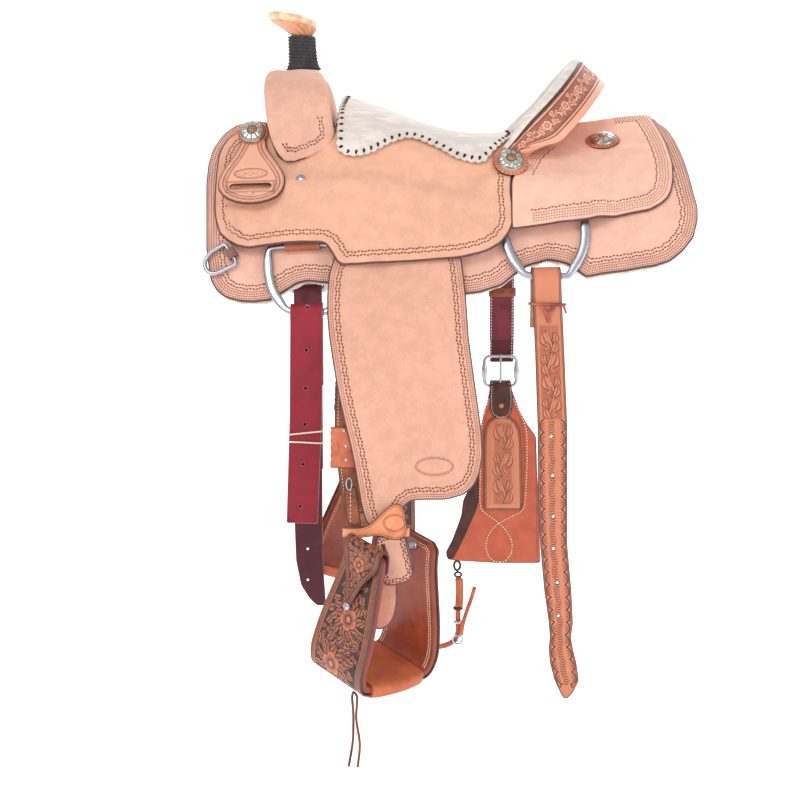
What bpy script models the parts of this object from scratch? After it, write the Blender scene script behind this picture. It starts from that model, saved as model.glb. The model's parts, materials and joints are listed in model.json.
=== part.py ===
"""Roping saddle, built as an assembly: tree, leather, rigging and stirrups.

Frame: +X runs to the rear of the saddle, -Y is the near (left) side, +Z is up.
The origin is the point of the saddle's support line under the middle of the
seat, on the centre plane. All lengths are in metres.

The leather panels lie on one curved side surface, offset layer by layer. Their
outlines were drawn as a side elevation in perspective, seen from a standpoint
2.4 m from the centre plane, and are carried from that drawing to the surface.
"""

import math

import bpy
import numpy as np
from mathutils import Vector
from mathutils.geometry import delaunay_2d_cdt

for old in list(bpy.data.objects):
    bpy.data.objects.remove(old, do_unlink=True)

# ---------------------------------------------------------------- dimensions
EYE = np.array((-0.08, -2.40, -0.06))  # standpoint of the side elevation
FOCAL = 1500.0  # drawing units per unit of tangent
CENTRE = 400.0
PITCH = math.atan(200 / 1500)

SKIRT_T = 0.0065
FLEECE_T = 0.017
JOCKEY_T = 0.005
FENDER_T = 0.005
LEATHER_T = 0.0040
STRAP_T = 0.0042
BAR_R = 0.0040  # top bar of a rigging ring
WIRE_T = 0.0036  # half thickness of its flat wire
WIRE_W = 0.0070  # half width of the wire at its sides
WIRE_LOW = 0.0050  # half width at its straight bottom
GAP = 0.0004

LATERAL = math.radians(22)  # lean of the side panels from the vertical

RAD = math.radians

# ---------------------------------------------------------------- elevation
AHEAD = np.array((0.0, math.cos(PITCH), -math.sin(PITCH)))
ABOVE = np.array((0.0, math.sin(PITCH), math.cos(PITCH)))
RIGHT = np.array((1.0, 0.0, 0.0))


def look(p):
    """Drawing coordinates of points, shape (..., 3) to (..., 2)."""
    q = np.asarray(p, float) - EYE
    w = q @ AHEAD
    return np.stack(
        (CENTRE + FOCAL * (q @ RIGHT) / w, CENTRE - FOCAL * (q @ ABOVE) / w), -1
    )


def at_y(u, v, y):
    """The point of the plane Y = y that the drawing shows at (u, v)."""
    d = AHEAD + (u - CENTRE) / FOCAL * RIGHT + (CENTRE - v) / FOCAL * ABOVE
    return EYE + d * (y - EYE[1]) / d[1]


def smoothstep(x):
    x = np.clip(x, 0.0, 1.0)
    return x * x * (3 - 2 * x)


def window(x, a, b, c, d):
    """0 before a, 1 from b to c, 0 after d, smooth between."""
    x = np.asarray(x, float)
    return smoothstep((x - a) / (b - a)) * (1 - smoothstep((x - c) / (d - c)))


# ---------------------------------------------------------------- side surface
# Stations along X: ridge height, slope at the ridge, slope of the side,
# width of the turn between them, and half-width at Z = -0.12.
STATIONS = np.array(
    [
        #  X      ztop   th0  th1   turn   half
        (-0.46, 0.100, 44, 64, 0.26, 0.168),
        (-0.36, 0.118, 44, 64, 0.26, 0.172),
        (-0.28, 0.116, 42, 64, 0.24, 0.178),
        (-0.21, 0.094, 30, 66, 0.18, 0.188),
        (-0.16, 0.077, 12, 68, 0.11, 0.194),
        (-0.10, 0.058, 5, 68, 0.10, 0.195),
        (-0.05, 0.038, 3, 68, 0.10, 0.195),
        (0.00, 0.025, 3, 68, 0.10, 0.195),
        (0.06, 0.021, 4, 68, 0.10, 0.196),
        (0.12, 0.029, 12, 67, 0.14, 0.200),
        (0.20, 0.055, 27, 65, 0.22, 0.210),
        (0.28, 0.067, 28, 63, 0.25, 0.214),
        (0.36, 0.069, 28, 63, 0.25, 0.210),
        (0.46, 0.064, 28, 63, 0.25, 0.204),
    ]
)
DX, DS = 0.01, 0.004
XS = np.arange(-0.48, 0.4801, DX)
SS = np.arange(0.0, 0.5601, DS)


def blurred(values, passes=5):
    for _ in range(passes):
        padded = np.concatenate(([values[0]], values, [values[-1]]))
        values = (padded[:-2] + 2 * padded[1:-1] + padded[2:]) / 4
    return values


def section(th0, th1, start, turn):
    th = th0 + (th1 - th0) * smoothstep((SS - start) / turn)
    th = np.radians(th * np.minimum(1, SS / 0.02))
    mid = (th[1:] + th[:-1]) / 2
    y = np.concatenate(([0], np.cumsum(np.cos(mid) * DS)))
    drop = np.concatenate(([0], np.cumsum(np.sin(mid) * DS)))
    return y, drop


def side_tables():
    cols = [blurred(np.interp(XS, STATIONS[:, 0], STATIONS[:, k])) for k in range(1, 6)]
    ys, zs = [], []
    for ztop, th0, th1, turn, half in zip(*cols):
        lo, hi = -0.05, 0.20
        for _ in range(30):
            start = (lo + hi) / 2
            y, drop = section(th0, th1, start, turn)
            if np.interp(ztop + 0.12, drop, y) < half:
                lo = start
            else:
                hi = start
        ys.append(y)
        zs.append(ztop - drop)
    return np.array(ys), np.array(zs)


YT, ZT = side_tables()


def lookup(table, x, s):
    fx = np.clip((x - XS[0]) / DX, 0, len(XS) - 1.001)
    fs = np.clip(s / DS, 0, len(SS) - 1.001)
    i, j = fx.astype(int), fs.astype(int)
    a, b = fx - i, fs - j
    return (
        table[i, j] * (1 - a) * (1 - b)
        + table[i + 1, j] * a * (1 - b)
        + table[i, j + 1] * (1 - a) * b
        + table[i + 1, j + 1] * a * b
    )


def side(x, s, off=0.0):
    """Point of the side surface at station x, s metres down from the ridge
    (negative on the near side), off metres out along its normal."""
    x, s = np.broadcast_arrays(np.asarray(x, float), np.asarray(s, float))
    sign = np.where(s < 0, -1.0, 1.0)

    def base(x, s):
        t = np.abs(s)
        return np.stack(
            (x, np.where(s < 0, -1.0, 1.0) * lookup(YT, x, t), lookup(ZT, x, t)), -1
        )

    e = 0.004
    p = base(x, s)
    inner = np.where(np.abs(s) < e, e * sign, s)
    du = base(x + e, inner) - base(x - e, inner)
    dv = (base(x, inner + e * sign) - base(x, inner - e * sign)) * sign[..., None]
    n = np.cross(du, dv)
    n /= np.linalg.norm(n, axis=-1, keepdims=True)
    off = np.broadcast_to(np.asarray(off, float), x.shape)
    return p + n * off[..., None]


# The hanging leathers lie in one plane that leans like the side panels, then
# turns towards the vertical below the skirts. l is measured down from Z = 0.
HL = np.arange(-0.06, 0.80, 0.004)
HTH = RAD(22) - (RAD(22) - RAD(7)) * smoothstep((HL - 0.225) / 0.16)
HY = np.concatenate(([0], np.cumsum(np.sin((HTH[1:] + HTH[:-1]) / 2) * 0.004)))
HZ = -np.concatenate(([0], np.cumsum(np.cos((HTH[1:] + HTH[:-1]) / 2) * 0.004)))
HY += 0.195 - np.interp(0.12, -HZ - np.interp(0.0, HL, -HZ), HY)
HZ -= np.interp(0.0, HL, HZ)


def hang(x, l, off=0.0):
    """Point of the hanging surface on the near side."""
    x, l = np.broadcast_arrays(np.asarray(x, float), np.asarray(l, float))
    y, z, th = np.interp(l, HL, HY), np.interp(l, HL, HZ), np.interp(l, HL, HTH)
    off = np.broadcast_to(np.asarray(off, float), x.shape)
    return np.stack((x, -(y + off * np.cos(th)), z + off * np.sin(th)), -1)


def find(surface, px, off=0.0, lo=(-0.46, -0.52), hi=(0.46, -0.002)):
    """Surface coordinates of drawing points."""
    px = np.asarray(px, float).reshape(-1, 2)
    ga, gb = np.meshgrid(np.linspace(lo[0], hi[0], 60), np.linspace(lo[1], hi[1], 60))
    ga, gb = ga.ravel(), gb.ravel()

    def offset(a, b):
        return off(a, b) if callable(off) else np.full(np.shape(a), float(off))

    seen = look(surface(ga, gb, offset(ga, gb)))
    near = np.argmin(((seen[None] - px[:, None]) ** 2).sum(-1), 1)
    a, b = ga[near].copy(), gb[near].copy()
    h = 1e-4
    for _ in range(25):
        f = look(surface(a, b, offset(a, b))) - px
        fa = (look(surface(a + h, b, offset(a + h, b))) - px - f) / h
        fb = (look(surface(a, b + h, offset(a, b + h))) - px - f) / h
        det = fa[:, 0] * fb[:, 1] - fa[:, 1] * fb[:, 0]
        det = np.where(np.abs(det) < 1e-3, 1e-3, det)
        da = (f[:, 0] * fb[:, 1] - f[:, 1] * fb[:, 0]) / det
        db = (fa[:, 0] * f[:, 1] - fa[:, 1] * f[:, 0]) / det
        a = a - np.clip(da, -0.02, 0.02)
        b = b - np.clip(db, -0.02, 0.02)
        b = np.clip(b, lo[1] - 0.02, hi[1])
    return np.stack((a, b), -1)


# ---------------------------------------------------------------- layers
def jockey_off(x, s):
    """Inner face of the seat jockey above the side surface."""
    x, s = np.asarray(x, float), np.abs(np.asarray(s, float))
    base = 0.0010 + 0.0058 * smoothstep((x + 0.335) / 0.06)
    over_bars = 0.0115 * window(x, -0.26, -0.21, 0.6, 0.7) * (1 - smoothstep((s - 0.15) / 0.05))
    lift = 0.0160 + 0.0048 * window(x, -0.27, -0.235, -0.12, -0.07)
    start = 0.180 - 0.030 * smoothstep((x - 0.02) / 0.03)
    over_fender = lift * smoothstep((x + 0.340) / 0.03) * smoothstep((s - start) / 0.042)
    return np.maximum(np.maximum(base, over_bars), over_fender)


def skirt_dip(x, s):
    """How far skirt and fleece sink under the tree bars."""
    x, s = np.asarray(x, float), np.abs(np.asarray(s, float))
    return 0.017 * window(x, -0.30, -0.26, 0.205, 0.24) * (1 - smoothstep((s - 0.135) / 0.04))


def rear_off(x, s):
    x = np.asarray(x, float)
    s = np.abs(np.asarray(s, float))
    over_bars = 0.0040 * (1 - smoothstep((x - 0.17) / 0.06)) * (1 - smoothstep((s - 0.15) / 0.05))
    over_ring = 0.0176 * window(x, -0.02, 0.02, 0.20, 0.24) * smoothstep((s - 0.150) / 0.045)
    return 0.0008 + over_bars + over_ring


# ---------------------------------------------------------------- mesh helpers
COLOURS = {
    "roughout": ((0.80, 0.47, 0.32), 0.85, 0.0),
    "suede": ((0.72, 0.66, 0.58), 0.9, 0.0),
    "tooled": ((0.55, 0.24, 0.12), 0.5, 0.0),
    "latigo": ((0.26, 0.03, 0.05), 0.4, 0.0),
    "dark": ((0.05, 0.04, 0.04), 0.7, 0.0),
    "metal": ((0.75, 0.75, 0.74), 0.25, 1.0),
    "wood": ((0.62, 0.45, 0.28), 0.7, 0.0),
    "fleece": ((0.60, 0.54, 0.46), 1.0, 0.0),
    "rawhide": ((0.80, 0.66, 0.45), 0.6, 0.0),
    "brown": ((0.16, 0.07, 0.04), 0.6, 0.0),
}


def add(name, verts, faces, kind, origin=(0, 0, 0), flip=False):
    verts = np.asarray(verts, float)
    origin = np.asarray(origin, float)
    mesh = bpy.data.meshes.new(name)
    mesh.from_pydata((verts - origin).tolist(), [], [list(map(int, f)) for f in faces])
    mesh.validate()
    # faces out: the signed volume must be positive
    mesh.calc_loop_triangles()
    co = verts - origin
    tri = np.array([t.vertices[:] for t in mesh.loop_triangles])
    vol = np.einsum("ij,ij->i", co[tri[:, 0]], np.cross(co[tri[:, 1]], co[tri[:, 2]])).sum()
    if vol < 0:
        mesh.flip_normals()
    obj = bpy.data.objects.new(name, mesh)
    bpy.context.scene.collection.objects.link(obj)
    obj.location = origin
    colour, rough, metal = COLOURS[kind]
    mat = bpy.data.materials.new(name + "_material")
    mat.use_nodes = True
    shader = mat.node_tree.nodes["Principled BSDF"]
    shader.inputs["Base Color"].default_value = (*colour, 1)
    shader.inputs["Roughness"].default_value = rough
    shader.inputs["Metallic"].default_value = metal
    mesh.materials.append(mat)
    mesh.shade_smooth()
    mesh.set_sharp_from_angle(angle=RAD(35))
    return obj


def spline(points, count, closed=True):
    """count points at equal steps along a centripetal curve through points."""
    p = np.asarray(points, float)
    n = len(p)
    fine = []
    spans = n if closed else n - 1
    for i in range(spans):
        if closed:
            q = [p[(i + k) % n] for k in (-1, 0, 1, 2)]
        else:
            q = [p[max(i - 1, 0)], p[i], p[i + 1], p[min(i + 2, n - 1)]]
            if i == 0:
                q[0] = 2 * p[0] - p[1]
            if i == n - 2:
                q[3] = 2 * p[-1] - p[-2]
        t = [0.0]
        for a, b in zip(q[:-1], q[1:]):
            t.append(t[-1] + max(np.linalg.norm(b - a), 1e-9) ** 0.5)
        for u in np.linspace(t[1], t[2], 12, endpoint=False):
            a1 = (t[1] - u) / (t[1] - t[0]) * q[0] + (u - t[0]) / (t[1] - t[0]) * q[1]
            a2 = (t[2] - u) / (t[2] - t[1]) * q[1] + (u - t[1]) / (t[2] - t[1]) * q[2]
            a3 = (t[3] - u) / (t[3] - t[2]) * q[2] + (u - t[2]) / (t[3] - t[2]) * q[3]
            b1 = (t[2] - u) / (t[2] - t[0]) * a1 + (u - t[0]) / (t[2] - t[0]) * a2
            b2 = (t[3] - u) / (t[3] - t[1]) * a2 + (u - t[1]) / (t[3] - t[1]) * a3
            fine.append((t[2] - u) / (t[2] - t[1]) * b1 + (u - t[1]) / (t[2] - t[1]) * b2)
    fine = np.array(fine + ([fine[0]] if closed else [p[-1]]))
    length = np.concatenate(([0], np.cumsum(np.linalg.norm(np.diff(fine, axis=0), axis=1))))
    at = np.linspace(0, length[-1], count + 1 if closed else count)
    if closed:
        at = at[:-1]
    return np.stack([np.interp(at, length, fine[:, k]) for k in range(fine.shape[1])], -1)


def inside(poly, pts):
    x, y = pts[:, 0], pts[:, 1]
    hit = np.zeros(len(pts), bool)
    q = np.roll(poly, -1, 0)
    for (x0, y0), (x1, y1) in zip(poly, q):
        cross = (y0 > y) != (y1 > y)
        with np.errstate(divide="ignore", invalid="ignore"):
            hit ^= cross & (x < (x1 - x0) * (y - y0) / (y1 - y0) + x0)
    return hit


def edge_distance(poly, pts):
    best = np.full(len(pts), 1e9)
    q = np.roll(poly, -1, 0)
    for a, b in zip(poly, q):
        d = b - a
        t = np.clip(((pts - a) @ d) / max(d @ d, 1e-12), 0, 1)
        best = np.minimum(best, np.linalg.norm(pts - a - t[:, None] * d, axis=1))
    return best


def triangulate(outline, step):
    """(points, triangles) of the outline's inside; its own points come first."""
    lo, hi = outline.min(0), outline.max(0)
    gx = np.arange(lo[0] + step / 2, hi[0], step)
    gy = np.arange(math.ceil(lo[1] / step) * step, hi[1], step)
    grid = np.array([(x + (k % 2) * step / 2, y) for k, y in enumerate(gy) for x in gx])
    if len(grid):
        keep = inside(outline, grid)
        keep &= edge_distance(outline, grid) > step * 0.45
        grid = grid[keep]
    pts = np.vstack((outline, grid)) if len(grid) else outline
    n = len(outline)
    got, _, tris, orig, _, _ = delaunay_2d_cdt(
        [Vector(p) for p in pts.tolist()], [], [list(range(n))], 1, 1e-7
    )
    where = {i: k for k, o in enumerate(orig) for i in o}
    place = np.array([tuple(g) for g in got])
    back = {k: i for i, k in where.items()}
    assert len(place) == len(pts), (len(place), len(pts))
    tris = [[back[i] for i in t] for t in tris]
    return pts, tris


def dense(outline, longest):
    """The outline with extra points on its long edges."""
    out = []
    for a, b in zip(outline, np.roll(outline, -1, 0)):
        parts = max(1, math.ceil(np.linalg.norm(b - a) / longest))
        out += [a + (b - a) * k / parts for k in range(parts)]
    return np.array(out)


def slab(name, surface, outline, o0, o1, kind, step=0.04, origin=(0, 0, 0)):
    """Panel between two offsets of a surface, cut to a closed outline given in
    the surface's own coordinates."""
    outline = dense(np.asarray(outline, float), 1.3 * step)
    pts, tris = triangulate(outline, step)
    n, m = len(outline), len(pts)

    def offs(o):
        return o(pts[:, 0], pts[:, 1]) if callable(o) else np.full(m, float(o))

    verts = np.vstack(
        (surface(pts[:, 0], pts[:, 1], offs(o0)), surface(pts[:, 0], pts[:, 1], offs(o1)))
    )
    faces = [t[::-1] for t in tris] + [[i + m for i in t] for t in tris]
    # outline direction, so that the rim faces match the sheets
    edges = {(t[k], t[(k + 1) % 3]) for t in tris for k in range(3)}
    for i in range(n):
        j = (i + 1) % n
        if (i, j) in edges:
            faces.append([i, j, j + m, i + m])
        else:
            faces.append([j, i, i + m, j + m])
    return add(name, verts, faces, kind, origin)


def mirrored(obj, name, origin=None):
    """The same piece on the off side."""
    me = obj.data.copy()
    me.name = name
    twin = bpy.data.objects.new(name, me)
    bpy.context.scene.collection.objects.link(twin)
    for v in me.vertices:
        v.co.y = -v.co.y
    me.flip_normals()
    loc = obj.location.copy()
    loc.y = -loc.y
    twin.location = loc
    mat = obj.data.materials[0].copy()
    mat.name = name + "_material"
    me.materials[0] = mat
    return twin


def loft(name, loops, kind, closed=False, origin=(0, 0, 0), poles=(None, None)):
    """Skin over equal loops of points. poles closes an end with one point."""
    loops = [np.asarray(loop, float) for loop in loops]
    n = len(loops[0])
    verts = np.vstack(loops)
    faces = []
    count = len(loops)
    for i in range(count if closed else count - 1):
        j = (i + 1) % count
        for k in range(n):
            m = (k + 1) % n
            faces.append([i * n + k, i * n + m, j * n + m, j * n + k])
    if not closed:
        base = len(verts)
        extra = []
        for end, pole in ((0, poles[0]), (count - 1, poles[1])):
            ring = [end * n + k for k in range(n)]
            if end == 0:
                ring = ring[::-1]
            if pole is None:
                faces.append(ring)
            else:
                extra.append(pole)
                p = base + len(extra) - 1
                faces += [[ring[k], ring[(k + 1) % n], p] for k in range(n)]
        if extra:
            verts = np.vstack((verts, np.array(extra, float)))
    return add(name, verts, faces, kind, origin)


def frames(path, closed, up):
    """Two unit normals at each point of a path, the first as near to up as it
    can be."""
    path = np.asarray(path, float)
    if closed:
        t = np.roll(path, -1, 0) - np.roll(path, 1, 0)
    else:
        t = np.gradient(path, axis=0)
    t /= np.linalg.norm(t, axis=1, keepdims=True)
    up = np.broadcast_to(np.asarray(up, float), path.shape)
    a = up - (up * t).sum(1, keepdims=True) * t
    a /= np.linalg.norm(a, axis=1, keepdims=True)
    return a, np.cross(t, a)


def tube(name, path, radius, kind, up, sides=8, closed=False, origin=(0, 0, 0), flat=1.0):
    a, b = frames(path, closed, up)
    ang = np.arange(sides) * 2 * math.pi / sides
    loops = [
        p + radius * (np.cos(ang)[:, None] * u * flat + np.sin(ang)[:, None] * w)
        for p, u, w in zip(np.asarray(path, float), a, b)
    ]
    return loft(name, loops, kind, closed, origin)


def turned(name, profile, centre, axis, kind, sides=20, origin=(0, 0, 0)):
    """Solid of revolution. profile is (radius, height) from one end on the axis
    to the other, or a closed loop off the axis."""
    axis = np.asarray(axis, float) / np.linalg.norm(axis)
    ref = np.array((1.0, 0, 0)) if abs(axis[0]) < 0.9 else np.array((0, 1.0, 0))
    u = np.cross(axis, ref)
    u /= np.linalg.norm(u)
    w = np.cross(axis, u)
    centre = np.asarray(centre, float)
    ang = np.arange(sides) * 2 * math.pi / sides
    on_axis = profile[0][0] == 0
    body = profile[1:-1] if on_axis else profile
    loops = [
        centre + axis * h + r * (np.cos(ang)[:, None] * u + np.sin(ang)[:, None] * w)
        for r, h in body
    ]
    if on_axis:
        ends = (centre + axis * profile[0][1], centre + axis * profile[-1][1])
        return loft(name, loops, kind, False, origin, poles=ends)
    return loft(name, loops, kind, True, origin)


def sheet(name, inner, outer, kind, origin=(0, 0, 0)):
    """Thick sheet between two grids of points, shape (rows, columns, 3)."""
    inner, outer = np.asarray(inner, float), np.asarray(outer, float)
    r, c = inner.shape[:2]
    verts = np.vstack((inner.reshape(-1, 3), outer.reshape(-1, 3)))
    m = r * c
    faces = []
    for i in range(r - 1):
        for j in range(c - 1):
            q = [i * c + j, i * c + j + 1, (i + 1) * c + j + 1, (i + 1) * c + j]
            faces.append(q[::-1])
            faces.append([k + m for k in q])
    rim = (
        [j for j in range(c)]
        + [i * c + c - 1 for i in range(1, r)]
        + [(r - 1) * c + j for j in range(c - 2, -1, -1)]
        + [i * c for i in range(r - 2, 0, -1)]
    )
    for k, i in enumerate(rim):
        j = rim[(k + 1) % len(rim)]
        faces.append([i, j, j + m, i + m])
    return add(name, verts, faces, kind, origin)


def strap(name, path, lefts, rights, thick, kind, origin=(0, 0, 0)):
    """Strap whose centre line is a path in (y, z), with its left and right edge
    (x) at each point."""
    path = np.asarray(path, float)
    t = np.gradient(path, axis=0)
    t /= np.linalg.norm(t, axis=1, keepdims=True)
    n = np.stack((-t[:, 1], t[:, 0]), -1) * thick / 2
    loops = []
    for p, d, xl, xr in zip(path, n, lefts, rights):
        loops.append(
            [
                (xl, p[0] + d[0], p[1] + d[1]),
                (xr, p[0] + d[0], p[1] + d[1]),
                (xr, p[0] - d[0], p[1] - d[1]),
                (xl, p[0] - d[0], p[1] - d[1]),
            ]
        )
    return loft(name, loops, kind, False, origin)


def arc(cy, cz, r, a0, a1, count):
    ang = np.radians(np.linspace(a0, a1, count))
    return [(cy + r * math.cos(a), cz + r * math.sin(a)) for a in ang]


def mirror_outline(near):
    """Near half in (x, s) with s < 0, from the centre line to the centre line,
    joined to its mirror image."""
    near = np.asarray(near, float)
    return np.vstack((near, (near * (1, -1))[::-1]))


# ================================================================ tree
# Fork: stations from the centre line down the near leg.
FORK = np.array(
    [
        #  yo     zo     yi     zi     front   rear
        (0.000, 0.1415, 0.000, 0.094, -0.262, -0.205),
        (0.034, 0.1395, 0.024, 0.092, -0.266, -0.203),
        (0.066, 0.134, 0.042, 0.086, -0.271, -0.198),
        (0.096, 0.126, 0.054, 0.077, -0.2765, -0.193),
        (0.122, 0.112, 0.062, 0.067, -0.2805, -0.1885),
        (0.139, 0.094, 0.067, 0.057, -0.2812, -0.1850),
        (0.1465, 0.074, 0.071, 0.050, -0.2795, -0.1825),
        (0.1470, 0.051, 0.075, 0.045, -0.2765, -0.1795),
        (0.1460, 0.032, 0.083, 0.040, -0.2725, -0.1778),
        (0.1460, 0.018, 0.097, 0.036, -0.2675, -0.1870),
        (0.1470, 0.007, 0.116, 0.029, -0.2620, -0.2050),
        (0.1480, -0.003, 0.134, 0.015, -0.2540, -0.2330),
    ]
)
LEG = 9  # stations of the tree fork itself, inside its cover


def fork_loop(row, sign, inset):
    yo, zo, yi, zi, xf, xr = row
    d = np.array((yo - yi, zo - zi))
    length = np.linalg.norm(d)
    d /= length
    xf, xr = xf + inset, xr - inset
    top = length - inset
    c = min(0.011, (xr - xf) * 0.3)
    pts = [(xf, 0.0), (xf, top - c), (xf + 0.3 * c, top - 0.3 * c), (xf + c, top)]
    pts += [(xr - c, top), (xr - 0.3 * c, top - 0.3 * c), (xr, top - c), (xr, 0.0)]
    return np.array([(x, sign * (yi + d[0] * r), zi + d[1] * r) for x, r in pts])


def fork_loops(inset, count):
    near = [fork_loop(row, -1, inset) for row in FORK[:count]]
    off = [fork_loop(row, 1, inset) for row in FORK[:count]]
    return near[::-1] + off[1:]


fork_inner = fork_loops(0.0064, LEG)
tight = fork_loops(0.0135, LEG)
for k in (0, 1, 2):
    fork_inner[k], fork_inner[-1 - k] = tight[k], tight[-1 - k]
# the legs' ends are drawn in, to stand on the bars inside the cover
for k, pull in ((0, 0.026), (1, 0.014), (2, 0.006)):
    for end in (k, len(fork_inner) - 1 - k):
        loop = fork_inner[end]
        sign = -1 if loop[0, 1] < 0 else 1
        low = np.abs(loop[:, 1]) - 0.085
        loop[:, 1] -= sign * np.clip(low, 0, None) / 0.05 * pull
loft("fork", fork_inner, "wood")

cover_out = fork_loops(0.0, len(FORK))
cover_in = fork_loops(0.0040, len(FORK))
sheet("fork_cover", [c for c in cover_in], [c for c in cover_out], "roughout")

# Horn: centre line, radius and tilt of each station.
HORN = [
    (-0.2310, 0.1430, 0.0195, 0),
    (-0.2315, 0.1480, 0.0150, 0),
    (-0.2325, 0.1700, 0.0140, 0),
    (-0.2335, 0.1935, 0.0150, 2),
    (-0.2370, 0.2000, 0.0210, 4),
    (-0.2430, 0.2075, 0.0300, 7),
    (-0.2475, 0.2130, 0.0355, 9),
    (-0.2485, 0.2185, 0.0385, 9),
    (-0.2493, 0.2240, 0.0365, 9),
    (-0.2498, 0.2272, 0.0290, 9),
    (-0.2500, 0.2285, 0.0150, 9),
]


def horn_loop(x, z, r, tilt, sides=18):
    ang = np.arange(sides) * 2 * math.pi / sides
    c, s = math.cos(RAD(tilt)), math.sin(RAD(tilt))
    return np.stack(
        (x + r * np.cos(ang) * c, r * np.sin(ang), z - r * np.cos(ang) * s), -1
    )


core = [horn_loop(-0.2310, 0.1370, 0.0120, 0), horn_loop(-0.2325, 0.1700, 0.0125, 0)]
core += [horn_loop(x, z - 0.0012 * (k > 6), max(r - 0.0045, 0.0125), t) for k, (x, z, r, t) in enumerate(HORN) if k in (3, 4, 5, 6, 7, 8)]
loft("horn_core", core, "metal", poles=(None, (-0.2496, 0, 0.2232)))

skin = [horn_loop(x, z, r, t) for x, z, r, t in HORN[3:]]
skin_in = [horn_loop(x, z - 0.0010 * (k > 3), max(r - 0.0038, 0.0129), t) for k, (x, z, r, t) in enumerate(HORN[3:-1])]
skin_in[-1] = horn_loop(-0.2496, 0.2245, 0.0255, 9)
loops = skin_in[::-1] + skin
verts = np.vstack(loops + [np.array([(-0.2498, 0, 0.2252)]), np.array([(-0.2501, 0, 0.2287)])])
n = 18
faces = []
for i in range(len(loops) - 1):
    for k in range(n):
        m = (k + 1) % n
        faces.append([i * n + k, i * n + m, (i + 1) * n + m, (i + 1) * n + k])
p_in, p_out, last = len(loops) * n, len(loops) * n + 1, (len(loops) - 1) * n
faces += [[(k + 1) % n, k, p_in] for k in range(n)]
faces += [[last + k, last + (k + 1) % n, p_out] for k in range(n)]
add("horn_cap_cover", verts, faces, "rawhide")

wrap = [(-0.2308, 0.1424, 0.0265), (-0.2312, 0.1460, 0.0245), (-0.2317, 0.155, 0.0218)]
wrap += [(-0.2325, 0.170, 0.0212), (-0.2334, 0.1925, 0.0208)]
hole = [(-0.2310, 0.1424, 0.0129), (-0.2325, 0.170, 0.0131), (-0.2334, 0.1925, 0.0135)]
loft(
    "horn_wrap",
    [horn_loop(x, z, r, 0) for x, z, r in wrap] + [horn_loop(x, z, r, 0) for x, z, r in hole[::-1]],
    "dark",
    closed=True,
)

# hole for the horn's neck in the fork cover
bpy.ops.mesh.primitive_cylinder_add(vertices=18, radius=0.0130, depth=0.02, location=(-0.2310, 0, 0.140))
cutter = bpy.context.object
cutter.name = "horn_hole_cutter"
cutter.hide_render = True
cutter.display_type = "WIRE"
cut = bpy.data.objects["fork_cover"].modifiers.new("horn_hole", "BOOLEAN")
cut.object = cutter
cut.operation = "DIFFERENCE"

# Tree bars: long planks, one each side, under seat and jockeys, from behind the
# fork's legs.
bar = spline(
    [(-0.168, -0.085), (-0.164, -0.106), (-0.13, -0.115), (-0.05, -0.116), (0.08, -0.116),
     (0.155, -0.110), (0.170, -0.088), (0.160, -0.062), (0.08, -0.056), (-0.05, -0.062),
     (-0.13, -0.066), (-0.162, -0.070)], 26)
near = slab("bar_near", side, bar, -0.0115, 0.0016, "wood", 0.034)
far = mirrored(near, "bar_off")

# ================================================================ seat leather
JOCKEY_PX = [
    (338, 112), (338, 128), (336, 139), (324, 149), (309, 160), (294, 165), (284, 165), (276, 160),
    (271.5, 148), (266.5, 134), (263, 121), (256, 121.5), (245, 125), (238, 131), (228, 138), (222, 146), (218, 156), (216, 171),
    (214.5, 189), (214, 207), (215, 219), (219, 233), (228, 241), (237, 246), (248, 248),
    (261, 246), (276, 244), (302, 242), (320, 242), (326, 244), (332, 253), (337, 262),
    (343, 265), (360, 264), (385, 262.5), (412, 261), (437, 259), (462, 257), (480, 253),
    (489, 250), (501, 243), (509, 233), (513, 224), (513, 209), (511, 191), (512, 177),
    (511, 160),
]


def jockey_top(x, s):
    return jockey_off(x, s) + JOCKEY_T


edge = find(side, JOCKEY_PX, jockey_top)
half = np.vstack(([(-0.1745, 0.0), (-0.1745, -0.045)], edge, [(0.1000, -0.126), (0.107, -0.09), (0.112, -0.05), (0.113, 0.0)]))
outline = np.vstack((half[:-1], (half * (1, -1))[::-1][:-1]))
slab("seat_jockey", side, outline, jockey_off, jockey_top, "roughout", 0.026)

INLAY_PX = [
    (338, 117), (337.5, 136), (336, 148), (345, 155), (354, 156), (363, 155), (375, 151),
    (389, 143), (407, 137), (417, 138), (431, 144), (442, 149), (453, 156), (464, 160),
    (476, 162.5), (485, 161.5),
]


def inlay_in(x, s):
    return jockey_top(x, s) + 0.0037


def inlay_out(x, s):
    return jockey_top(x, s) + 0.0057


edge = find(side, INLAY_PX, inlay_out)
half = np.vstack(([(-0.172, 0.0), (-0.172, -0.035)], edge, [(0.070, -0.129), (0.084, -0.105), (0.0905, -0.078), (0.0945, -0.042), (0.0955, 0.0)]))
outline = np.vstack((half[:-1], (half * (1, -1))[::-1][:-1]))
slab("seat_inlay", side, outline, inlay_in, inlay_out, "suede", 0.026)

# ================================================================ cantle
def rear_top(x, s):
    return rear_off(x, s) + 0.0045


def deck(x, s):
    """Top of whatever lies under the cantle: seat leather, then rear jockey."""
    x = np.asarray(x, float)
    seat_edge = np.interp(np.abs(s), (0.0, 0.05, 0.09, 0.126, 0.15), (0.114, 0.113, 0.108, 0.101, 0.098))
    return np.where(x < seat_edge, jockey_top(x, s), rear_top(x, s)) + 0.0011


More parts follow.
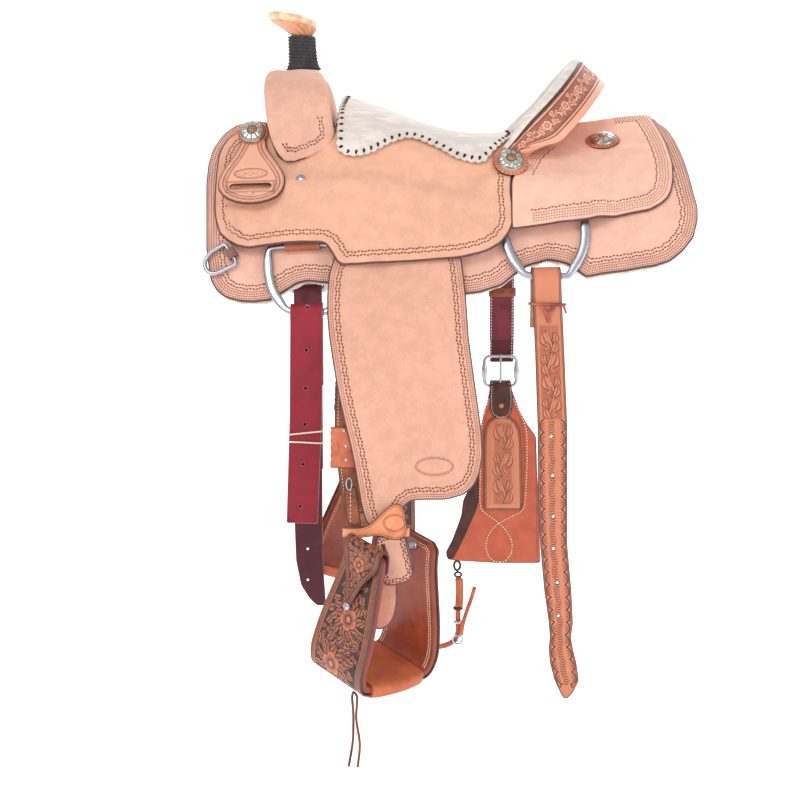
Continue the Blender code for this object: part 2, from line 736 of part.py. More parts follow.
def lifted(points):
    """The points, with any that lie under the deck raised to it."""
    points = np.array(points, float)
    grid = np.linspace(0.0, 0.30, 151)
    for p in points:
        if abs(p[1]) < 0.002:
            low = side(p[0], 0.0, deck(p[0], 0.0))[2]
        else:
            q = side(np.full(151, p[0]), grid, deck(p[0], grid))
            low = np.interp(abs(p[1]), q[:, 1], q[:, 2])
        p[2] = max(p[2], low)
    return points


# Rim curve: the line where suede and tooled band meet, near corner to top.
corner = find(side, [(507, 151)], lambda a, b: jockey_top(a, b) + 0.003)[0]
corner = side(*corner, jockey_top(*corner) + 0.003)
RIM = np.array(
    [
        (corner[0], -corner[1], corner[2]), (0.0967, 0.155, 0.0325), (0.1173, 0.153, 0.0553),
        (0.1404, 0.143, 0.0791), (0.1633, 0.119, 0.1041), (0.1854, 0.080, 0.1308),
        (0.1990, 0.040, 0.1475), (0.2045, 0.0, 0.1530),
    ]
)
RIM_N = np.array((0.744, 0.0, -0.668))  # from the rim towards the saddle's rear
BACK_LINE = np.array([(1.0, 0.104, 0.150), (0.85, 0.116, 0.130), (0.7, 0.137, 0.102), (0.5, 0.160, 0.070), (0.25, 0.184, 0.035), (0.0, 0.196, 0.0)])
SEAT_LINE = np.array([(1.0, 0.0930, 0.131), (0.85, 0.0945, 0.118), (0.6, 0.0985, 0.085), (0.3, 0.1020, 0.042), (0.0, 0.1030, 0.0)])


def rim_frames(count):
    near = RIM * (1, -1, 1)
    p = spline(np.vstack((near, (RIM[::-1])[1:])), count, closed=False)
    t = np.gradient(p, axis=0)
    t /= np.linalg.norm(t, axis=1, keepdims=True)
    m = np.cross(t, RIM_N)
    m /= np.linalg.norm(m, axis=1, keepdims=True)
    flip = ((np.array((0.10, 0, 0.04)) - p) * m).sum(1) < 0
    m[flip] = -m[flip]
    return p, m


def cantle_section(tt, p, m):
    """Rows of the cantle at one place along its rim: face, board and cover."""
    a = abs(tt)
    k = 1 - 0.62 * smoothstep((a - 0.80) / 0.20)  # the whole section tapers
    depth = 0.050 * (1 - 0.80 * smoothstep((a - 0.74) / 0.26))
    sign = -1.0 if tt < 0 else 1.0

    def at(mm, nn):
        return p + m * mm * k + RIM_N * (nn * k)

    def on(line, extra):
        x = np.interp(a, line[::-1, 0], line[::-1, 1])
        s = np.interp(a, line[::-1, 0], line[::-1, 2])
        if a < 1e-6:
            return side(x, 0.0, deck(x, 0.0) + extra)
        return side(x, sign * s, deck(x, s) + extra)

    seat = on(SEAT_LINE, 0.0012)
    back = on(BACK_LINE, 0.0004)
    start = at(0.0245, 0.004)
    sag_dir = RIM_N * 0.9 + np.array((0, 0, -0.25))
    span = np.linalg.norm(start - seat)
    dish = [start * (1 - w) + seat * w + sag_dir * 0.17 * span * math.sin(math.pi * w) * (1 - 0.3 * w) for w in (0.2, 0.4, 0.6, 0.8, 1.0)]
    face = [at(0.0035, -0.0030), at(0.0048, -0.0090), at(0.0120, -0.0125), at(0.0200, -0.0090), start] + dish
    end = p + RIM_N * depth
    cover = [p + RIM_N * 0.003 * k, p + RIM_N * depth * 0.5, end]
    cover += [end * (1 - w) + back * w - m * 0.012 * k * math.sin(math.pi * w) for w in (0.35, 0.7, 1.0)]
    return np.array(face), np.array(cover)


def thickened(grid, d):
    """Grid moved d along its normals."""
    du = np.gradient(grid, axis=0)
    dv = np.gradient(grid, axis=1)
    n = np.cross(du, dv)
    n /= np.linalg.norm(n, axis=2, keepdims=True)
    return grid + n * d


COUNT = 21
P, M = rim_frames(COUNT)
rows = [cantle_section(t, p, m) for t, p, m in zip(np.linspace(-1, 1, COUNT), P, M)]
FACE = np.array([r[0] for r in rows])
COVER = np.array([r[1] for r in rows])
# which way is out of the saddle's cantle: towards the seat for the face
mid = COUNT // 2
d = thickened(FACE, 0.001) - FACE
face_out = 1.0 if d[mid, 7] @ np.array((-1.0, 0, 1.0)) > 0 else -1.0
d = thickened(COVER, 0.001) - COVER
cover_in = 1.0 if d[mid, 1] @ np.array((-1.0, 0, -1.0)) > 0 else -1.0


def draped(grid):
    return np.array([lifted(row) for row in grid])


face_a, face_b = draped(FACE), draped(thickened(FACE, face_out * 0.0030))
face_b[:, -1, 2] += 0.0012
sheet("cantle_face", face_a, face_b, "suede")
cover_a, cover_b = draped(COVER), draped(thickened(COVER, cover_in * 0.0032))
cover_a[:, -1, 2] += 0.0004
cover_b[:, -1] = draped(COVER)[:, -1] + (M * 0.0 + np.array((-0.0045, 0, 0.0002)))
cover_b = draped(cover_b)
sheet("cantle_cover", cover_b, cover_a, "tooled")

board = []
face_c = thickened(FACE, -face_out * 0.0020)
cover_c = thickened(COVER, cover_in * 0.0054)
for i in range(2, COUNT - 2):
    loop = [face_c[i, k] for k in (3, 4, 5, 6, 7, 8)]
    q = face_c[i, 9] * 0.7 + face_c[i, 8] * 0.3
    r = cover_c[i, 4] * 0.6 + cover_c[i, 5] * 0.4
    base = (q + r) / 2
    loop += [q - (0, 0, 0.004), base - (0, 0, 0.006), r + (-0.006, 0, 0.002), cover_c[i, 3], cover_c[i, 2] - RIM_N * 0.004, cover_c[i, 1], cover_c[i, 0] + RIM_N * 0.002]
    board.append(lifted(loop) + np.array((0, 0, 0.0009)))
loft("cantle_board", board, "wood")

# ================================================================ rear jockeys
REAR_PX = [
    (517, 228.5), (535, 226), (560, 222), (590, 219), (620, 216), (650, 210), (661, 204),
    (668, 198), (672, 190), (674, 178), (673, 162), (667, 144), (659, 129), (653, 120), (648, 114.5),
]


edge = find(side, REAR_PX, rear_top)
ridge = [(0.300, -0.0052), (0.26, -0.0052), (0.22, -0.0052), (0.186, -0.0052), (0.172, -0.032), (0.150, -0.065), (0.127, -0.097), (0.108, -0.126), (0.104, -0.150), (0.103, -0.20)]
near = slab("rear_jockey_near", side, np.vstack((edge, ridge)), rear_off, rear_top, "roughout", 0.045)
mirrored(near, "rear_jockey_off")

# ================================================================ skirts, fleece
SKIRT_PX = [
    (264, 120), (252, 121), (236, 124.5), (224, 133), (213, 148), (208, 164), (206, 183),
    (206, 219), (206, 250), (210, 279), (216, 290), (225, 297), (239, 301), (253, 302),
    (270, 300), (283, 292), (297, 283), (308, 280.5), (326, 282.5), (345, 287), (370, 295),
    (400, 300), (430, 299), (462, 294), (480, 292), (502, 285), (517, 272.5), (527, 265.5),
    (548, 259.5), (562, 262), (570, 265), (578, 271), (586, 277), (600, 274), (627, 270.5), (654, 266),
    (670, 261), (683, 251), (694, 237), (698, 220), (698, 207), (694, 193), (684, 159),
    (674, 138), (667, 128), (658, 122),
]


def skirt_out(x, s):
    return -skirt_dip(x, s)


def skirt_in(x, s):
    return -skirt_dip(x, s) - SKIRT_T


def fleece_out(x, s):
    return -skirt_dip(x, s) - SKIRT_T - GAP


def fleece_in(x, s):
    return -skirt_dip(x, s) - SKIRT_T - FLEECE_T


edge = find(side, SKIRT_PX, 0.0)
upper = [(0.318, -0.006), (0.27, -0.006), (0.22, -0.010), (0.17, -0.028), (0.10, -0.042), (0.0, -0.048), (-0.10, -0.052), (-0.20, -0.060), (-0.26, -0.070)]
skirt = np.vstack((edge, upper))
slab("skirt_near", side, skirt, skirt_in, skirt_out, "roughout", 0.045)


def off_side(x, s, off):
    return side(x, -np.asarray(s), off)


# on the off side the rear ring hangs further forward, and the arch with it
OFF_ARCH = {(502, 285): (478, 290), (517, 272.5): (494, 276), (527, 265.5): (506, 267), (548, 259.5): (526, 260.5), (562, 262): (543, 261.5), (570, 265): (558, 264)}
edge = find(side, [OFF_ARCH.get(q, q) for q in SKIRT_PX if q != (480, 292)], 0.0)
skirt_far = np.vstack((edge, upper))
slab("skirt_off", off_side, skirt_far, skirt_in, skirt_out, "roughout", 0.045)


slab("fleece_near", side, skirt, fleece_in, fleece_out, "fleece", 0.045)
slab("fleece_off", off_side, skirt_far, fleece_in, fleece_out, "fleece", 0.045)

# ================================================================ rigging
def side_frame(x, s, off):
    """Point, down-slope direction and outward normal of the side surface."""
    p = side(x, s, off)
    q = side(x, s, off + 0.01)
    nrm = (q - p) / 0.01
    down = side(x, s - 0.004, off) - p
    down /= np.linalg.norm(down)
    return p, down, nrm


def ring(name, px, top_flat, origin_px, off, samples=28, origin=None):
    """Wire ring in the plane of the side surface at its top bar."""
    x, s = find(side, [origin_px], off)[0]
    p, down, nrm = side_frame(x, s, off)
    along = np.cross(down, nrm)
    along /= np.linalg.norm(along)
    if along[0] < 0:
        along = -along

    def plane(a, b, o):
        a, b, o = np.broadcast_arrays(np.asarray(a, float), np.asarray(b, float), np.asarray(o, float))
        return p + a[..., None] * along + b[..., None] * down + o[..., None] * nrm

    flat = find(plane, px, 0.0, lo=(-0.12, -0.06), hi=(0.12, 0.2))
    return p, along, down, nrm, plane, flat


# Wire centre lines in the drawing; the top bar and the bottom are straight.
FRONT_RING_PX = [
    (268.5, 246), (267.8, 262), (268.5, 274), (272, 289), (280, 302), (291, 309.5), (308, 311),
    (327, 309.5), (333.5, 301), (336.5, 289), (337.5, 274), (337.5, 260), (337, 246),
]
REAR_RING_PX = [
    (500, 214), (501, 228), (506, 242), (511.5, 256), (519, 267), (529, 274), (547, 275.5),
    (565, 274), (574, 267), (581.5, 254), (585, 241), (585, 226), (584, 214),
]
rings = {}
for label, px, off, shift in (("front", FRONT_RING_PX, 0.0078, -0.030), ("rear", REAR_RING_PX, 0.0084, -0.034)):
    top = ((px[0][0] + px[-1][0]) / 2, px[0][1])
    p, along, down, nrm, plane, flat = ring(label, px, 0, top, off)
    # the top bar stays straight, with rounded corners
    flat[0, 1] = flat[-1, 1] = 0.0
    lowest = flat[5:8, 1].max()
    flat[5:8, 1] = lowest
    left, right = flat[0], flat[-1]
    corner = 0.009
    route = [(left[0] + corner, 0.0), (left[0] + 0.25 * corner, 0.22 * corner), (left[0], corner)]
    route += [tuple(q) for q in spline(flat[1:-1], 15, closed=False)]
    route += [(right[0], corner), (right[0] - 0.25 * corner, 0.22 * corner), (right[0] - corner, 0.0)]
    route = np.array(route)
    # the straight bottom
    low = np.abs(route[:, 1] - lowest) < 0.0035
    route[low, 1] = lowest
    # the ring hangs a little closer to the skirt at its bottom
    lean = math.sin(RAD(2.0 if label == "front" else 1.2))
    path = plane(route[:, 0], route[:, 1], -lean * route[:, 1])
    inward = plane(0.0, 0.0, 0.0) * 0 + nrm
    t = np.roll(path, -1, 0) - np.roll(path, 1, 0)
    t /= np.linalg.norm(t, axis=1, keepdims=True)
    b = np.cross(t, nrm)
    b /= np.linalg.norm(b, axis=1, keepdims=True)
    a = np.cross(b, t)
    k = smoothstep((route[:, 1] - 0.004) / 0.012)
    low = smoothstep((route[:, 1] - lowest + 0.016) / 0.012)
    wide = BAR_R + (WIRE_W - BAR_R) * k
    wide = wide + (WIRE_LOW - wide) * low
    thick = BAR_R + (WIRE_T - BAR_R) * k
    ang = (np.arange(8) + 0.5) * math.pi / 4
    loops = [
        q + np.outer(np.cos(ang) * th * 1.05, u) + np.outer(np.sin(ang) * w * 1.05, v)
        for q, th, w, u, v in zip(path, thick, wide, a, b)
    ]
    obj = loft(label + "_ring_near", loops, "metal", closed=True, origin=p)
    twin = mirrored(obj, label + "_ring_off")
    xs = find(side, [top], off)[0]
    move = (side(xs[0] + shift, xs[1], off + (0.0036 if label == "front" else 0.0008)) - side(xs[0], xs[1], off)) * (1, -1, 1)
    twin.location = np.array(twin.location) + move
    bottom = plane((flat[5, 0] + flat[7, 0]) / 2, lowest, -lean * lowest)
    rings[label] = dict(top=p, along=along, down=down, nrm=nrm, bottom=bottom, left=left[0], right=right[0], move=move)

# Rigging straps: each a strip that ends in a loop round its ring's top bar.
for label, width, length in (("front", 0.038, 0.034), ("rear", 0.076, 0.034)):
    r = rings[label]
    r_in, r_out = BAR_R + 0.0006, BAR_R + 0.0030
    # profile in (down, normal): strip above, C-shaped loop round the bar
    prof = [(r_out * math.cos(a), r_out * math.sin(a)) for a in np.radians(np.linspace(-150, 90, 9))]
    tail = [(-0.020, 0.0058), (-0.020, 0.0036)]
    inner = [(r_in * math.cos(a), r_in * math.sin(a)) for a in np.radians(np.linspace(90, -150, 9))]
    strip = [(-0.020, -0.0010), (-length, 0.0004), (-length, -0.0020), (-0.020, -0.0036)]
    profile = np.array(prof + tail + inner + strip)
    mid = (r["left"] + r["right"]) / 2
    loops = []
    for x in np.linspace(mid - width / 2, mid + width / 2, 3):
        loops.append([r["top"] + r["along"] * x + r["down"] * a + r["nrm"] * b for a, b in profile])
    near = loft(label + "_rig_strap_near", loops, "tooled")
    twin = mirrored(near, label + "_rig_strap_off")
    run = r["along"] * (1, -1, 1)
    back = run * (r["move"] @ run) * (0.62 if label == "front" else 0.0)
    twin.location = np.array(twin.location) + r["move"] - back

# ================================================================ conchos
CONCHO = [(0, 0.0), (0.0205, 0.0), (0.0225, 0.0012), (0.0225, 0.0030), (0.0195, 0.0052), (0.0140, 0.0085), (0.0060, 0.0100), (0, 0.0103)]
for label, px, off in (("front", (253.3, 135), 0.0), ("seat", (510.6, 161), 0.0), ("rear", (602.5, 139), 0.0)):
    fn = rear_top if label == "rear" else jockey_top
    x, s = find(side, [px], lambda a, b: fn(a, b) + 0.004)[0]
    o = float(fn(np.array([x]), np.array([s]))[0])
    p, down, nrm = side_frame(x, s, o)
    if label == "front":
        keeper_at = (x, s, o, p, down, nrm)
        o2 = o + 0.0092
    elif label == "seat":
        o2 = o + 0.0040
    else:
        o2 = o + 0.0022
    p2, down, nrm = side_frame(x, s, o2)
    obj = turned("concho_%s_near" % label, CONCHO, p2, nrm, "metal", 14)
    mirrored(obj, "concho_%s_off" % label)

# Latigo keeper: teardrop with a slot, hung on the near front concho.
x, s, o, p, down, nrm = keeper_at
along = np.cross(down, nrm)
along = along if along[0] > 0 else -along
down = down + 0.05 * nrm
down /= np.linalg.norm(down)
nrm = np.cross(along, down)
nrm = nrm if nrm[1] < 0 else -nrm


def keeper_plane(a, b, off):
    a, b, off = np.broadcast_arrays(np.asarray(a, float), np.asarray(b, float), np.asarray(off, float))
    return p + a[..., None] * along + b[..., None] * down + off[..., None] * nrm


KEEPER_PX = [
    (253, 129), (244, 134), (240, 145), (233, 157), (226, 166), (219.5, 177), (217.5, 187), (223, 196),
    (236, 202), (251, 203.5), (268, 200.5), (279, 195), (285, 184), (284, 174), (276, 161),
    (267, 148), (265, 136), (260, 130),
]
flat = find(keeper_plane, KEEPER_PX, 0.0070, lo=(-0.08, -0.03), hi=(0.08, 0.15))
flat = spline(flat, 30)
slot = find(keeper_plane, [(230, 184.5), (271, 184.5), (271, 189), (230, 189)], 0.0070, lo=(-0.08, -0.03), hi=(0.08, 0.15))
# the slot is bridged into the outline by a narrow cut at its left end, as in a
# keeper stitched shut there
keeper = slab("latigo_keeper", keeper_plane, flat, 0.0036, 0.0078, "tooled", 0.03, origin=p)
lo_a, hi_a = slot[:, 0].min(), slot[:, 0].max()
lo_b, hi_b = slot[:, 1].min(), slot[:, 1].max()
box = [keeper_plane(a, b, c) for c in (-0.01, 0.02) for b in (lo_b, hi_b) for a in (lo_a, hi_a)]
cutter = add("keeper_slot_cutter", np.array(box), [[0, 1, 3, 2], [4, 6, 7, 5], [0, 4, 5, 1], [2, 3, 7, 6], [0, 2, 6, 4], [1, 5, 7, 3]], "dark")
cutter.hide_render = True
cutter.display_type = "WIRE"
cut = keeper.modifiers.new("slot", "BOOLEAN")
cut.object = cutter
cut.operation = "DIFFERENCE"

# ================================================================ breast collar dees
DEE_PX = [
    (224.5, 245), (219, 247.5), (209.5, 254), (205, 262), (206, 269), (211, 273.5), (217.5, 273),
    (227, 268.5), (236, 263), (230.5, 254),
]
x, s = find(side, [(230.5, 254)], 0.0065)[0]
p, down, nrm = side_frame(x, s, 0.0065)
along = np.cross(down, nrm)
along = along if along[0] > 0 else -along
dee_p = p


def dee_plane(a, b, off):
    a, b, off = np.broadcast_arrays(np.asarray(a, float), np.asarray(b, float), np.asarray(off, float))
    return dee_p + a[..., None] * along + b[..., None] * down + off[..., None] * nrm


flat = find(dee_plane, DEE_PX, 0.0, lo=(-0.08, -0.06), hi=(0.08, 0.08))
route = spline(flat, 18)
obj = tube("breast_dee_near", dee_plane(route[:, 0], route[:, 1], 0.0), 0.0032, "metal", nrm, sides=6, closed=True, origin=p)
mirrored(obj, "breast_dee_off")
DEE_BAR = (dee_plane(flat[0, 0], flat[0, 1], 0.0), dee_plane(flat[8, 0], flat[8, 1], 0.0))

# ================================================================ hanging leathers
FENDER_PX = [
    (372, 212), (352, 224), (340, 240), (333, 261), (329, 273), (327, 294), (327, 316), (329, 338), (333, 364), (338, 394),
    (344.5, 423), (350, 445), (355, 470), (358, 488), (361, 505), (365, 520), (374, 533), (390, 541), (398, 548), (399, 566), (399, 582),
    (406, 580), (413, 575), (414, 566), (410, 548), (405, 530), (401, 516), (403.5, 507), (411, 501), (424, 500),
    (446, 500), (464, 495), (474, 486), (480, 473), (483, 455), (482, 433), (478, 404), (474, 375),
    (469, 338), (466, 294), (462, 261), (456, 240), (444, 224), (424, 212), (398, 207),
]
F0 = 0.0080
FENDER_Y = F0 + FENDER_T


def fender_in(x, l):
    """The fender lies over the ring at its front edge and over the bolt at its tail."""
    ring_lift = 0.0044 * (1 - smoothstep((np.asarray(x) + 0.150) / 0.03)) * (1 - smoothstep((l - 0.21) / 0.05))
    tail_lift = 0.0110 * smoothstep((np.asarray(l) - 0.553) / 0.020)
    return F0 + ring_lift + tail_lift


def fender_out(x, l):
    return fender_in(x, l) + FENDER_T


LO, HI = (-0.30, -0.02), (0.12, 0.72)
PIVOT = hang(*find(hang, [(397, 210)], 0.004, LO, HI)[0], 0.004)
flat = find(hang, FENDER_PX, fender_out, LO, HI)
fender_n = slab("fender_near", hang, flat, fender_in, fender_out, "roughout", 0.034, origin=PIVOT)

LEATHER_PX = [
    (374, 204), (362, 240), (352, 290), (341, 350), (335, 386), (334.5, 426), (336.5, 450), (338, 472), (341, 495), (345, 515),
    (385, 511), (383, 490), (381, 470), (380, 426), (382, 386), (390, 350), (402, 290), (412, 240), (420, 204),
]
flat = find(hang, LEATHER_PX, 0.005, LO, HI)
leather_n = slab("stirrup_leather_near", hang, flat, 0.0018, 0.0018 + LEATHER_T, "latigo", 0.05, origin=PIVOT)

# Sleeve buckle: flat tube round the leather.
x0, l0 = find(hang, [(330, 427)], 0.006, LO, HI)[0]
x1, l1 = find(hang, [(345, 468)], 0.006, LO, HI)[0]
x2 = find(hang, [(386, 447)], 0.006, LO, HI)[0][0]
outer = [(x0, -0.0006), (x0, 0.0075), (x2 + 0.004, 0.0075), (x2 + 0.004, -0.0006)]
inner = [(x0 + 0.003, 0.0013), (x0 + 0.003, 0.0062), (x2 + 0.0015, 0.0062), (x2 + 0.0015, 0.0013)]


def sleeve(name, outer, inner, la, lb, kind, origin, steps=3):
    loops = []
    for l in np.linspace(la, lb, steps):
        loops.append([hang(x, l, o) for x, o in outer])
    for l in np.linspace(lb, la, steps):
        loops.append([hang(x, l, o) for x, o in inner])
    return loft(name, loops, kind, closed=True, origin=origin)


buckle_n = sleeve("leather_buckle_near", outer, inner, l0, l1, "tooled", PIVOT)

# Hobble strap: band round leather and fender neck.
x0, l0 = find(hang, [(344, 522)], FENDER_Y, LO, HI)[0]
x1, l1 = find(hang, [(404, 535)], FENDER_Y, LO, HI)[0]
x0 -= 0.002
x1 += 0.0075
lh = (l0 + l1) / 2
outer = [(x0, -0.0012), (x0, FENDER_Y + 0.0094), (x1, FENDER_Y + 0.0094), (x1, -0.0012)]
inner = [(x0 + 0.003, 0.0012), (x0 + 0.003, FENDER_Y + 0.0062), (x1 - 0.003, FENDER_Y + 0.0062), (x1 - 0.003, 0.0012)]
hobble_n = sleeve("hobble_strap_near", outer, inner, lh - 0.012, lh + 0.008, "tooled", PIVOT, 2)

# ================================================================ stirrups
# Local axes: L across (outer panel at -L), F through the opening, U up.
YAW, TILT = RAD(44.2), RAD(13.3)
L_AX = np.array((math.cos(YAW), math.sin(YAW), 0.0))
F_H = np.array((math.sin(YAW), -math.cos(YAW), 0.0))
Z_AX = np.array((0.0, 0.0, 1.0))
F_AX = F_H * math.cos(TILT) - Z_AX * math.sin(TILT)
U_AX = Z_AX * math.cos(TILT) + F_H * math.sin(TILT)
BOLT = np.array((-0.0905, -0.3010, -0.5560))  # middle of the stirrup bolt
HALF_TOP, HALF_LOW, HEIGHT = 0.050, 0.0700, 0.202
DEEP_TOP, DEEP_LOW = 0.074, 0.110


def stirrup_path(out, count=25):
    """Bell-shaped centre line in (a, h), out metres outside the base line."""
    a1, a2, h = HALF_TOP + out, HALF_LOW + out, HEIGHT - 0.013 + out
    half = [(-a1, 0.013), (-a1 - 0.001, -0.02), (-a1 - 0.008, -0.07), (-a2 + 0.004, -0.125), (-a2, -h + 0.030), (-a2 + 0.010, -h + 0.006), (-a2 + 0.034, -h), (-0.012, -h)]
    pts = half + [(-a, b) for a, b in half[::-1]]
    pts = spline(pts, count, closed=False)
    pts[np.abs(pts[:, 0]) < a2 - 0.033, 1] = -h
    return pts


def stirrup_depth(h):
    t = np.clip((0.013 - h) / 0.16, 0, 1)
    return DEEP_TOP + (DEEP_LOW - DEEP_TOP) * smoothstep(t)


def stirrup_shell(name, out0, out1, wide, kind, count=25, part=None):
    inner, outer = stirrup_path(out0, count), stirrup_path(out1, count)
    loops = []
    for (a0, h0), (a1, h1) in zip(inner, outer):
        d = (stirrup_depth(h0) + wide) / 2
        loops.append([
            BOLT + L_AX * a0 + U_AX * h0 - F_AX * d,
            BOLT + L_AX * a0 + U_AX * h0 + F_AX * d,
            BOLT + L_AX * a1 + U_AX * h1 + F_AX * d,
            BOLT + L_AX * a1 + U_AX * h1 - F_AX * d,
        ])
    if part:
        loops = loops[part[0]:part[1]]
    return loft(name, loops, kind, origin=BOLT)


stirrup_n = stirrup_shell("stirrup_near", -0.0045, 0.0045, -0.006, "wood")
cover_n = stirrup_shell("stirrup_cover_near", 0.0050, 0.0085, 0.0, "tooled")

# Bolt with a roller sleeve between the sides; its heads lie inside the frame's ears.
bolt_len = HALF_TOP - 0.0050
prof = [(0, -bolt_len), (0.0095, -bolt_len), (0.0095, -bolt_len + 0.005), (0.0060, -bolt_len + 0.006), (0.0060, bolt_len - 0.006), (0.0095, bolt_len - 0.005), (0.0095, bolt_len), (0, bolt_len)]
bolt_n = turned("stirrup_bolt_near", prof, BOLT, L_AX, "metal", 12, origin=BOLT)

# Leather bight round the bolt; it turns with the leathers, not with the stirrup.
up = BOLT + np.array((0, 0, 0.0))
loops = []
for a in np.linspace(-0.024, 0.024, 3):
    outer = [(0.0100 * math.cos(t), 0.0100 * math.sin(t)) for t in np.radians(np.linspace(180, 360, 8))]
    outer += [(0.0052, 0.0125), (-0.0052, 0.0125)]
    loops.append([BOLT + L_AX * a + F_H * x + Z_AX * z for x, z in outer])
ring_in = []
for a in np.linspace(0.024, -0.024, 3):
    inner = [(0.0070 * math.cos(t), 0.0070 * math.sin(t)) for t in np.radians(np.linspace(180, 360, 8))]
    inner += [(0.0028, 0.0096), (-0.0028, 0.0096)]
    ring_in.append([BOLT + L_AX * a + F_H * x + Z_AX * z for x, z in inner])
loop_n = loft("stirrup_loop_near", loops + ring_in, "latigo", closed=True, origin=PIVOT)

# Off side: the same group, swung a little forward about its pivot.
SWING = RAD(3.0)
off_pivot = PIVOT * (1, -1, 1)
axis = np.array((0.0, math.cos(LATERAL), math.sin(LATERAL)))


def turn(points, about, axis, angle):
    axis = axis / np.linalg.norm(axis)
    q = points - about
    c, s = math.cos(angle), math.sin(angle)
    return about + q * c + np.cross(axis, q) * s + np.outer(q @ axis, axis) * (1 - c)


for obj, name in (
    (fender_n, "fender_off"), (leather_n, "stirrup_leather_off"), (buckle_n, "leather_buckle_off"),
    (hobble_n, "hobble_strap_off"), (stirrup_n, "stirrup_off"), (cover_n, "stirrup_cover_off"),
    (bolt_n, "stirrup_bolt_off"), (loop_n, "stirrup_loop_off"),
):
    twin = mirrored(obj, name)
    loc = np.array(twin.location)
    co = np.array([v.co[:] for v in twin.data.vertices]) + loc
    co = turn(co, off_pivot, axis, SWING)
    new = turn(loc[None], off_pivot, axis, SWING)[0]
    for v, c in zip(twin.data.vertices, co - new):
        v.co = c
    twin.location = new

# Thong: one lace through the stirrup's lacing, whose two ends hang free.
THONG_R = 0.0019
foot = BOLT + L_AX * (-HALF_LOW + 0.020) + F_AX * 0.020 - U_AX * (HEIGHT + 0.0012)


def thong_route(count=27):
    """Up one end, over under the tread, and down the other end."""
    a, b = foot - F_AX * 0.0045, foot + F_AX * 0.0050
    drop = np.array((0, 0, -0.0075))
    pts = [
        a + (-0.006, 0.002, -0.118), a + (0.000, 0.002, -0.080), a + (0.001, 0.001, -0.040),
        a + drop, (a + b) / 2 + (0, 0, -0.0032), b + drop,
        b + (-0.001, -0.001, -0.040), b + (0.004, -0.003, -0.078), b + (0.001, -0.004, -0.112),
    ]
    return spline(pts, count, closed=False)


curve = bpy.data.curves.new("tread_thong", "CURVE")
curve.dimensions = "3D"
route = thong_route()
spl = curve.splines.new("POLY")
spl.points.add(len(route) - 1)
for q, sp in zip(route, spl.points):
    sp.co = (*q, 1)
curve.bevel_depth = THONG_R
curve.bevel_resolution = 2
curve.use_fill_caps = True
obj = bpy.data.objects.new("tread_thong", curve)
bpy.context.scene.collection.objects.link(obj)
mat = bpy.data.materials.new("tread_thong_material")
mat.use_nodes = True
mat.node_tree.nodes["Principled BSDF"].inputs["Base Color"].default_value = (0.2, 0.09, 0.05, 1)
curve.materials.append(mat)


# ================================================================ hanging straps
def hung(name, ring_point, y_sign, px_edges, y_plane, back_z, kind, slope, thick=STRAP_T, turn_steps=7):
    """Strap folded over the straight bottom of a ring: long ply outside, short
    ply inside, both hanging plumb. px_edges: rows (left u, right u, v). slope:
    how the ring's bottom runs in y and z for each metre along x."""
    rx, ry, rz = ring_point
    r = 0.0062 + 0.0008 + thick / 2  # the wire's section leans with the ring
    top = 0.0082 + 0.0008 + thick / 2 - r
    c = thick / 2 + 0.0004
    out = y_sign  # outside direction
    rows = [(at_y(ul, v, y_plane)[0], at_y(ur, v, y_plane)[0], at_y(ul, v, y_plane)[2]) for ul, ur, v in px_edges]
    rows = np.array(rows)
    x0, x1 = rows[0, 0], rows[0, 1]
    # back ply upwards, over the wire, and down outside
    path = [(ry - out * c, back_z), (ry - out * c, rz - 0.034), (ry - out * (c + 0.0005), rz - 0.026), (ry - out * r, rz - 0.006)]
    path += [(ry - out * r * math.cos(a), rz + top + r * math.sin(a)) for a in np.linspace(0.0, math.pi, turn_steps)]
    path += [(ry + out * r, rz - 0.006), (ry + out * (c + 0.0005), rz - 0.026), (ry + out * c, rz - 0.034)]
    lefts = [x0] * len(path)
    rights = [x1] * len(path)
    for xl, xr, z in rows:
        if z < rz - 0.036:
            path.append((ry + out * c, z))
            lefts.append(xl)
            rights.append(xr)
    obj = strap(name, path, lefts, rights, thick, kind, origin=ring_point)
    for v in obj.data.vertices:
        z = v.co.z
        v.co.y += slope[0] * v.co.x
        v.co.z += slope[1] * v.co.x * float(smoothstep((z + 0.05) / 0.03))
    return obj


FR, RR = rings["front"], rings["rear"]
FB, RB = FR["bottom"], RR["bottom"]
OF, OR = FB * (1, -1, 1) + FR["move"], RB * (1, -1, 1) + RR["move"]
FS = (FR["along"][1] / FR["along"][0], FR["along"][2] / FR["along"][0])
RS = (RR["along"][1] / RR["along"][0], RR["along"][2] / RR["along"][0])

# near latigo, with its inner ply
LATIGO_PX = [(290.3, 323, 295), (290, 323, 350), (289.5, 322, 420), (288, 320, 470), (286.5, 318, 523)]
z_back = at_y(326, 386, FB[1])[2]
hung("latigo_near", FB, -1, LATIGO_PX, FB[1], z_back, "latigo", FS)
# off billet: far side, near edge hidden by the stirrup
OFF_PX = [(294, 322, 290), (294, 322, 420), (294.5, 322.5, 520), (296, 323, 560), (301, 324.5, 585), (309, 325.5, 598), (317, 325.5, 606)]
hung("off_billet", OF, 1, OFF_PX, OF[1], at_y(300, 470, OF[1])[2], "latigo", (-FS[0], FS[1]))
# near flank billet with a shaped point
BILLET_PX = [
    (531, 560, 266), (532.5, 561, 300), (535, 564, 352), (537.5, 567, 428), (538, 567, 500),
    (540, 567, 545), (544, 571, 590), (548.5, 572.5, 622), (549.5, 570.5, 636), (548.5, 572.5, 648),
    (549.5, 576, 662), (554, 578.3, 679), (560, 572, 692), (563, 567, 697),
]
hung("flank_billet_near", RB, -1, BILLET_PX, RB[1], RB[2] - 0.075, "tooled", RS)

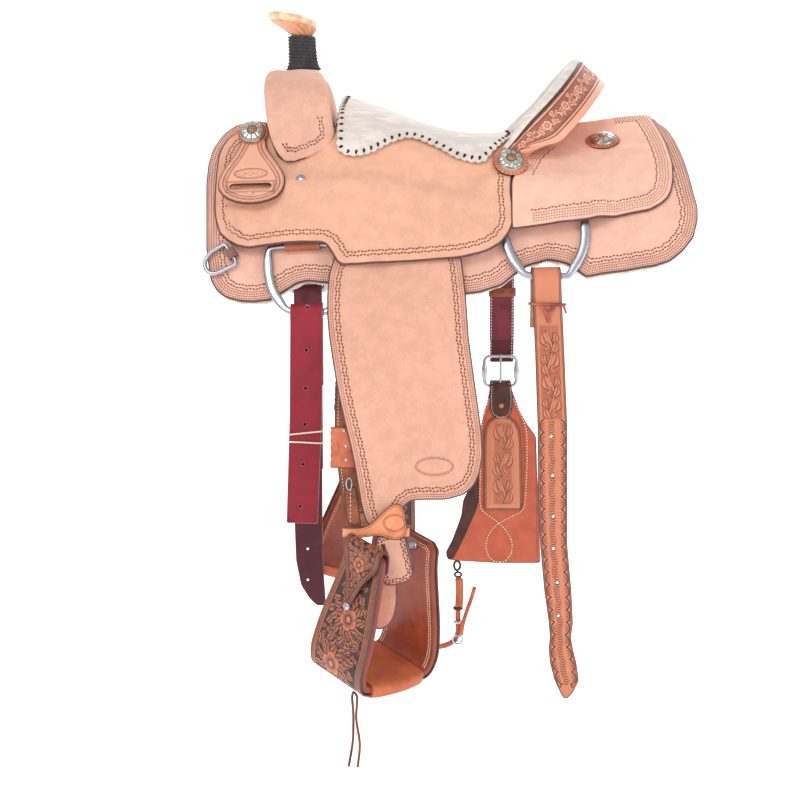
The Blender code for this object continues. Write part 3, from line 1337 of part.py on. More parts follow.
# off flank billet down to the cinch buckle
FB_Y = OR[1]
OFFB_PX = [(490, 514, 272), (490, 514, 330), (490, 513.5, 362)]
hung("flank_billet_off", OR, 1, OFFB_PX, FB_Y, at_y(500, 340, FB_Y)[2], "latigo", (-RS[0], RS[1]))

# Buckle of the flank cinch: a rounded frame that hangs behind the billet's end.
by = FB_Y - 0.0105
corners = [at_y(u, v, by) for u, v in ((484.5, 356), (516.5, 356), (516.5, 386), (484.5, 386))]
xl, xr = corners[0][0], corners[1][0]
zt, zb = corners[0][2], corners[2][2]
c = 0.010
route = [(xl + c, zt), (xr - c, zt), (xr - 0.3 * c, zt - 0.3 * c), (xr, zt - c), (xr, zb + c), (xr - 0.3 * c, zb + 0.3 * c), (xr - c, zb), (xl + c, zb), (xl + 0.3 * c, zb + 0.3 * c), (xl, zb + c), (xl, zt - c), (xl + 0.3 * c, zt - 0.3 * c)]
path = np.array([(x, by, z) for x, z in route])
hinge_at = np.array(((xl + xr) / 2, by, zb))
tube("flank_buckle", path, 0.0030, "metal", (0, 1, 0), sides=6, closed=True, origin=hinge_at)
mid = (xl + xr) / 2
tong = np.array([(mid, by - 0.0062, zb + 0.0105), (mid, by - 0.0068, (zt + zb) / 2), (mid, by - 0.0060, zt + 0.0035)])
tube("flank_buckle_tongue", tong, 0.0020, "metal", (0, 1, 0), sides=6, origin=(mid, by, zb))

# Flank cinch: chafe strap looped on the buckle, flaring to a wide folded body.
CINCH_PX = [
    (489, 512, 386), (489, 513, 396), (487, 516.5, 402), (484, 519.5, 410), (481, 527, 424), (480, 536, 436),
    (478, 537, 470), (463, 538.5, 500), (461, 539, 516), (452, 539.5, 540), (445, 540, 553), (451, 540, 560), (497, 540, 563.5),
]
rows = [(at_y(a, v, by)[0], at_y(b, v, by)[0], at_y(a, v, by)[2]) for a, b, v in CINCH_PX]
t = 0.0042
r = 0.0030 + 0.0016 + t / 2
cgap = t / 2 + 0.0004
path = [(by + cgap, zb - 0.040), (by + cgap, zb - 0.022), (by + r, zb - 0.003)]
path += [(by + r * math.cos(a), zb + r * math.sin(a)) for a in np.linspace(0, math.pi, 7)]
path += [(by - r, zb - 0.003), (by - cgap, zb - 0.022)]
xs0, xs1 = mid - 0.0185, mid + 0.0185
lefts, rights = [xs0] * len(path), [xs1] * len(path)
for a, b, z in rows:
    if z < zb - 0.026:
        path.append((by - cgap, z))
        lefts.append(a)
        rights.append(b)
strap("flank_cinch", path, lefts, rights, t, "tooled", origin=hinge_at)

# Cinch hobble: small strap under the cinch's front corner.
hp = at_y(458, 569, by)
route = [(458.5, 567), (458.5, 590), (458, 612), (458, 632), (454, 640), (446, 645), (436, 647)]
path = np.array([at_y(u, v, by - 0.0005) for u, v in route])
tube("cinch_hobble", path, 0.0055, "tooled", (0, 1, 0), sides=6, origin=path[0], flat=0.45)
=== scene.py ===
"""Looks of the roping saddle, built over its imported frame.

Frame: +X runs to the rear of the saddle, -Y is the near (left) side, +Z is up.
All lengths are in metres.
"""

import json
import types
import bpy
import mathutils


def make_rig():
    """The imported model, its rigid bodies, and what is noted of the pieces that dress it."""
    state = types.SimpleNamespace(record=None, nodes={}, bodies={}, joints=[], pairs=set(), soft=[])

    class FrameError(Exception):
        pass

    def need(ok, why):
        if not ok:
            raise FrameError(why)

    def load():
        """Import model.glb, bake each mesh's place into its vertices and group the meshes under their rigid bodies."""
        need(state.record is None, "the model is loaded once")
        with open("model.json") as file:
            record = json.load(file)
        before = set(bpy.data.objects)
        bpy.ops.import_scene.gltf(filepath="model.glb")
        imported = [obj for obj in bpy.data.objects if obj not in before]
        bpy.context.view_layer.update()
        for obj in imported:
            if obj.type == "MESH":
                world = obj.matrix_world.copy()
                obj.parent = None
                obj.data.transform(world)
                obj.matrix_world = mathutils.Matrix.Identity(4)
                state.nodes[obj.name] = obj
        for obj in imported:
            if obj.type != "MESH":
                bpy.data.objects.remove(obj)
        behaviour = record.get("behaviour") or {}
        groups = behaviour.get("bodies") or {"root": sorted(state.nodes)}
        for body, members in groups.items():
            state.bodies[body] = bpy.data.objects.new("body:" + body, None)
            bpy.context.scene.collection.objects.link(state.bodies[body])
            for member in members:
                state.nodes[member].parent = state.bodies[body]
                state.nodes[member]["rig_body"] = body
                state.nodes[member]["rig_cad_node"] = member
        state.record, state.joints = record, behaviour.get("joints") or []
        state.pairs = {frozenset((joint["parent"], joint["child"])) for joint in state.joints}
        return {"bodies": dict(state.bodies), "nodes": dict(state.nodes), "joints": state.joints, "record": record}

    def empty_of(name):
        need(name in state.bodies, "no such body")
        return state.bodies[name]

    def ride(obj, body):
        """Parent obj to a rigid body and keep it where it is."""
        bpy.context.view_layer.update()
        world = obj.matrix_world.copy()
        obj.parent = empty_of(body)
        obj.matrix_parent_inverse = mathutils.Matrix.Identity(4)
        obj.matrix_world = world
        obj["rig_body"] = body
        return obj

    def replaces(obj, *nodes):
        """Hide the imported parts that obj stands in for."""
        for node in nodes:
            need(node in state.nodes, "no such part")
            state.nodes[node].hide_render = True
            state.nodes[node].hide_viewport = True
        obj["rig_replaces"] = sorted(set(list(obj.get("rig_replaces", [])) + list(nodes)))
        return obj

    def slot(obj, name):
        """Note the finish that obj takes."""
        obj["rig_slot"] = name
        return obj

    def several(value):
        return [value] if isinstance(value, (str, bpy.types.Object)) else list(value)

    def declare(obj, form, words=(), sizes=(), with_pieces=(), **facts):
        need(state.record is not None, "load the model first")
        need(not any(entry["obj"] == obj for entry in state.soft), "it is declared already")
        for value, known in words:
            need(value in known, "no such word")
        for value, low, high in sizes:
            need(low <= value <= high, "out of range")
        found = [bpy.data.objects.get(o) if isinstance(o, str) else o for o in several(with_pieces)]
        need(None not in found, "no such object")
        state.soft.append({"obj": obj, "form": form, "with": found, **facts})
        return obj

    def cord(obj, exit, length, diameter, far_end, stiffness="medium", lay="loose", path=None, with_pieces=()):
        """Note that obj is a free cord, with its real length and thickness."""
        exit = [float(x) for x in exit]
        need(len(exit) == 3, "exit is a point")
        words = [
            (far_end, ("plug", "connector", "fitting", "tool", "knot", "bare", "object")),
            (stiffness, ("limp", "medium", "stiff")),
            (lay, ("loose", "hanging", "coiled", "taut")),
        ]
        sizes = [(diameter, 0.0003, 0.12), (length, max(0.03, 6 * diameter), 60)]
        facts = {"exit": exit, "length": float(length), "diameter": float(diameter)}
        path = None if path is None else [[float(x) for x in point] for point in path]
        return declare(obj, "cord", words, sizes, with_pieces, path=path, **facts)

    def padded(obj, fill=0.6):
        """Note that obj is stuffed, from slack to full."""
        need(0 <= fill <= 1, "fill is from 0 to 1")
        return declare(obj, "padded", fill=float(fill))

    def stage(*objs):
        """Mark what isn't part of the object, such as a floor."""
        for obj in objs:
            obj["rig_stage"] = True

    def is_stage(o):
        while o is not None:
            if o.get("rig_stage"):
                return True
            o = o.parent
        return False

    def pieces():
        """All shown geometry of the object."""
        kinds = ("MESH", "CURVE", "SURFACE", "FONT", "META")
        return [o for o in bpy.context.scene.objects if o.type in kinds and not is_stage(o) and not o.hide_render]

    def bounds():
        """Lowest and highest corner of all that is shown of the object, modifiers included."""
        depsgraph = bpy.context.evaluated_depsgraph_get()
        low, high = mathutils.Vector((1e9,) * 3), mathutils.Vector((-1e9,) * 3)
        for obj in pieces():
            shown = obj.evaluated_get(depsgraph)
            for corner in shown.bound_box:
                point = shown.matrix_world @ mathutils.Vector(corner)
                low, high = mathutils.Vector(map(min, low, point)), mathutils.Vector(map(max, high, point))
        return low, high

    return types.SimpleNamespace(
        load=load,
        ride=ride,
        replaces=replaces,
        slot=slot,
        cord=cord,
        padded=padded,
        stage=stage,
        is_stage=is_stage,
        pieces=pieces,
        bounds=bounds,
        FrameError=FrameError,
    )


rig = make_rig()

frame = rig.load()

import json
import math

import bpy
import numpy as np
from mathutils import Matrix, Vector
from mathutils.geometry import delaunay_2d_cdt

CAD_BOX = [[float(c) for c in corner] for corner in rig.bounds()]
RNG = np.random.default_rng(7)
GAP = 0.0004
# ---------------------------------------------------------------- dimensions
EYE = np.array((-0.08, -2.40, -0.06))  # standpoint of the side elevation
FOCAL = 1500.0  # drawing units per unit of tangent
CENTRE = 400.0
PITCH = math.atan(200 / 1500)

SKIRT_T = 0.0065
FLEECE_T = 0.017
JOCKEY_T = 0.005
FENDER_T = 0.005
LEATHER_T = 0.0040
STRAP_T = 0.0042
BAR_R = 0.0040  # top bar of a rigging ring
WIRE_T = 0.0036  # half thickness of its flat wire
WIRE_W = 0.0070  # half width of the wire at its sides
WIRE_LOW = 0.0050  # half width at its straight bottom
GAP = 0.0004

LATERAL = math.radians(22)  # lean of the side panels from the vertical

RAD = math.radians

# ---------------------------------------------------------------- elevation
AHEAD = np.array((0.0, math.cos(PITCH), -math.sin(PITCH)))
ABOVE = np.array((0.0, math.sin(PITCH), math.cos(PITCH)))
RIGHT = np.array((1.0, 0.0, 0.0))


def look(p):
    """Drawing coordinates of points, shape (..., 3) to (..., 2)."""
    q = np.asarray(p, float) - EYE
    w = q @ AHEAD
    return np.stack(
        (CENTRE + FOCAL * (q @ RIGHT) / w, CENTRE - FOCAL * (q @ ABOVE) / w), -1
    )


def at_y(u, v, y):
    """The point of the plane Y = y that the drawing shows at (u, v)."""
    d = AHEAD + (u - CENTRE) / FOCAL * RIGHT + (CENTRE - v) / FOCAL * ABOVE
    return EYE + d * (y - EYE[1]) / d[1]


def smoothstep(x):
    x = np.clip(x, 0.0, 1.0)
    return x * x * (3 - 2 * x)


def window(x, a, b, c, d):
    """0 before a, 1 from b to c, 0 after d, smooth between."""
    x = np.asarray(x, float)
    return smoothstep((x - a) / (b - a)) * (1 - smoothstep((x - c) / (d - c)))


# ---------------------------------------------------------------- side surface
# Stations along X: ridge height, slope at the ridge, slope of the side,
# width of the turn between them, and half-width at Z = -0.12.
STATIONS = np.array(
    [
        #  X      ztop   th0  th1   turn   half
        (-0.46, 0.100, 44, 64, 0.26, 0.168),
        (-0.36, 0.118, 44, 64, 0.26, 0.172),
        (-0.28, 0.116, 42, 64, 0.24, 0.178),
        (-0.21, 0.094, 30, 66, 0.18, 0.188),
        (-0.16, 0.077, 12, 68, 0.11, 0.194),
        (-0.10, 0.058, 5, 68, 0.10, 0.195),
        (-0.05, 0.038, 3, 68, 0.10, 0.195),
        (0.00, 0.025, 3, 68, 0.10, 0.195),
        (0.06, 0.021, 4, 68, 0.10, 0.196),
        (0.12, 0.029, 12, 67, 0.14, 0.200),
        (0.20, 0.055, 27, 65, 0.22, 0.210),
        (0.28, 0.067, 28, 63, 0.25, 0.214),
        (0.36, 0.069, 28, 63, 0.25, 0.210),
        (0.46, 0.064, 28, 63, 0.25, 0.204),
    ]
)
DX, DS = 0.01, 0.004
XS = np.arange(-0.48, 0.4801, DX)
SS = np.arange(0.0, 0.5601, DS)


def blurred(values, passes=5):
    for _ in range(passes):
        padded = np.concatenate(([values[0]], values, [values[-1]]))
        values = (padded[:-2] + 2 * padded[1:-1] + padded[2:]) / 4
    return values


def section(th0, th1, start, turn):
    th = th0 + (th1 - th0) * smoothstep((SS - start) / turn)
    th = np.radians(th * np.minimum(1, SS / 0.02))
    mid = (th[1:] + th[:-1]) / 2
    y = np.concatenate(([0], np.cumsum(np.cos(mid) * DS)))
    drop = np.concatenate(([0], np.cumsum(np.sin(mid) * DS)))
    return y, drop


def side_tables():
    cols = [blurred(np.interp(XS, STATIONS[:, 0], STATIONS[:, k])) for k in range(1, 6)]
    ys, zs = [], []
    for ztop, th0, th1, turn, half in zip(*cols):
        lo, hi = -0.05, 0.20
        for _ in range(30):
            start = (lo + hi) / 2
            y, drop = section(th0, th1, start, turn)
            if np.interp(ztop + 0.12, drop, y) < half:
                lo = start
            else:
                hi = start
        ys.append(y)
        zs.append(ztop - drop)
    return np.array(ys), np.array(zs)


YT, ZT = side_tables()


def lookup(table, x, s):
    fx = np.clip((x - XS[0]) / DX, 0, len(XS) - 1.001)
    fs = np.clip(s / DS, 0, len(SS) - 1.001)
    i, j = fx.astype(int), fs.astype(int)
    a, b = fx - i, fs - j
    return (
        table[i, j] * (1 - a) * (1 - b)
        + table[i + 1, j] * a * (1 - b)
        + table[i, j + 1] * (1 - a) * b
        + table[i + 1, j + 1] * a * b
    )


def side(x, s, off=0.0):
    """Point of the side surface at station x, s metres down from the ridge
    (negative on the near side), off metres out along its normal."""
    x, s = np.broadcast_arrays(np.asarray(x, float), np.asarray(s, float))
    sign = np.where(s < 0, -1.0, 1.0)

    def base(x, s):
        t = np.abs(s)
        return np.stack(
            (x, np.where(s < 0, -1.0, 1.0) * lookup(YT, x, t), lookup(ZT, x, t)), -1
        )

    e = 0.004
    p = base(x, s)
    inner = np.where(np.abs(s) < e, e * sign, s)
    du = base(x + e, inner) - base(x - e, inner)
    dv = (base(x, inner + e * sign) - base(x, inner - e * sign)) * sign[..., None]
    n = np.cross(du, dv)
    n /= np.linalg.norm(n, axis=-1, keepdims=True)
    off = np.broadcast_to(np.asarray(off, float), x.shape)
    return p + n * off[..., None]


# The hanging leathers lie in one plane that leans like the side panels, then
# turns towards the vertical below the skirts. l is measured down from Z = 0.
HL = np.arange(-0.06, 0.80, 0.004)
HTH = RAD(22) - (RAD(22) - RAD(7)) * smoothstep((HL - 0.225) / 0.16)
HY = np.concatenate(([0], np.cumsum(np.sin((HTH[1:] + HTH[:-1]) / 2) * 0.004)))
HZ = -np.concatenate(([0], np.cumsum(np.cos((HTH[1:] + HTH[:-1]) / 2) * 0.004)))
HY += 0.195 - np.interp(0.12, -HZ - np.interp(0.0, HL, -HZ), HY)
HZ -= np.interp(0.0, HL, HZ)


def hang(x, l, off=0.0):
    """Point of the hanging surface on the near side."""
    x, l = np.broadcast_arrays(np.asarray(x, float), np.asarray(l, float))
    y, z, th = np.interp(l, HL, HY), np.interp(l, HL, HZ), np.interp(l, HL, HTH)
    off = np.broadcast_to(np.asarray(off, float), x.shape)
    return np.stack((x, -(y + off * np.cos(th)), z + off * np.sin(th)), -1)


def find(surface, px, off=0.0, lo=(-0.46, -0.52), hi=(0.46, -0.002)):
    """Surface coordinates of drawing points."""
    px = np.asarray(px, float).reshape(-1, 2)
    ga, gb = np.meshgrid(np.linspace(lo[0], hi[0], 60), np.linspace(lo[1], hi[1], 60))
    ga, gb = ga.ravel(), gb.ravel()

    def offset(a, b):
        return off(a, b) if callable(off) else np.full(np.shape(a), float(off))

    seen = look(surface(ga, gb, offset(ga, gb)))
    near = np.argmin(((seen[None] - px[:, None]) ** 2).sum(-1), 1)
    a, b = ga[near].copy(), gb[near].copy()
    h = 1e-4
    for _ in range(25):
        f = look(surface(a, b, offset(a, b))) - px
        fa = (look(surface(a + h, b, offset(a + h, b))) - px - f) / h
        fb = (look(surface(a, b + h, offset(a, b + h))) - px - f) / h
        det = fa[:, 0] * fb[:, 1] - fa[:, 1] * fb[:, 0]
        det = np.where(np.abs(det) < 1e-3, 1e-3, det)
        da = (f[:, 0] * fb[:, 1] - f[:, 1] * fb[:, 0]) / det
        db = (fa[:, 0] * f[:, 1] - fa[:, 1] * f[:, 0]) / det
        a = a - np.clip(da, -0.02, 0.02)
        b = b - np.clip(db, -0.02, 0.02)
        b = np.clip(b, lo[1] - 0.02, hi[1])
    return np.stack((a, b), -1)


# ---------------------------------------------------------------- layers
def jockey_off(x, s):
    """Inner face of the seat jockey above the side surface."""
    x, s = np.asarray(x, float), np.abs(np.asarray(s, float))
    base = 0.0010 + 0.0058 * smoothstep((x + 0.335) / 0.06)
    over_bars = 0.0115 * window(x, -0.26, -0.21, 0.6, 0.7) * (1 - smoothstep((s - 0.15) / 0.05))
    lift = 0.0160 + 0.0048 * window(x, -0.27, -0.235, -0.12, -0.07)
    start = 0.180 - 0.030 * smoothstep((x - 0.02) / 0.03)
    over_fender = lift * smoothstep((x + 0.340) / 0.03) * smoothstep((s - start) / 0.042)
    return np.maximum(np.maximum(base, over_bars), over_fender)


def skirt_dip(x, s):
    """How far skirt and fleece sink under the tree bars."""
    x, s = np.asarray(x, float), np.abs(np.asarray(s, float))
    return 0.017 * window(x, -0.30, -0.26, 0.205, 0.24) * (1 - smoothstep((s - 0.135) / 0.04))


def rear_off(x, s):
    x = np.asarray(x, float)
    s = np.abs(np.asarray(s, float))
    over_bars = 0.0040 * (1 - smoothstep((x - 0.17) / 0.06)) * (1 - smoothstep((s - 0.15) / 0.05))
    over_ring = 0.0176 * window(x, -0.02, 0.02, 0.20, 0.24) * smoothstep((s - 0.150) / 0.045)
    return 0.0008 + over_bars + over_ring


def spline(points, count, closed=True):
    """count points at equal steps along a centripetal curve through points."""
    p = np.asarray(points, float)
    n = len(p)
    fine = []
    spans = n if closed else n - 1
    for i in range(spans):
        if closed:
            q = [p[(i + k) % n] for k in (-1, 0, 1, 2)]
        else:
            q = [p[max(i - 1, 0)], p[i], p[i + 1], p[min(i + 2, n - 1)]]
            if i == 0:
                q[0] = 2 * p[0] - p[1]
            if i == n - 2:
                q[3] = 2 * p[-1] - p[-2]
        t = [0.0]
        for a, b in zip(q[:-1], q[1:]):
            t.append(t[-1] + max(np.linalg.norm(b - a), 1e-9) ** 0.5)
        for u in np.linspace(t[1], t[2], 12, endpoint=False):
            a1 = (t[1] - u) / (t[1] - t[0]) * q[0] + (u - t[0]) / (t[1] - t[0]) * q[1]
            a2 = (t[2] - u) / (t[2] - t[1]) * q[1] + (u - t[1]) / (t[2] - t[1]) * q[2]
            a3 = (t[3] - u) / (t[3] - t[2]) * q[2] + (u - t[2]) / (t[3] - t[2]) * q[3]
            b1 = (t[2] - u) / (t[2] - t[0]) * a1 + (u - t[0]) / (t[2] - t[0]) * a2
            b2 = (t[3] - u) / (t[3] - t[1]) * a2 + (u - t[1]) / (t[3] - t[1]) * a3
            fine.append((t[2] - u) / (t[2] - t[1]) * b1 + (u - t[1]) / (t[2] - t[1]) * b2)
    fine = np.array(fine + ([fine[0]] if closed else [p[-1]]))
    length = np.concatenate(([0], np.cumsum(np.linalg.norm(np.diff(fine, axis=0), axis=1))))
    at = np.linspace(0, length[-1], count + 1 if closed else count)
    if closed:
        at = at[:-1]
    return np.stack([np.interp(at, length, fine[:, k]) for k in range(fine.shape[1])], -1)


def inside(poly, pts):
    x, y = pts[:, 0], pts[:, 1]
    hit = np.zeros(len(pts), bool)
    q = np.roll(poly, -1, 0)
    for (x0, y0), (x1, y1) in zip(poly, q):
        cross = (y0 > y) != (y1 > y)
        with np.errstate(divide="ignore", invalid="ignore"):
            hit ^= cross & (x < (x1 - x0) * (y - y0) / (y1 - y0) + x0)
    return hit


def edge_distance(poly, pts):
    best = np.full(len(pts), 1e9)
    q = np.roll(poly, -1, 0)
    for a, b in zip(poly, q):
        d = b - a
        t = np.clip(((pts - a) @ d) / max(d @ d, 1e-12), 0, 1)
        best = np.minimum(best, np.linalg.norm(pts - a - t[:, None] * d, axis=1))
    return best


def dense(outline, longest):
    """The outline with extra points on its long edges."""
    out = []
    for a, b in zip(outline, np.roll(outline, -1, 0)):
        parts = max(1, math.ceil(np.linalg.norm(b - a) / longest))
        out += [a + (b - a) * k / parts for k in range(parts)]
    return np.array(out)


def frames(path, closed, up):
    """Two unit normals at each point of a path, the first as near to up as it
    can be."""
    path = np.asarray(path, float)
    if closed:
        t = np.roll(path, -1, 0) - np.roll(path, 1, 0)
    else:
        t = np.gradient(path, axis=0)
    t /= np.linalg.norm(t, axis=1, keepdims=True)
    up = np.broadcast_to(np.asarray(up, float), path.shape)
    a = up - (up * t).sum(1, keepdims=True) * t
    a /= np.linalg.norm(a, axis=1, keepdims=True)
    return a, np.cross(t, a)


# ================================================================ mesh kit
def unit(v):
    v = np.asarray(v, float)
    return v / np.maximum(np.linalg.norm(v, axis=-1, keepdims=True), 1e-12)


class Solid:
    """Vertices, faces, material numbers and point attributes of one piece."""

    def __init__(self):
        self.v, self.f, self.m, self.n, self.at = [], [], [], 0, {}

    def add(self, verts, faces, mat=0, **attrs):
        verts = np.asarray(verts, float).reshape(-1, 3)
        shift = self.n
        self.f += [tuple(int(i) + shift for i in face) for face in faces]
        self.m += [mat] * len(faces) if np.isscalar(mat) else list(mat)
        for key in set(self.at) | set(attrs):
            col = self.at.setdefault(key, [np.zeros(shift)] if shift else [])
            val = attrs.get(key, 0.0)
            col.append(np.broadcast_to(np.asarray(val, float), (len(verts),)))
        self.v.append(verts)
        self.n += len(verts)
        return self

    def make(self, name, mats, body, nodes=(), slot=None, sharp=None):
        mesh = bpy.data.meshes.new(name)
        mesh.from_pydata(np.vstack(self.v).tolist(), [], self.f)
        for mat in mats:
            mesh.materials.append(mat)
        mesh.polygons.foreach_set("material_index", np.array(self.m, np.int32))
        for key, cols in self.at.items():
            layer = mesh.attributes.new(key, "FLOAT", "POINT")
            layer.data.foreach_set("value", np.concatenate(cols).astype(np.float32))
        mesh.shade_smooth()
        if sharp:
            mesh.set_sharp_from_angle(angle=math.radians(sharp))
        mesh.update()
        obj = bpy.data.objects.new(name, mesh)
        bpy.context.scene.collection.objects.link(obj)
        if body:
            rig.ride(obj, body)
        if nodes:
            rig.replaces(obj, *nodes)
        if slot:
            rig.slot(obj, slot)
        return obj


def grid_faces(rows, cols, wrap_rows=False, wrap_cols=False, flip=False):
    faces = []
    for i in range(rows if wrap_rows else rows - 1):
        a, b = i * cols, ((i + 1) % rows) * cols
        for j in range(cols if wrap_cols else cols - 1):
            k = (j + 1) % cols
            q = (a + j, a + k, b + k, b + j)
            faces.append(q[::-1] if flip else q)
    return faces


def outward(verts, faces):
    """The faces, turned round if their volume is negative."""
    v = np.asarray(verts, float)
    c = v.mean(0)
    vol = 0.0
    for f in faces:
        p = v[list(f)] - c
        for k in range(1, len(f) - 1):
            vol += p[0] @ np.cross(p[k], p[k + 1])
    return [tuple(f)[::-1] for f in faces] if vol < 0 else [tuple(f) for f in faces]


def outward_fast(verts, faces):
    v = np.asarray(verts, float)
    c = v.mean(0)
    tri = np.array([(f[0], f[k], f[k + 1]) for f in faces for k in range(1, len(f) - 1)])
    p = v[tri] - c
    vol = np.einsum("ij,ij->i", p[:, 0], np.cross(p[:, 1], p[:, 2])).sum()
    return [tuple(f)[::-1] for f in faces] if vol < 0 else [tuple(f) for f in faces]


def lofted(solid, loops, mat=0, closed=False, caps=True, **attrs):
    loops = np.asarray(loops, float)
    rows, cols = loops.shape[:2]
    faces = grid_faces(rows, cols, wrap_rows=closed, wrap_cols=True)
    if not closed and caps:
        faces.append(tuple(range(cols))[::-1])
        faces.append(tuple((rows - 1) * cols + j for j in range(cols)))
    faces = outward_fast(loops.reshape(-1, 3), faces)
    return solid.add(loops.reshape(-1, 3), faces, mat, **attrs)


def rod(solid, path, radius, mat=0, up=(0, 0, 1), sides=10, closed=False, flat=1.0, **attrs):
    """Tube along a path; radius and flat may vary along it."""
    path = np.asarray(path, float)
    a, b = frames(path, closed, up)
    ang = np.arange(sides) * 2 * math.pi / sides
    radius = np.broadcast_to(np.asarray(radius, float), (len(path),))
    loops = path[:, None] + radius[:, None, None] * (
        np.cos(ang)[None, :, None] * a[:, None] * flat + np.sin(ang)[None, :, None] * b[:, None]
    )
    return lofted(solid, loops, mat, closed, **attrs)


def lathe(solid, profile, centre, axis, mat=0, sides=32, ref=None, warp=None, **attrs):
    """Solid of revolution from (radius, height) pairs that start and end on the axis."""
    axis = unit(axis)
    ref = np.array((1.0, 0, 0)) if ref is None else np.asarray(ref, float)
    if abs(ref @ axis) > 0.95:
        ref = np.array((0.0, 1.0, 0.0))
    u = unit(np.cross(axis, ref))
    w = np.cross(axis, u)
    prof = np.array(profile, float)
    ang = np.arange(sides) * 2 * math.pi / sides
    r = np.repeat(prof[1:-1, :1], sides, 1)
    h = np.repeat(prof[1:-1, 1:], sides, 1)
    if warp:
        r, h = warp(r, h, ang[None, :] + 0 * r)
    loops = (
        np.asarray(centre, float)
        + axis * h[..., None]
        + r[..., None] * (np.cos(ang)[None, :, None] * u + np.sin(ang)[None, :, None] * w)
    )
    rows = len(prof) - 2
    verts = np.vstack((loops.reshape(-1, 3), [centre + axis * prof[0, 1]], [centre + axis * prof[-1, 1]]))
    faces = grid_faces(rows, sides, wrap_cols=True)
    a, b, last = rows * sides, rows * sides + 1, (rows - 1) * sides
    faces += [((j + 1) % sides, j, a) for j in range(sides)]
    faces += [(last + j, last + (j + 1) % sides, b) for j in range(sides)]
    return solid.add(verts, outward_fast(verts, faces), mat, **attrs)


def marks(solid, at, along, out, length, width, height, mat=0, sink=0.0004, sides=8, shape=1.0, **attrs):
    """Low rounded studs or dashes: one at each point."""
    at, along, out = (np.asarray(q, float).reshape(-1, 3) for q in (at, along, out))
    if not len(at):
        return solid
    out = unit(np.broadcast_to(out, at.shape))
    along = np.broadcast_to(along, at.shape)
    along = unit(along - (along * out).sum(1, keepdims=True) * out)
    across = np.cross(out, along)
    n = len(at)
    length, width, height = (np.broadcast_to(np.asarray(q, float), (n,)) for q in (length, width, height))
    ang = np.arange(sides) * 2 * math.pi / sides
    c = np.sign(np.cos(ang)) * np.abs(np.cos(ang)) ** shape
    s = np.sign(np.sin(ang)) * np.abs(np.sin(ang)) ** shape
    rings = []
    for scale, lift in ((1.0, None), (0.98, 0.35), (0.72, 1.0)):
        h = -sink if lift is None else height * lift
        h = np.broadcast_to(h, (n,))
        rings.append(
            at[:, None]
            + along[:, None] * (c[None, :] * (length / 2)[:, None] * scale)[..., None]
            + across[:, None] * (s[None, :] * (width / 2)[:, None] * scale)[..., None]
            + out[:, None] * h[:, None, None]
        )
    verts = np.concatenate(rings, 1)
    m = 3 * sides
    base = []
    for r in range(2):
        for k in range(sides):
            j = (k + 1) % sides
            base.append((r * sides + k, r * sides + j, (r + 1) * sides + j, (r + 1) * sides + k))
    base.append(tuple(range(2 * sides, 3 * sides)))
    base.append(tuple(range(sides))[::-1])
    faces = [tuple(i + q * m for i in f) for q in range(n) for f in base]
    return solid.add(verts.reshape(-1, 3), faces, mat, **attrs)


# ---------------------------------------------------------------- outlines
def area(poly):
    q = np.roll(poly, -1, 0)
    return ((poly[:, 0] * q[:, 1] - q[:, 0] * poly[:, 1]).sum()) / 2


def inward(poly):
    """Inward normal at each corner, long enough to keep a parallel offset."""
    a = unit(poly - np.roll(poly, 1, 0))
    b = unit(np.roll(poly, -1, 0) - poly)
    t = unit(a + b)
    n = np.stack((-t[:, 1], t[:, 0]), -1) * (1 if area(poly) > 0 else -1)
    half = np.clip((t * b).sum(1), 0.55, 1.0)
    return n / half[:, None]


def border(poly, pts):
    """Distance of points from the outline, and the place on it they are nearest."""
    best, along, run = np.full(len(pts), 1e9), np.zeros(len(pts)), 0.0
    for a, b in zip(poly, np.roll(poly, -1, 0)):
        d = b - a
        length = float(np.hypot(*d))
        t = np.clip(((pts - a) @ d) / max(d @ d, 1e-14), 0, 1)
        q = np.linalg.norm(pts - a - t[:, None] * d, axis=1)
        near = q < best
        best = np.where(near, q, best)
        along = np.where(near, run + t * length, along)
        run += length
    return best, along


def resampled(poly, step, closed=True):
    """The outline at equal steps, straight between its own points."""
    p = np.asarray(poly, float)
    if closed:
        p = np.vstack((p, p[:1]))
    run = np.concatenate(([0], np.cumsum(np.linalg.norm(np.diff(p, axis=0), axis=1))))
    n = max(3, int(round(run[-1] / step)))
    at = np.linspace(0, run[-1], n, endpoint=not closed)
    return np.stack([np.interp(at, run, p[:, k]) for k in range(p.shape[1])], -1)


def softened(poly, step, passes=2):
    """The outline at equal steps with its corners eased."""
    p = resampled(poly, step)
    for _ in range(passes):
        p = (np.roll(p, 1, 0) + 2 * p + np.roll(p, -1, 0)) / 4
    return p


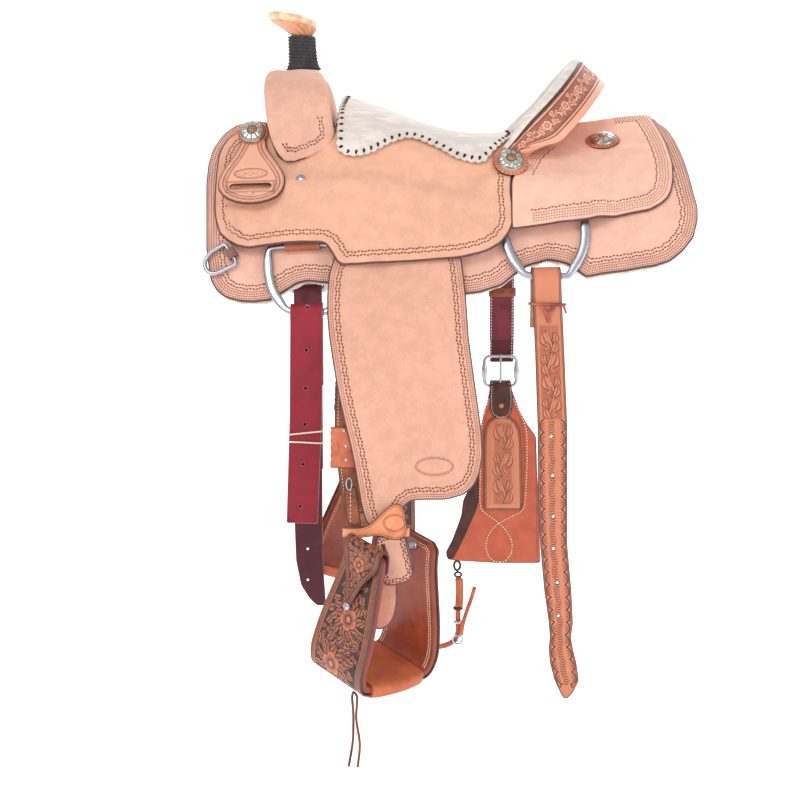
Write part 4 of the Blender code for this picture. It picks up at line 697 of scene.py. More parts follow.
def rows_at(poly, d, pitch):
    """Points at distance d inside an outline at an even pitch, in runs."""
    fine = resampled(poly, 0.0015)
    moved = fine + inward(fine) * d
    for _ in range(3):
        moved = (np.roll(moved, 1, 0) + 2 * moved + np.roll(moved, -1, 0)) / 4
    ok = (edge_distance(fine[::2], moved) > d * 0.93) & inside(fine, moved)
    if ok.all():
        runs = [np.vstack((moved, moved[:1]))]
    elif not ok.any():
        return []
    else:
        start = int(np.argmin(ok))
        moved, ok = np.roll(moved, -start, 0), np.roll(ok, -start)
        runs, now = [], []
        for p, good in zip(moved, ok):
            if good:
                now.append(p)
            elif now:
                runs.append(np.array(now))
                now = []
        if now:
            runs.append(np.array(now))
    out = []
    for run in runs:
        if len(run) < 3:
            continue
        length = np.concatenate(([0], np.cumsum(np.linalg.norm(np.diff(run, axis=0), axis=1))))
        n = int(length[-1] / pitch)
        if n < 2:
            continue
        at = (np.arange(n) + 0.5) * length[-1] / n
        p = np.stack([np.interp(at, length, run[:, k]) for k in (0, 1)], -1)
        q = np.stack([np.interp(np.minimum(at + 0.001, length[-1]), length, run[:, k]) for k in (0, 1)], -1)
        r = np.stack([np.interp(np.maximum(at - 0.001, 0), length, run[:, k]) for k in (0, 1)], -1)
        out.append((p, unit(q - r)))
    return out


def on_surface(surface, off, p, t):
    """3-D place, direction and outward normal of outline points and directions."""
    def f(q):
        o = off(q[:, 0], q[:, 1]) if callable(off) else np.full(len(q), float(off))
        return surface(q[:, 0], q[:, 1], o)

    h = 0.0008
    at = f(p)
    along = unit(f(p + t * h) - f(p - t * h))
    side_t = np.stack((-t[:, 1], t[:, 0]), -1)
    across = unit(f(p + side_t * h) - f(p - side_t * h))
    n = unit(np.cross(along, across))
    o = off(p[:, 0], p[:, 1]) if callable(off) else np.full(len(p), float(off))
    up = surface(p[:, 0], p[:, 1], o + 0.001) - at
    n = np.where(((n * up).sum(1) < 0)[:, None], -n, n)
    return at, along, n


def stitch_rows(solid, surface, off, poly, distances, pitch=0.0042, length=0.0032, width=0.0011, height=0.00030, mat=0, wave=0.0, keep=None, slant=0.0):
    """Rows of dashes that follow an outline."""
    for k, d in enumerate(distances):
        for p, t in rows_at(poly, d, pitch):
            n = np.stack((-t[:, 1], t[:, 0]), -1)
            if wave:
                i = np.arange(len(p))
                p = p + n * (wave * np.sin(i * 2.1 + k))[:, None]
                lean = 0.45 * np.cos(i * 2.1 + k)[:, None]
                t = unit(t + n * lean)
            if slant:
                t = unit(t * math.cos(slant) + n * math.sin(slant))
            if keep is not None:
                good = keep(p[:, 0], p[:, 1])
                p, t = p[good], t[good]
            if len(p):
                at, along, out = on_surface(surface, off, p, t)
                marks(solid, at, along, out, length, width, height, mat)
    return solid


def insides(outline, inner, holes=()):
    """Triangles of the outline's inside, less its holes. Points: outline, holes,
    inner points, in that order."""
    groups = [outline] + list(holes)
    pts = np.vstack(groups + ([inner] if len(inner) else []))
    n = len(outline)
    edges, start = [], n
    for hole in holes:
        m = len(hole)
        edges += [(start + i, start + (i + 1) % m) for i in range(m)]
        start += m
    _, _, tris, orig, _, _ = delaunay_2d_cdt([Vector(p) for p in pts.tolist()], edges, [list(range(n))], 1, 1e-8)
    back = {}
    for k, o in enumerate(orig):
        if o:
            back[k] = o[0]
    tris = [tuple(back[i] for i in t) for t in tris if all(i in back for i in t)]
    if holes:
        mid = np.array([pts[list(t)].mean(0) for t in tris])
        gone = np.zeros(len(tris), bool)
        for hole in holes:
            gone |= inside(hole, mid)
        tris = [t for t, g in zip(tris, gone) if not g]
    return pts, tris


def lattice(outline, step, margin, holes=()):
    lo, hi = outline.min(0), outline.max(0)
    gx = np.arange(lo[0] + step / 2, hi[0], step)
    gy = np.arange(lo[1] + step / 2, hi[1], step * 0.866)
    if not len(gx) or not len(gy):
        return np.zeros((0, 2))
    x, y = np.meshgrid(gx, gy)
    x = x + (np.arange(len(gy)) % 2)[:, None] * step / 2
    grid = np.stack((x.ravel(), y.ravel()), -1)
    coarse = outline[:: max(1, int(0.5 * step / 0.001))] if step > 0.004 else outline
    grid = grid[inside(outline, grid)]
    if len(grid):
        grid = grid[edge_distance(coarse, grid) > margin]
    for hole in holes:
        if len(grid):
            grid = grid[~inside(hole, grid) & (edge_distance(hole, grid) > margin)]
    return grid


def panel(name, surface, outline, lo, hi, mats, body, nodes=(), step=0.012, longest=0.004, radius=0.0016, relief=None, holes=(), slot=None, ease=1, bands=(), swell=None, under=True):
    """Leather panel between two offsets of a surface, with rounded edges.

    mats: face, edge and underside materials. relief(a, b) gives extra height on
    the face and a 0..1 value that its material reads. bands: extra rings of
    points at these distances inside the edge."""
    outline = softened(outline, longest, ease)
    if area(outline) < 0:
        outline = outline[::-1]
    holes = [h if area(h) > 0 else h[::-1] for h in (softened(np.asarray(h, float), longest, 0) for h in holes)]
    inn = inward(outline)

    def offs(f, q):
        return f(q[:, 0], q[:, 1]) if callable(f) else np.full(len(q), float(f))

    solid = Solid()
    top = outline + inn * radius
    tops = [h - inward(h) * radius * 0.6 for h in holes]
    extra = []
    for d in bands:
        ring = outline + inn * d
        ok = (edge_distance(outline, ring) > d * 0.96) & inside(outline, ring)
        extra.append(ring[ok])
    grid = lattice(top, step, max(step * 0.5, (max(bands) + 0.3 * step) if bands else 0), tops)
    inner = np.vstack(extra + [grid]) if extra or len(grid) else np.zeros((0, 2))
    if extra and len(inner):
        # thin out points that fall together
        keys = np.round(inner / 0.0006).astype(int)
        _, first = np.unique(keys, axis=0, return_index=True)
        inner = inner[np.sort(first)]
    pts, tris = insides(top, inner, tops)
    bd, bl = border(outline, pts)
    height = offs(hi, pts)
    extra_at = {}
    if relief is not None:
        rise, tone = relief(pts[:, 0], pts[:, 1])
        height = height + rise
        extra_at["tone"] = tone
    if swell is not None:
        height = height + swell(bd, pts)
    face = surface(pts[:, 0], pts[:, 1], height)
    n = len(top)
    # which way the faces turn
    a, b, c = (face[t[k]] for k, t in ((0, tris[0]), (1, tris[0]), (2, tris[0])))
    up = surface(pts[tris[0][0]][None, 0], pts[tris[0][0]][None, 1], offs(hi, pts[tris[0][0]][None]) + 0.01)[0] - a
    turned_round = np.cross(b - a, c - a) @ up < 0
    if turned_round:
        tris = [t[::-1] for t in tris]
    solid.add(face, tris, 0, bd=bd, bl=bl, **extra_at)
    # rounded rim: from the face, round the edge, to the underside
    for loop, ins, start in [(outline, inn, 0)] + [
        (h, -inward(h) * 0.6, n + sum(len(g) for g in tops[:k])) for k, h in enumerate(holes)
    ]:
        m = len(loop)
        o1, o0 = offs(hi, loop), offs(lo, loop)
        r = np.minimum(radius, (o1 - o0) * 0.48)
        rows = []
        for ang in (30, 60, 90):
            rad = math.radians(ang)
            rows.append(surface(*(loop + ins * (radius * (1 - math.sin(rad)))).T, o1 - r * (1 - math.cos(rad))))
        for ang in (90, 45, 0):
            rad = math.radians(ang)
            rows.append(surface(*(loop + ins * (radius * (1 - math.sin(rad)))).T, o0 + r * (1 - math.cos(rad))))
        first = face[start:start + m]
        verts = np.vstack([first] + rows)
        faces = grid_faces(len(rows) + 1, m, wrap_cols=True, flip=(loop is outline) != turned_round)
        run = np.concatenate(([0], np.cumsum(np.linalg.norm(np.diff(loop, axis=0), axis=1))))
        solid.add(verts, faces, 1, bd=-0.001, bl=np.tile(run, len(rows) + 1))
    if under:
        inner = lattice(top, max(step, 0.016), 0.006, tops)
        pts, tris = insides(top, inner, tops)
        down = surface(pts[:, 0], pts[:, 1], offs(lo, pts))
        a, b, c = (down[t[k]] for k, t in ((0, tris[0]), (1, tris[0]), (2, tris[0])))
        if np.cross(b - a, c - a) @ up > 0:
            tris = [t[::-1] for t in tris]
        solid.add(down, tris, 2)
    obj = solid.make(name, mats, body, nodes, slot)
    return obj, outline


def inset_line(poly, d):
    fine = resampled(np.asarray(poly, float), 0.003)
    moved = fine + inward(fine) * d
    ok = edge_distance(fine, moved) > d * 0.9
    return moved[ok]


# ================================================================ materials
class Shade:
    """Short hand for building a node material."""

    def __init__(self, name, rough=0.6, metal=0.0, **sockets):
        self.mat = bpy.data.materials.new(name)
        self.mat.use_nodes = True
        self.tree = self.mat.node_tree
        self.shader = self.tree.nodes["Principled BSDF"]
        self.set("Roughness", rough)
        self.set("Metallic", metal)
        for key, value in sockets.items():
            self.set(key.replace("_", " "), value)
        self.where = self.tree.nodes.new("ShaderNodeTexCoord").outputs["Object"]

    def set(self, socket, value):
        if isinstance(value, (int, float)):
            self.shader.inputs[socket].default_value = value
        elif isinstance(value, tuple):
            self.shader.inputs[socket].default_value = (*value, 1) if len(value) == 3 else value
        else:
            self.tree.links.new(value, self.shader.inputs[socket])

    def put(self, node, key, value):
        if value is None:
            return
        if hasattr(value, "links") or isinstance(value, bpy.types.NodeSocket):
            self.tree.links.new(value, node.inputs[key])
        elif isinstance(value, tuple) and len(value) == 3 and node.inputs[key].type == "RGBA":
            node.inputs[key].default_value = (*value, 1)
        else:
            node.inputs[key].default_value = value

    def noise(self, scale, detail=4, rough=0.55, stretch=None, distort=0.0):
        node = self.tree.nodes.new("ShaderNodeTexNoise")
        vec = self.where
        if stretch:
            m = self.tree.nodes.new("ShaderNodeMapping")
            m.inputs["Scale"].default_value = stretch
            self.tree.links.new(vec, m.inputs["Vector"])
            vec = m.outputs["Vector"]
        self.tree.links.new(vec, node.inputs["Vector"])
        node.inputs["Scale"].default_value = scale
        node.inputs["Detail"].default_value = detail
        node.inputs["Roughness"].default_value = rough
        node.inputs["Distortion"].default_value = distort
        return node.outputs["Fac"]

    def cells(self, scale, feature="F1", out="Distance", rand=1.0):
        node = self.tree.nodes.new("ShaderNodeTexVoronoi")
        node.feature = feature
        self.tree.links.new(self.where, node.inputs["Vector"])
        node.inputs["Scale"].default_value = scale
        node.inputs["Randomness"].default_value = rand
        return node.outputs[out]

    def attr(self, name):
        node = self.tree.nodes.new("ShaderNodeAttribute")
        node.attribute_name = name
        return node.outputs["Fac"]

    def math(self, op, a, b=None, c=None, clamp=False):
        node = self.tree.nodes.new("ShaderNodeMath")
        node.operation = op
        node.use_clamp = clamp
        for k, v in enumerate((a, b, c)):
            self.put(node, k, v)
        return node.outputs[0]

    def span(self, x, a, b, lo=0.0, hi=1.0, smooth=True):
        node = self.tree.nodes.new("ShaderNodeMapRange")
        node.interpolation_type = "SMOOTHSTEP" if smooth else "LINEAR"
        self.put(node, "Value", x)
        for key, v in (("From Min", a), ("From Max", b), ("To Min", lo), ("To Max", hi)):
            node.inputs[key].default_value = v
        return node.outputs["Result"]

    def ramp(self, x, stops):
        node = self.tree.nodes.new("ShaderNodeValToRGB")
        self.put(node, "Fac", x)
        el = node.color_ramp.elements
        while len(el) > 1:
            el.remove(el[-1])
        el[0].position, el[0].color = stops[0][0], (*stops[0][1], 1)
        for at, col in stops[1:]:
            e = el.new(at)
            e.color = (*col, 1)
        return node.outputs["Color"]

    def mix(self, fac, a, b, mode="MIX"):
        node = self.tree.nodes.new("ShaderNodeMix")
        node.data_type = "RGBA"
        node.blend_type = mode
        node.clamp_factor = True
        for k, v in ((0, fac), (6, a), (7, b)):
            if isinstance(v, tuple):
                node.inputs[k].default_value = (*v, 1)
            elif isinstance(v, (int, float)):
                node.inputs[k].default_value = v
            else:
                self.tree.links.new(v, node.inputs[k])
        return node.outputs[2]

    def bump(self, *layers):
        """Each layer: (height, strength, distance)."""
        normal = None
        for height, strength, distance in layers:
            node = self.tree.nodes.new("ShaderNodeBump")
            node.inputs["Strength"].default_value = strength
            node.inputs["Distance"].default_value = distance
            self.tree.links.new(height, node.inputs["Height"])
            if normal is not None:
                self.tree.links.new(normal, node.inputs["Normal"])
            normal = node.outputs["Normal"]
        self.tree.links.new(normal, self.shader.inputs["Normal"])
        return self


def srgb(r, g, b):
    def lin(c):
        c /= 255
        return c / 12.92 if c <= 0.04045 else ((c + 0.055) / 1.055) ** 2.4
    return (lin(r), lin(g), lin(b))


def scaled(c, k):
    return tuple(min(1.0, x * k) for x in c)


def roughout_material(name, base, stain=None):
    s = Shade(name, rough=0.88, Sheen_Weight=0.18, Sheen_Roughness=0.5)
    cloud = s.noise(5.0, 3, 0.5)
    mottle = s.noise(46.0, 6, 0.68)
    nap = s.noise(620.0, 5, 0.75)
    streak = s.noise(30.0, 5, 0.7, stretch=(1.0, 1.0, 5.0))
    grain = s.noise(210.0, 4, 0.7)
    a = s.mix(s.span(cloud, 0.35, 0.65), scaled(base, 0.93), scaled(base, 1.03))
    b = s.mix(s.span(mottle, 0.36, 0.66), scaled(base, 0.86), scaled(base, 1.08))
    c = s.mix(0.55, a, b)
    c = s.mix(s.span(nap, 0.30, 0.70), scaled((1, 1, 1), 0.84), scaled((1, 1, 1), 1.0), "MIX")
    col = s.mix(1.0, s.mix(0.55, a, b), c, "MULTIPLY")
    col = s.mix(s.math("MULTIPLY", s.span(streak, 0.58, 0.80), 0.30), col, scaled(base, 0.72))
    col = s.mix(s.math("MULTIPLY", s.span(grain, 0.60, 0.78), 0.38), col, scaled(base, 0.70))
    bd = s.attr("bd")
    near_edge = s.span(bd, 0.0005, 0.0040, 0.42, 0.0)
    col = s.mix(near_edge, col, srgb(150, 96, 78))
    col = s.mix(s.span(bd, 0.0016, 0.0031, 0.80, 0.0), col, srgb(112, 70, 72))
    if stain:
        col = stain(s, col)
    s.set("Base Color", col)
    s.bump((mottle, 0.10, 0.0012), (grain, 0.22, 0.0006), (nap, 0.30, 0.0004))
    return s.mat


PEACH = srgb(245, 191, 170)
ROUGHOUT = roughout_material("roughout", PEACH)
JOCKEY_MAT = roughout_material("roughout_seat", srgb(236, 179, 151))
REAR_MAT = roughout_material("roughout_rear", srgb(249, 196, 172))
FENDER_MAT = roughout_material("roughout_fender", srgb(229, 172, 148))
FORK_MAT = roughout_material("roughout_fork", srgb(228, 174, 152))


def plain_leather(name, base, dark, rough=0.46, scale=1.0, coat=0.04, spots=0.35, edge=True, sheen=0.0):
    s = Shade(name, rough=rough, Coat_Weight=coat, Coat_Roughness=0.3, Sheen_Weight=sheen)
    s.set("Specular IOR Level", 0.30)
    mottle = s.noise(38.0 * scale, 6, 0.62)
    fine = s.noise(420.0 * scale, 4, 0.6)
    pores = s.cells(900.0 * scale)
    col = s.mix(s.span(mottle, 0.34, 0.68), dark, base)
    col = s.mix(s.math("MULTIPLY", s.span(fine, 0.52, 0.72), spots), col, dark)
    if edge:
        bd = s.attr("bd")
        col = s.mix(s.span(bd, 0.0004, 0.0034, 0.60, 0.0), col, scaled(dark, 0.45))
    s.set("Base Color", col)
    s.set("Roughness", s.span(mottle, 0.3, 0.7, rough - 0.08, rough + 0.12))
    s.bump((mottle, 0.08, 0.001), (pores, 0.16, 0.0003), (fine, 0.12, 0.0003))
    return s.mat


def fibre_edge(name, base, dark, rough=0.6):
    """Burnished cut edge of leather, with its layers of fibre."""
    s = Shade(name, rough=rough)
    fibre = s.noise(260.0, 5, 0.7, stretch=(1.0, 1.0, 3.0))
    blot = s.noise(35.0, 4, 0.6)
    col = s.mix(s.span(fibre, 0.35, 0.68), dark, base)
    col = s.mix(s.math("MULTIPLY", s.span(blot, 0.55, 0.75), 0.5), col, scaled(base, 1.5))
    s.set("Base Color", col)
    s.bump((fibre, 0.35, 0.0005))
    return s.mat


EDGE = fibre_edge("edge_paint", srgb(104, 66, 72), srgb(70, 42, 48), 0.55)
EDGE_RAW = fibre_edge("edge_raw", srgb(178, 120, 96), srgb(122, 78, 64), 0.8)
EDGE_BROWN = fibre_edge("edge_brown", srgb(96, 52, 34), srgb(58, 30, 22), 0.5)
EDGE_PINK = fibre_edge("edge_latigo", srgb(206, 128, 128), srgb(150, 74, 80), 0.7)
FLESH = plain_leather("flesh_side", srgb(214, 166, 130), srgb(176, 124, 92), rough=0.85, coat=0.0, spots=0.5, edge=False, sheen=0.15)
DASH = fibre_edge("tooled_dash", srgb(142, 76, 60), srgb(104, 50, 42), 0.75)
SLEEVE = plain_leather("sleeve_harness", srgb(206, 118, 84), srgb(170, 88, 60), rough=0.46)
HARNESS = plain_leather("harness", srgb(222, 140, 104), srgb(190, 106, 74), rough=0.46)
HARNESS_DARK = plain_leather("harness_dark", srgb(160, 92, 62), srgb(112, 60, 42), rough=0.48)
STIRRUP_IN = plain_leather("stirrup_lining", srgb(176, 84, 52), srgb(148, 66, 42), rough=0.38, coat=0.15)
TREAD_MAT = plain_leather("tread", srgb(246, 140, 98), srgb(214, 108, 72), rough=0.55, coat=0.03, spots=0.3)
BURGUNDY = plain_leather("latigo_leather", srgb(146, 34, 50), srgb(116, 24, 38), rough=0.52, coat=0.02, spots=0.25)
BURGUNDY_DARK = plain_leather("latigo_leather_dark", srgb(84, 28, 38), srgb(56, 18, 28), rough=0.5, coat=0.1, spots=0.3)
DARK = plain_leather("dark_leather", srgb(78, 42, 32), srgb(44, 24, 20), rough=0.5)
CHAFE = plain_leather("chafe_leather", srgb(92, 52, 44), srgb(60, 34, 30), rough=0.6, coat=0.05)
THREAD = fibre_edge("thread", srgb(244, 236, 220), srgb(212, 198, 174), 0.8)
TWINE = fibre_edge("twine", srgb(226, 190, 176), srgb(180, 132, 120), 0.8)
LACE = plain_leather("lace", srgb(132, 78, 58), srgb(84, 46, 36), rough=0.6, edge=False)
KNOT = plain_leather("knot_lace", srgb(186, 104, 88), srgb(132, 66, 58), rough=0.6, edge=False)
LACE_BLACK = plain_leather("lace_dark", srgb(72, 40, 30), srgb(40, 22, 18), rough=0.6, edge=False)
# near-black disks behind the latigo's holes: painted shade seen through the holes
HOLE_SHADE = plain_leather("hole", srgb(30, 16, 16), srgb(16, 8, 8), rough=0.8, edge=False)
ROSETTE = plain_leather("rosette", srgb(226, 138, 104), srgb(176, 92, 66), rough=0.5, edge=False)


def tooled_material(name, high, mid, low, deep, edge=True):
    """Carved leather: dark antique finish in the cuts, worn tan on the raised work."""
    s = Shade(name, rough=0.40, Coat_Weight=0.18, Coat_Roughness=0.28)
    tone = s.attr("tone")
    blot = s.noise(60.0, 5, 0.65)
    fine = s.noise(700.0, 4, 0.6)
    t = s.math("ADD", tone, s.math("MULTIPLY", s.math("SUBTRACT", blot, 0.5), 0.22))
    t = s.math("ADD", t, s.math("MULTIPLY", s.math("SUBTRACT", fine, 0.5), 0.10), clamp=True)
    col = s.ramp(t, [(0.0, deep), (0.28, low), (0.55, mid), (0.88, high)])
    bd = s.attr("bd")
    if edge:
        col = s.mix(s.span(bd, 0.0006, 0.0060, 0.45, 0.0), col, scaled(mid, 0.55))
        col = s.mix(s.span(bd, 0.0008, 0.0026, 0.85, 0.0), col, srgb(84, 48, 50))
    s.set("Base Color", col)
    s.set("Roughness", s.span(tone, 0.1, 0.8, 0.62, 0.36))
    s.bump((blot, 0.06, 0.001), (fine, 0.18, 0.0003))
    return s.mat


TOOLED = tooled_material("tooled", srgb(214, 128, 76), srgb(180, 96, 54), srgb(110, 54, 32), srgb(38, 20, 16))
TOOLED_CANTLE = tooled_material("tooled_cantle", srgb(240, 176, 148), srgb(212, 142, 114), srgb(150, 90, 70), srgb(74, 44, 38), edge=False)
TOOLED_BILLET = tooled_material("tooled_billet", srgb(206, 126, 92), srgb(176, 98, 68), srgb(104, 54, 40), srgb(54, 30, 28))
TOOLED_KEEPER = tooled_material("tooled_keeper", srgb(240, 186, 158), srgb(224, 160, 132), srgb(156, 94, 76), srgb(84, 50, 46))
TOOLED_STIRRUP = tooled_material("tooled_stirrup", srgb(196, 112, 78), srgb(142, 76, 52), srgb(78, 40, 32), srgb(32, 18, 18))


def suede_material(name, base):
    s = Shade(name, rough=0.92, Sheen_Weight=0.25, Sheen_Roughness=0.45)
    cloud = s.noise(9.0, 4, 0.6)
    brushed = s.noise(34.0, 6, 0.72, stretch=(1.0, 2.2, 2.2), distort=0.4)
    nap = s.noise(760.0, 4, 0.7)
    col = s.mix(s.span(cloud, 0.32, 0.68), scaled(base, 0.90), scaled(base, 1.05))
    col = s.mix(s.span(brushed, 0.40, 0.66), scaled(base, 0.80), col)
    col = s.mix(s.math("MULTIPLY", s.span(nap, 0.50, 0.75), 0.35), col, scaled(base, 0.74))
    s.set("Base Color", col)
    s.bump((brushed, 0.10, 0.001), (nap, 0.30, 0.0004))
    return s.mat


SUEDE = suede_material("suede", srgb(231, 220, 213))
SUEDE_EDGE = fibre_edge("suede_edge", srgb(206, 190, 168), srgb(168, 148, 126), 0.9)


def wool_material():
    s = Shade("wool", rough=0.95, Sheen_Weight=0.6, Sheen_Roughness=0.5)
    tuft = s.noise(70.0, 6, 0.7)
    hair = s.noise(340.0, 5, 0.75, stretch=(1.0, 1.0, 0.5))
    base = srgb(222, 206, 180)
    col = s.mix(s.span(tuft, 0.35, 0.68), scaled(base, 0.72), scaled(base, 1.06))
    col = s.mix(s.math("MULTIPLY", s.span(hair, 0.5, 0.75), 0.4), col, scaled(base, 0.66))
    s.set("Base Color", col)
    s.bump((tuft, 0.5, 0.003), (hair, 0.6, 0.001))
    return s.mat


WOOL = wool_material()


def steel_material(name, base, rough, scratch=0.25):
    s = Shade(name, rough=rough, metal=1.0)
    brushed = s.noise(160.0, 5, 0.7, stretch=(1.0, 1.0, 0.15))
    smear = s.noise(22.0, 4, 0.6)
    s.set("Base Color", s.mix(s.span(smear, 0.35, 0.7), scaled(base, 0.90), base))
    s.set("Roughness", s.span(brushed, 0.35, 0.7, rough - 0.06, rough + 0.10))
    s.bump((brushed, scratch * 0.2, 0.0003))
    return s.mat


STEEL = steel_material("stainless", srgb(178, 181, 188), 0.30)
CHROME = steel_material("bright_steel", srgb(186, 188, 194), 0.22)
IRON = steel_material("cast_iron", srgb(70, 70, 72), 0.6)


def silver_material():
    s = Shade("engraved_silver", rough=0.28, metal=1.0)
    tone = s.attr("tone")
    smear = s.noise(90.0, 5, 0.7)
    t = s.math("ADD", tone, s.math("MULTIPLY", s.math("SUBTRACT", smear, 0.5), 0.25), clamp=True)
    s.set("Base Color", s.ramp(t, [(0.0, srgb(46, 40, 36)), (0.35, srgb(126, 116, 102)), (0.7, srgb(176, 172, 164)), (1.0, srgb(206, 202, 194))]))
    s.set("Roughness", s.span(tone, 0.0, 0.8, 0.6, 0.22))
    s.bump((smear, 0.08, 0.0004))
    return s.mat


SILVER = silver_material()
COPPER = steel_material("copper", srgb(196, 128, 84), 0.32)


def rawhide_material(name, base, dark):
    s = Shade(name, rough=0.5, Coat_Weight=0.25, Coat_Roughness=0.3)
    crease = s.noise(26.0, 6, 0.7, distort=0.6)
    fine = s.noise(300.0, 4, 0.65)
    col = s.mix(s.span(crease, 0.35, 0.62), dark, base)
    col = s.mix(s.math("MULTIPLY", s.span(fine, 0.55, 0.75), 0.4), col, dark)
    s.set("Base Color", col)
    s.bump((crease, 0.3, 0.0016), (fine, 0.15, 0.0004))
    return s.mat


RAWHIDE = rawhide_material("rawhide", srgb(240, 218, 184), srgb(206, 160, 118))
CONE = rawhide_material("horn_leather", srgb(232, 170, 128), srgb(196, 122, 84))


def rubber_material():
    s = Shade("rubber_wrap", rough=0.68)
    weave = s.noise(420.0, 4, 0.7)
    dust = s.noise(40.0, 5, 0.6)
    col = s.mix(s.span(dust, 0.4, 0.7), srgb(44, 42, 46), srgb(68, 66, 70))
    col = s.mix(s.math("MULTIPLY", s.span(weave, 0.5, 0.75), 0.5), col, srgb(92, 90, 94))
    s.set("Base Color", col)
    s.bump((weave, 0.4, 0.0004))
    return s.mat


RUBBER = rubber_material()


def wood_material():
    s = Shade("tree_wood", rough=0.6)
    ring = s.noise(30.0, 5, 0.6, stretch=(0.3, 1.0, 1.0))
    s.set("Base Color", s.mix(s.span(ring, 0.35, 0.65), srgb(150, 108, 66), srgb(198, 156, 104)))
    s.bump((ring, 0.2, 0.0006))
    return s.mat


WOOD = wood_material()


# ================================================================ shared shapes
# Fork: stations from the centre line down the near leg.
FORK = np.array(
    [
        #  yo     zo     yi     zi     front   rear
        (0.000, 0.1415, 0.000, 0.094, -0.262, -0.205),
        (0.034, 0.1395, 0.024, 0.092, -0.266, -0.203),
        (0.066, 0.134, 0.042, 0.086, -0.271, -0.198),
        (0.096, 0.126, 0.054, 0.077, -0.2765, -0.193),
        (0.122, 0.112, 0.062, 0.067, -0.2805, -0.1885),
        (0.139, 0.094, 0.067, 0.057, -0.2812, -0.1850),
        (0.1465, 0.074, 0.071, 0.050, -0.2795, -0.1825),
        (0.1470, 0.051, 0.075, 0.045, -0.2765, -0.1795),
        (0.1460, 0.032, 0.083, 0.040, -0.2725, -0.1778),
        (0.1460, 0.018, 0.097, 0.036, -0.2675, -0.1870),
        (0.1470, 0.007, 0.116, 0.029, -0.2620, -0.2050),
        (0.1480, -0.003, 0.134, 0.015, -0.2540, -0.2330),
    ]
)
LEG = 9  # stations of the tree fork itself, inside its cover


def fork_loop(row, sign, inset):
    yo, zo, yi, zi, xf, xr = row
    d = np.array((yo - yi, zo - zi))
    length = np.linalg.norm(d)
    d /= length
    xf, xr = xf + inset, xr - inset
    top = length - inset
    c = min(0.011, (xr - xf) * 0.3)
    pts = [(xf, 0.0), (xf, top - c), (xf + 0.3 * c, top - 0.3 * c), (xf + c, top)]
    pts += [(xr - c, top), (xr - 0.3 * c, top - 0.3 * c), (xr, top - c), (xr, 0.0)]
    return np.array([(x, sign * (yi + d[0] * r), zi + d[1] * r) for x, r in pts])


def fork_loops(inset, count):
    near = [fork_loop(row, -1, inset) for row in FORK[:count]]
    off = [fork_loop(row, 1, inset) for row in FORK[:count]]
    return near[::-1] + off[1:]


# Horn: centre line, radius and tilt of each station.
HORN = [
    (-0.2310, 0.1430, 0.0195, 0),
    (-0.2315, 0.1480, 0.0150, 0),
    (-0.2325, 0.1700, 0.0140, 0),
    (-0.2335, 0.1935, 0.0150, 2),
    (-0.2370, 0.2000, 0.0210, 4),
    (-0.2430, 0.2075, 0.0300, 7),
    (-0.2475, 0.2130, 0.0355, 9),
    (-0.2485, 0.2185, 0.0385, 9),
    (-0.2493, 0.2240, 0.0365, 9),
    (-0.2498, 0.2272, 0.0290, 9),
    (-0.2500, 0.2285, 0.0150, 9),
]


def horn_loop(x, z, r, tilt, sides=18):
    ang = np.arange(sides) * 2 * math.pi / sides
    c, s = math.cos(RAD(tilt)), math.sin(RAD(tilt))
    return np.stack(
        (x + r * np.cos(ang) * c, r * np.sin(ang), z - r * np.cos(ang) * s), -1
    )


JOCKEY_PX = [
    (338, 112), (338, 128), (336, 139), (324, 149), (309, 160), (294, 165), (284, 165), (276, 160),
    (271.5, 148), (266.5, 134), (263, 121), (256, 121.5), (245, 125), (238, 131), (228, 138), (222, 146), (218, 156), (216, 171),
    (214.5, 189), (214, 207), (215, 219), (219, 233), (228, 241), (237, 246), (248, 248),
    (261, 246), (276, 244), (302, 242), (320, 242), (326, 244), (332, 253), (337, 262),
    (343, 265), (360, 264), (385, 262.5), (412, 261), (437, 259), (462, 257), (480, 253),
    (489, 250), (501, 243), (509, 233), (513, 224), (513, 209), (511, 191), (512, 177),
    (511, 160),
]


def jockey_top(x, s):
    return jockey_off(x, s) + JOCKEY_T


edge = find(side, JOCKEY_PX, jockey_top)
half = np.vstack(([(-0.1745, 0.0), (-0.1745, -0.045)], edge, [(0.1000, -0.126), (0.107, -0.09), (0.112, -0.05), (0.113, 0.0)]))
outline = np.vstack((half[:-1], (half * (1, -1))[::-1][:-1]))
jockey_outline = outline

INLAY_PX = [
    (338, 117), (337.5, 136), (336, 148), (345, 155), (354, 156), (363, 155), (375, 151),
    (389, 143), (407, 137), (417, 138), (431, 144), (442, 149), (453, 156), (464, 160),
    (476, 162.5), (485, 161.5),
]


def inlay_in(x, s):
    return jockey_top(x, s) + 0.0037


def inlay_out(x, s):
    return jockey_top(x, s) + 0.0057


edge = find(side, INLAY_PX, inlay_out)
half = np.vstack(([(-0.172, 0.0), (-0.172, -0.035)], edge, [(0.070, -0.129), (0.084, -0.105), (0.0905, -0.078), (0.0945, -0.042), (0.0955, 0.0)]))
outline = np.vstack((half[:-1], (half * (1, -1))[::-1][:-1]))
inlay_outline = outline


def rear_top(x, s):
    return rear_off(x, s) + 0.0045


def deck(x, s):
    """Top of whatever lies under the cantle: seat leather, then rear jockey."""
    x = np.asarray(x, float)
    seat_edge = np.interp(np.abs(s), (0.0, 0.05, 0.09, 0.126, 0.15), (0.114, 0.113, 0.108, 0.101, 0.098))
    return np.where(x < seat_edge, jockey_top(x, s), rear_top(x, s)) + 0.0011


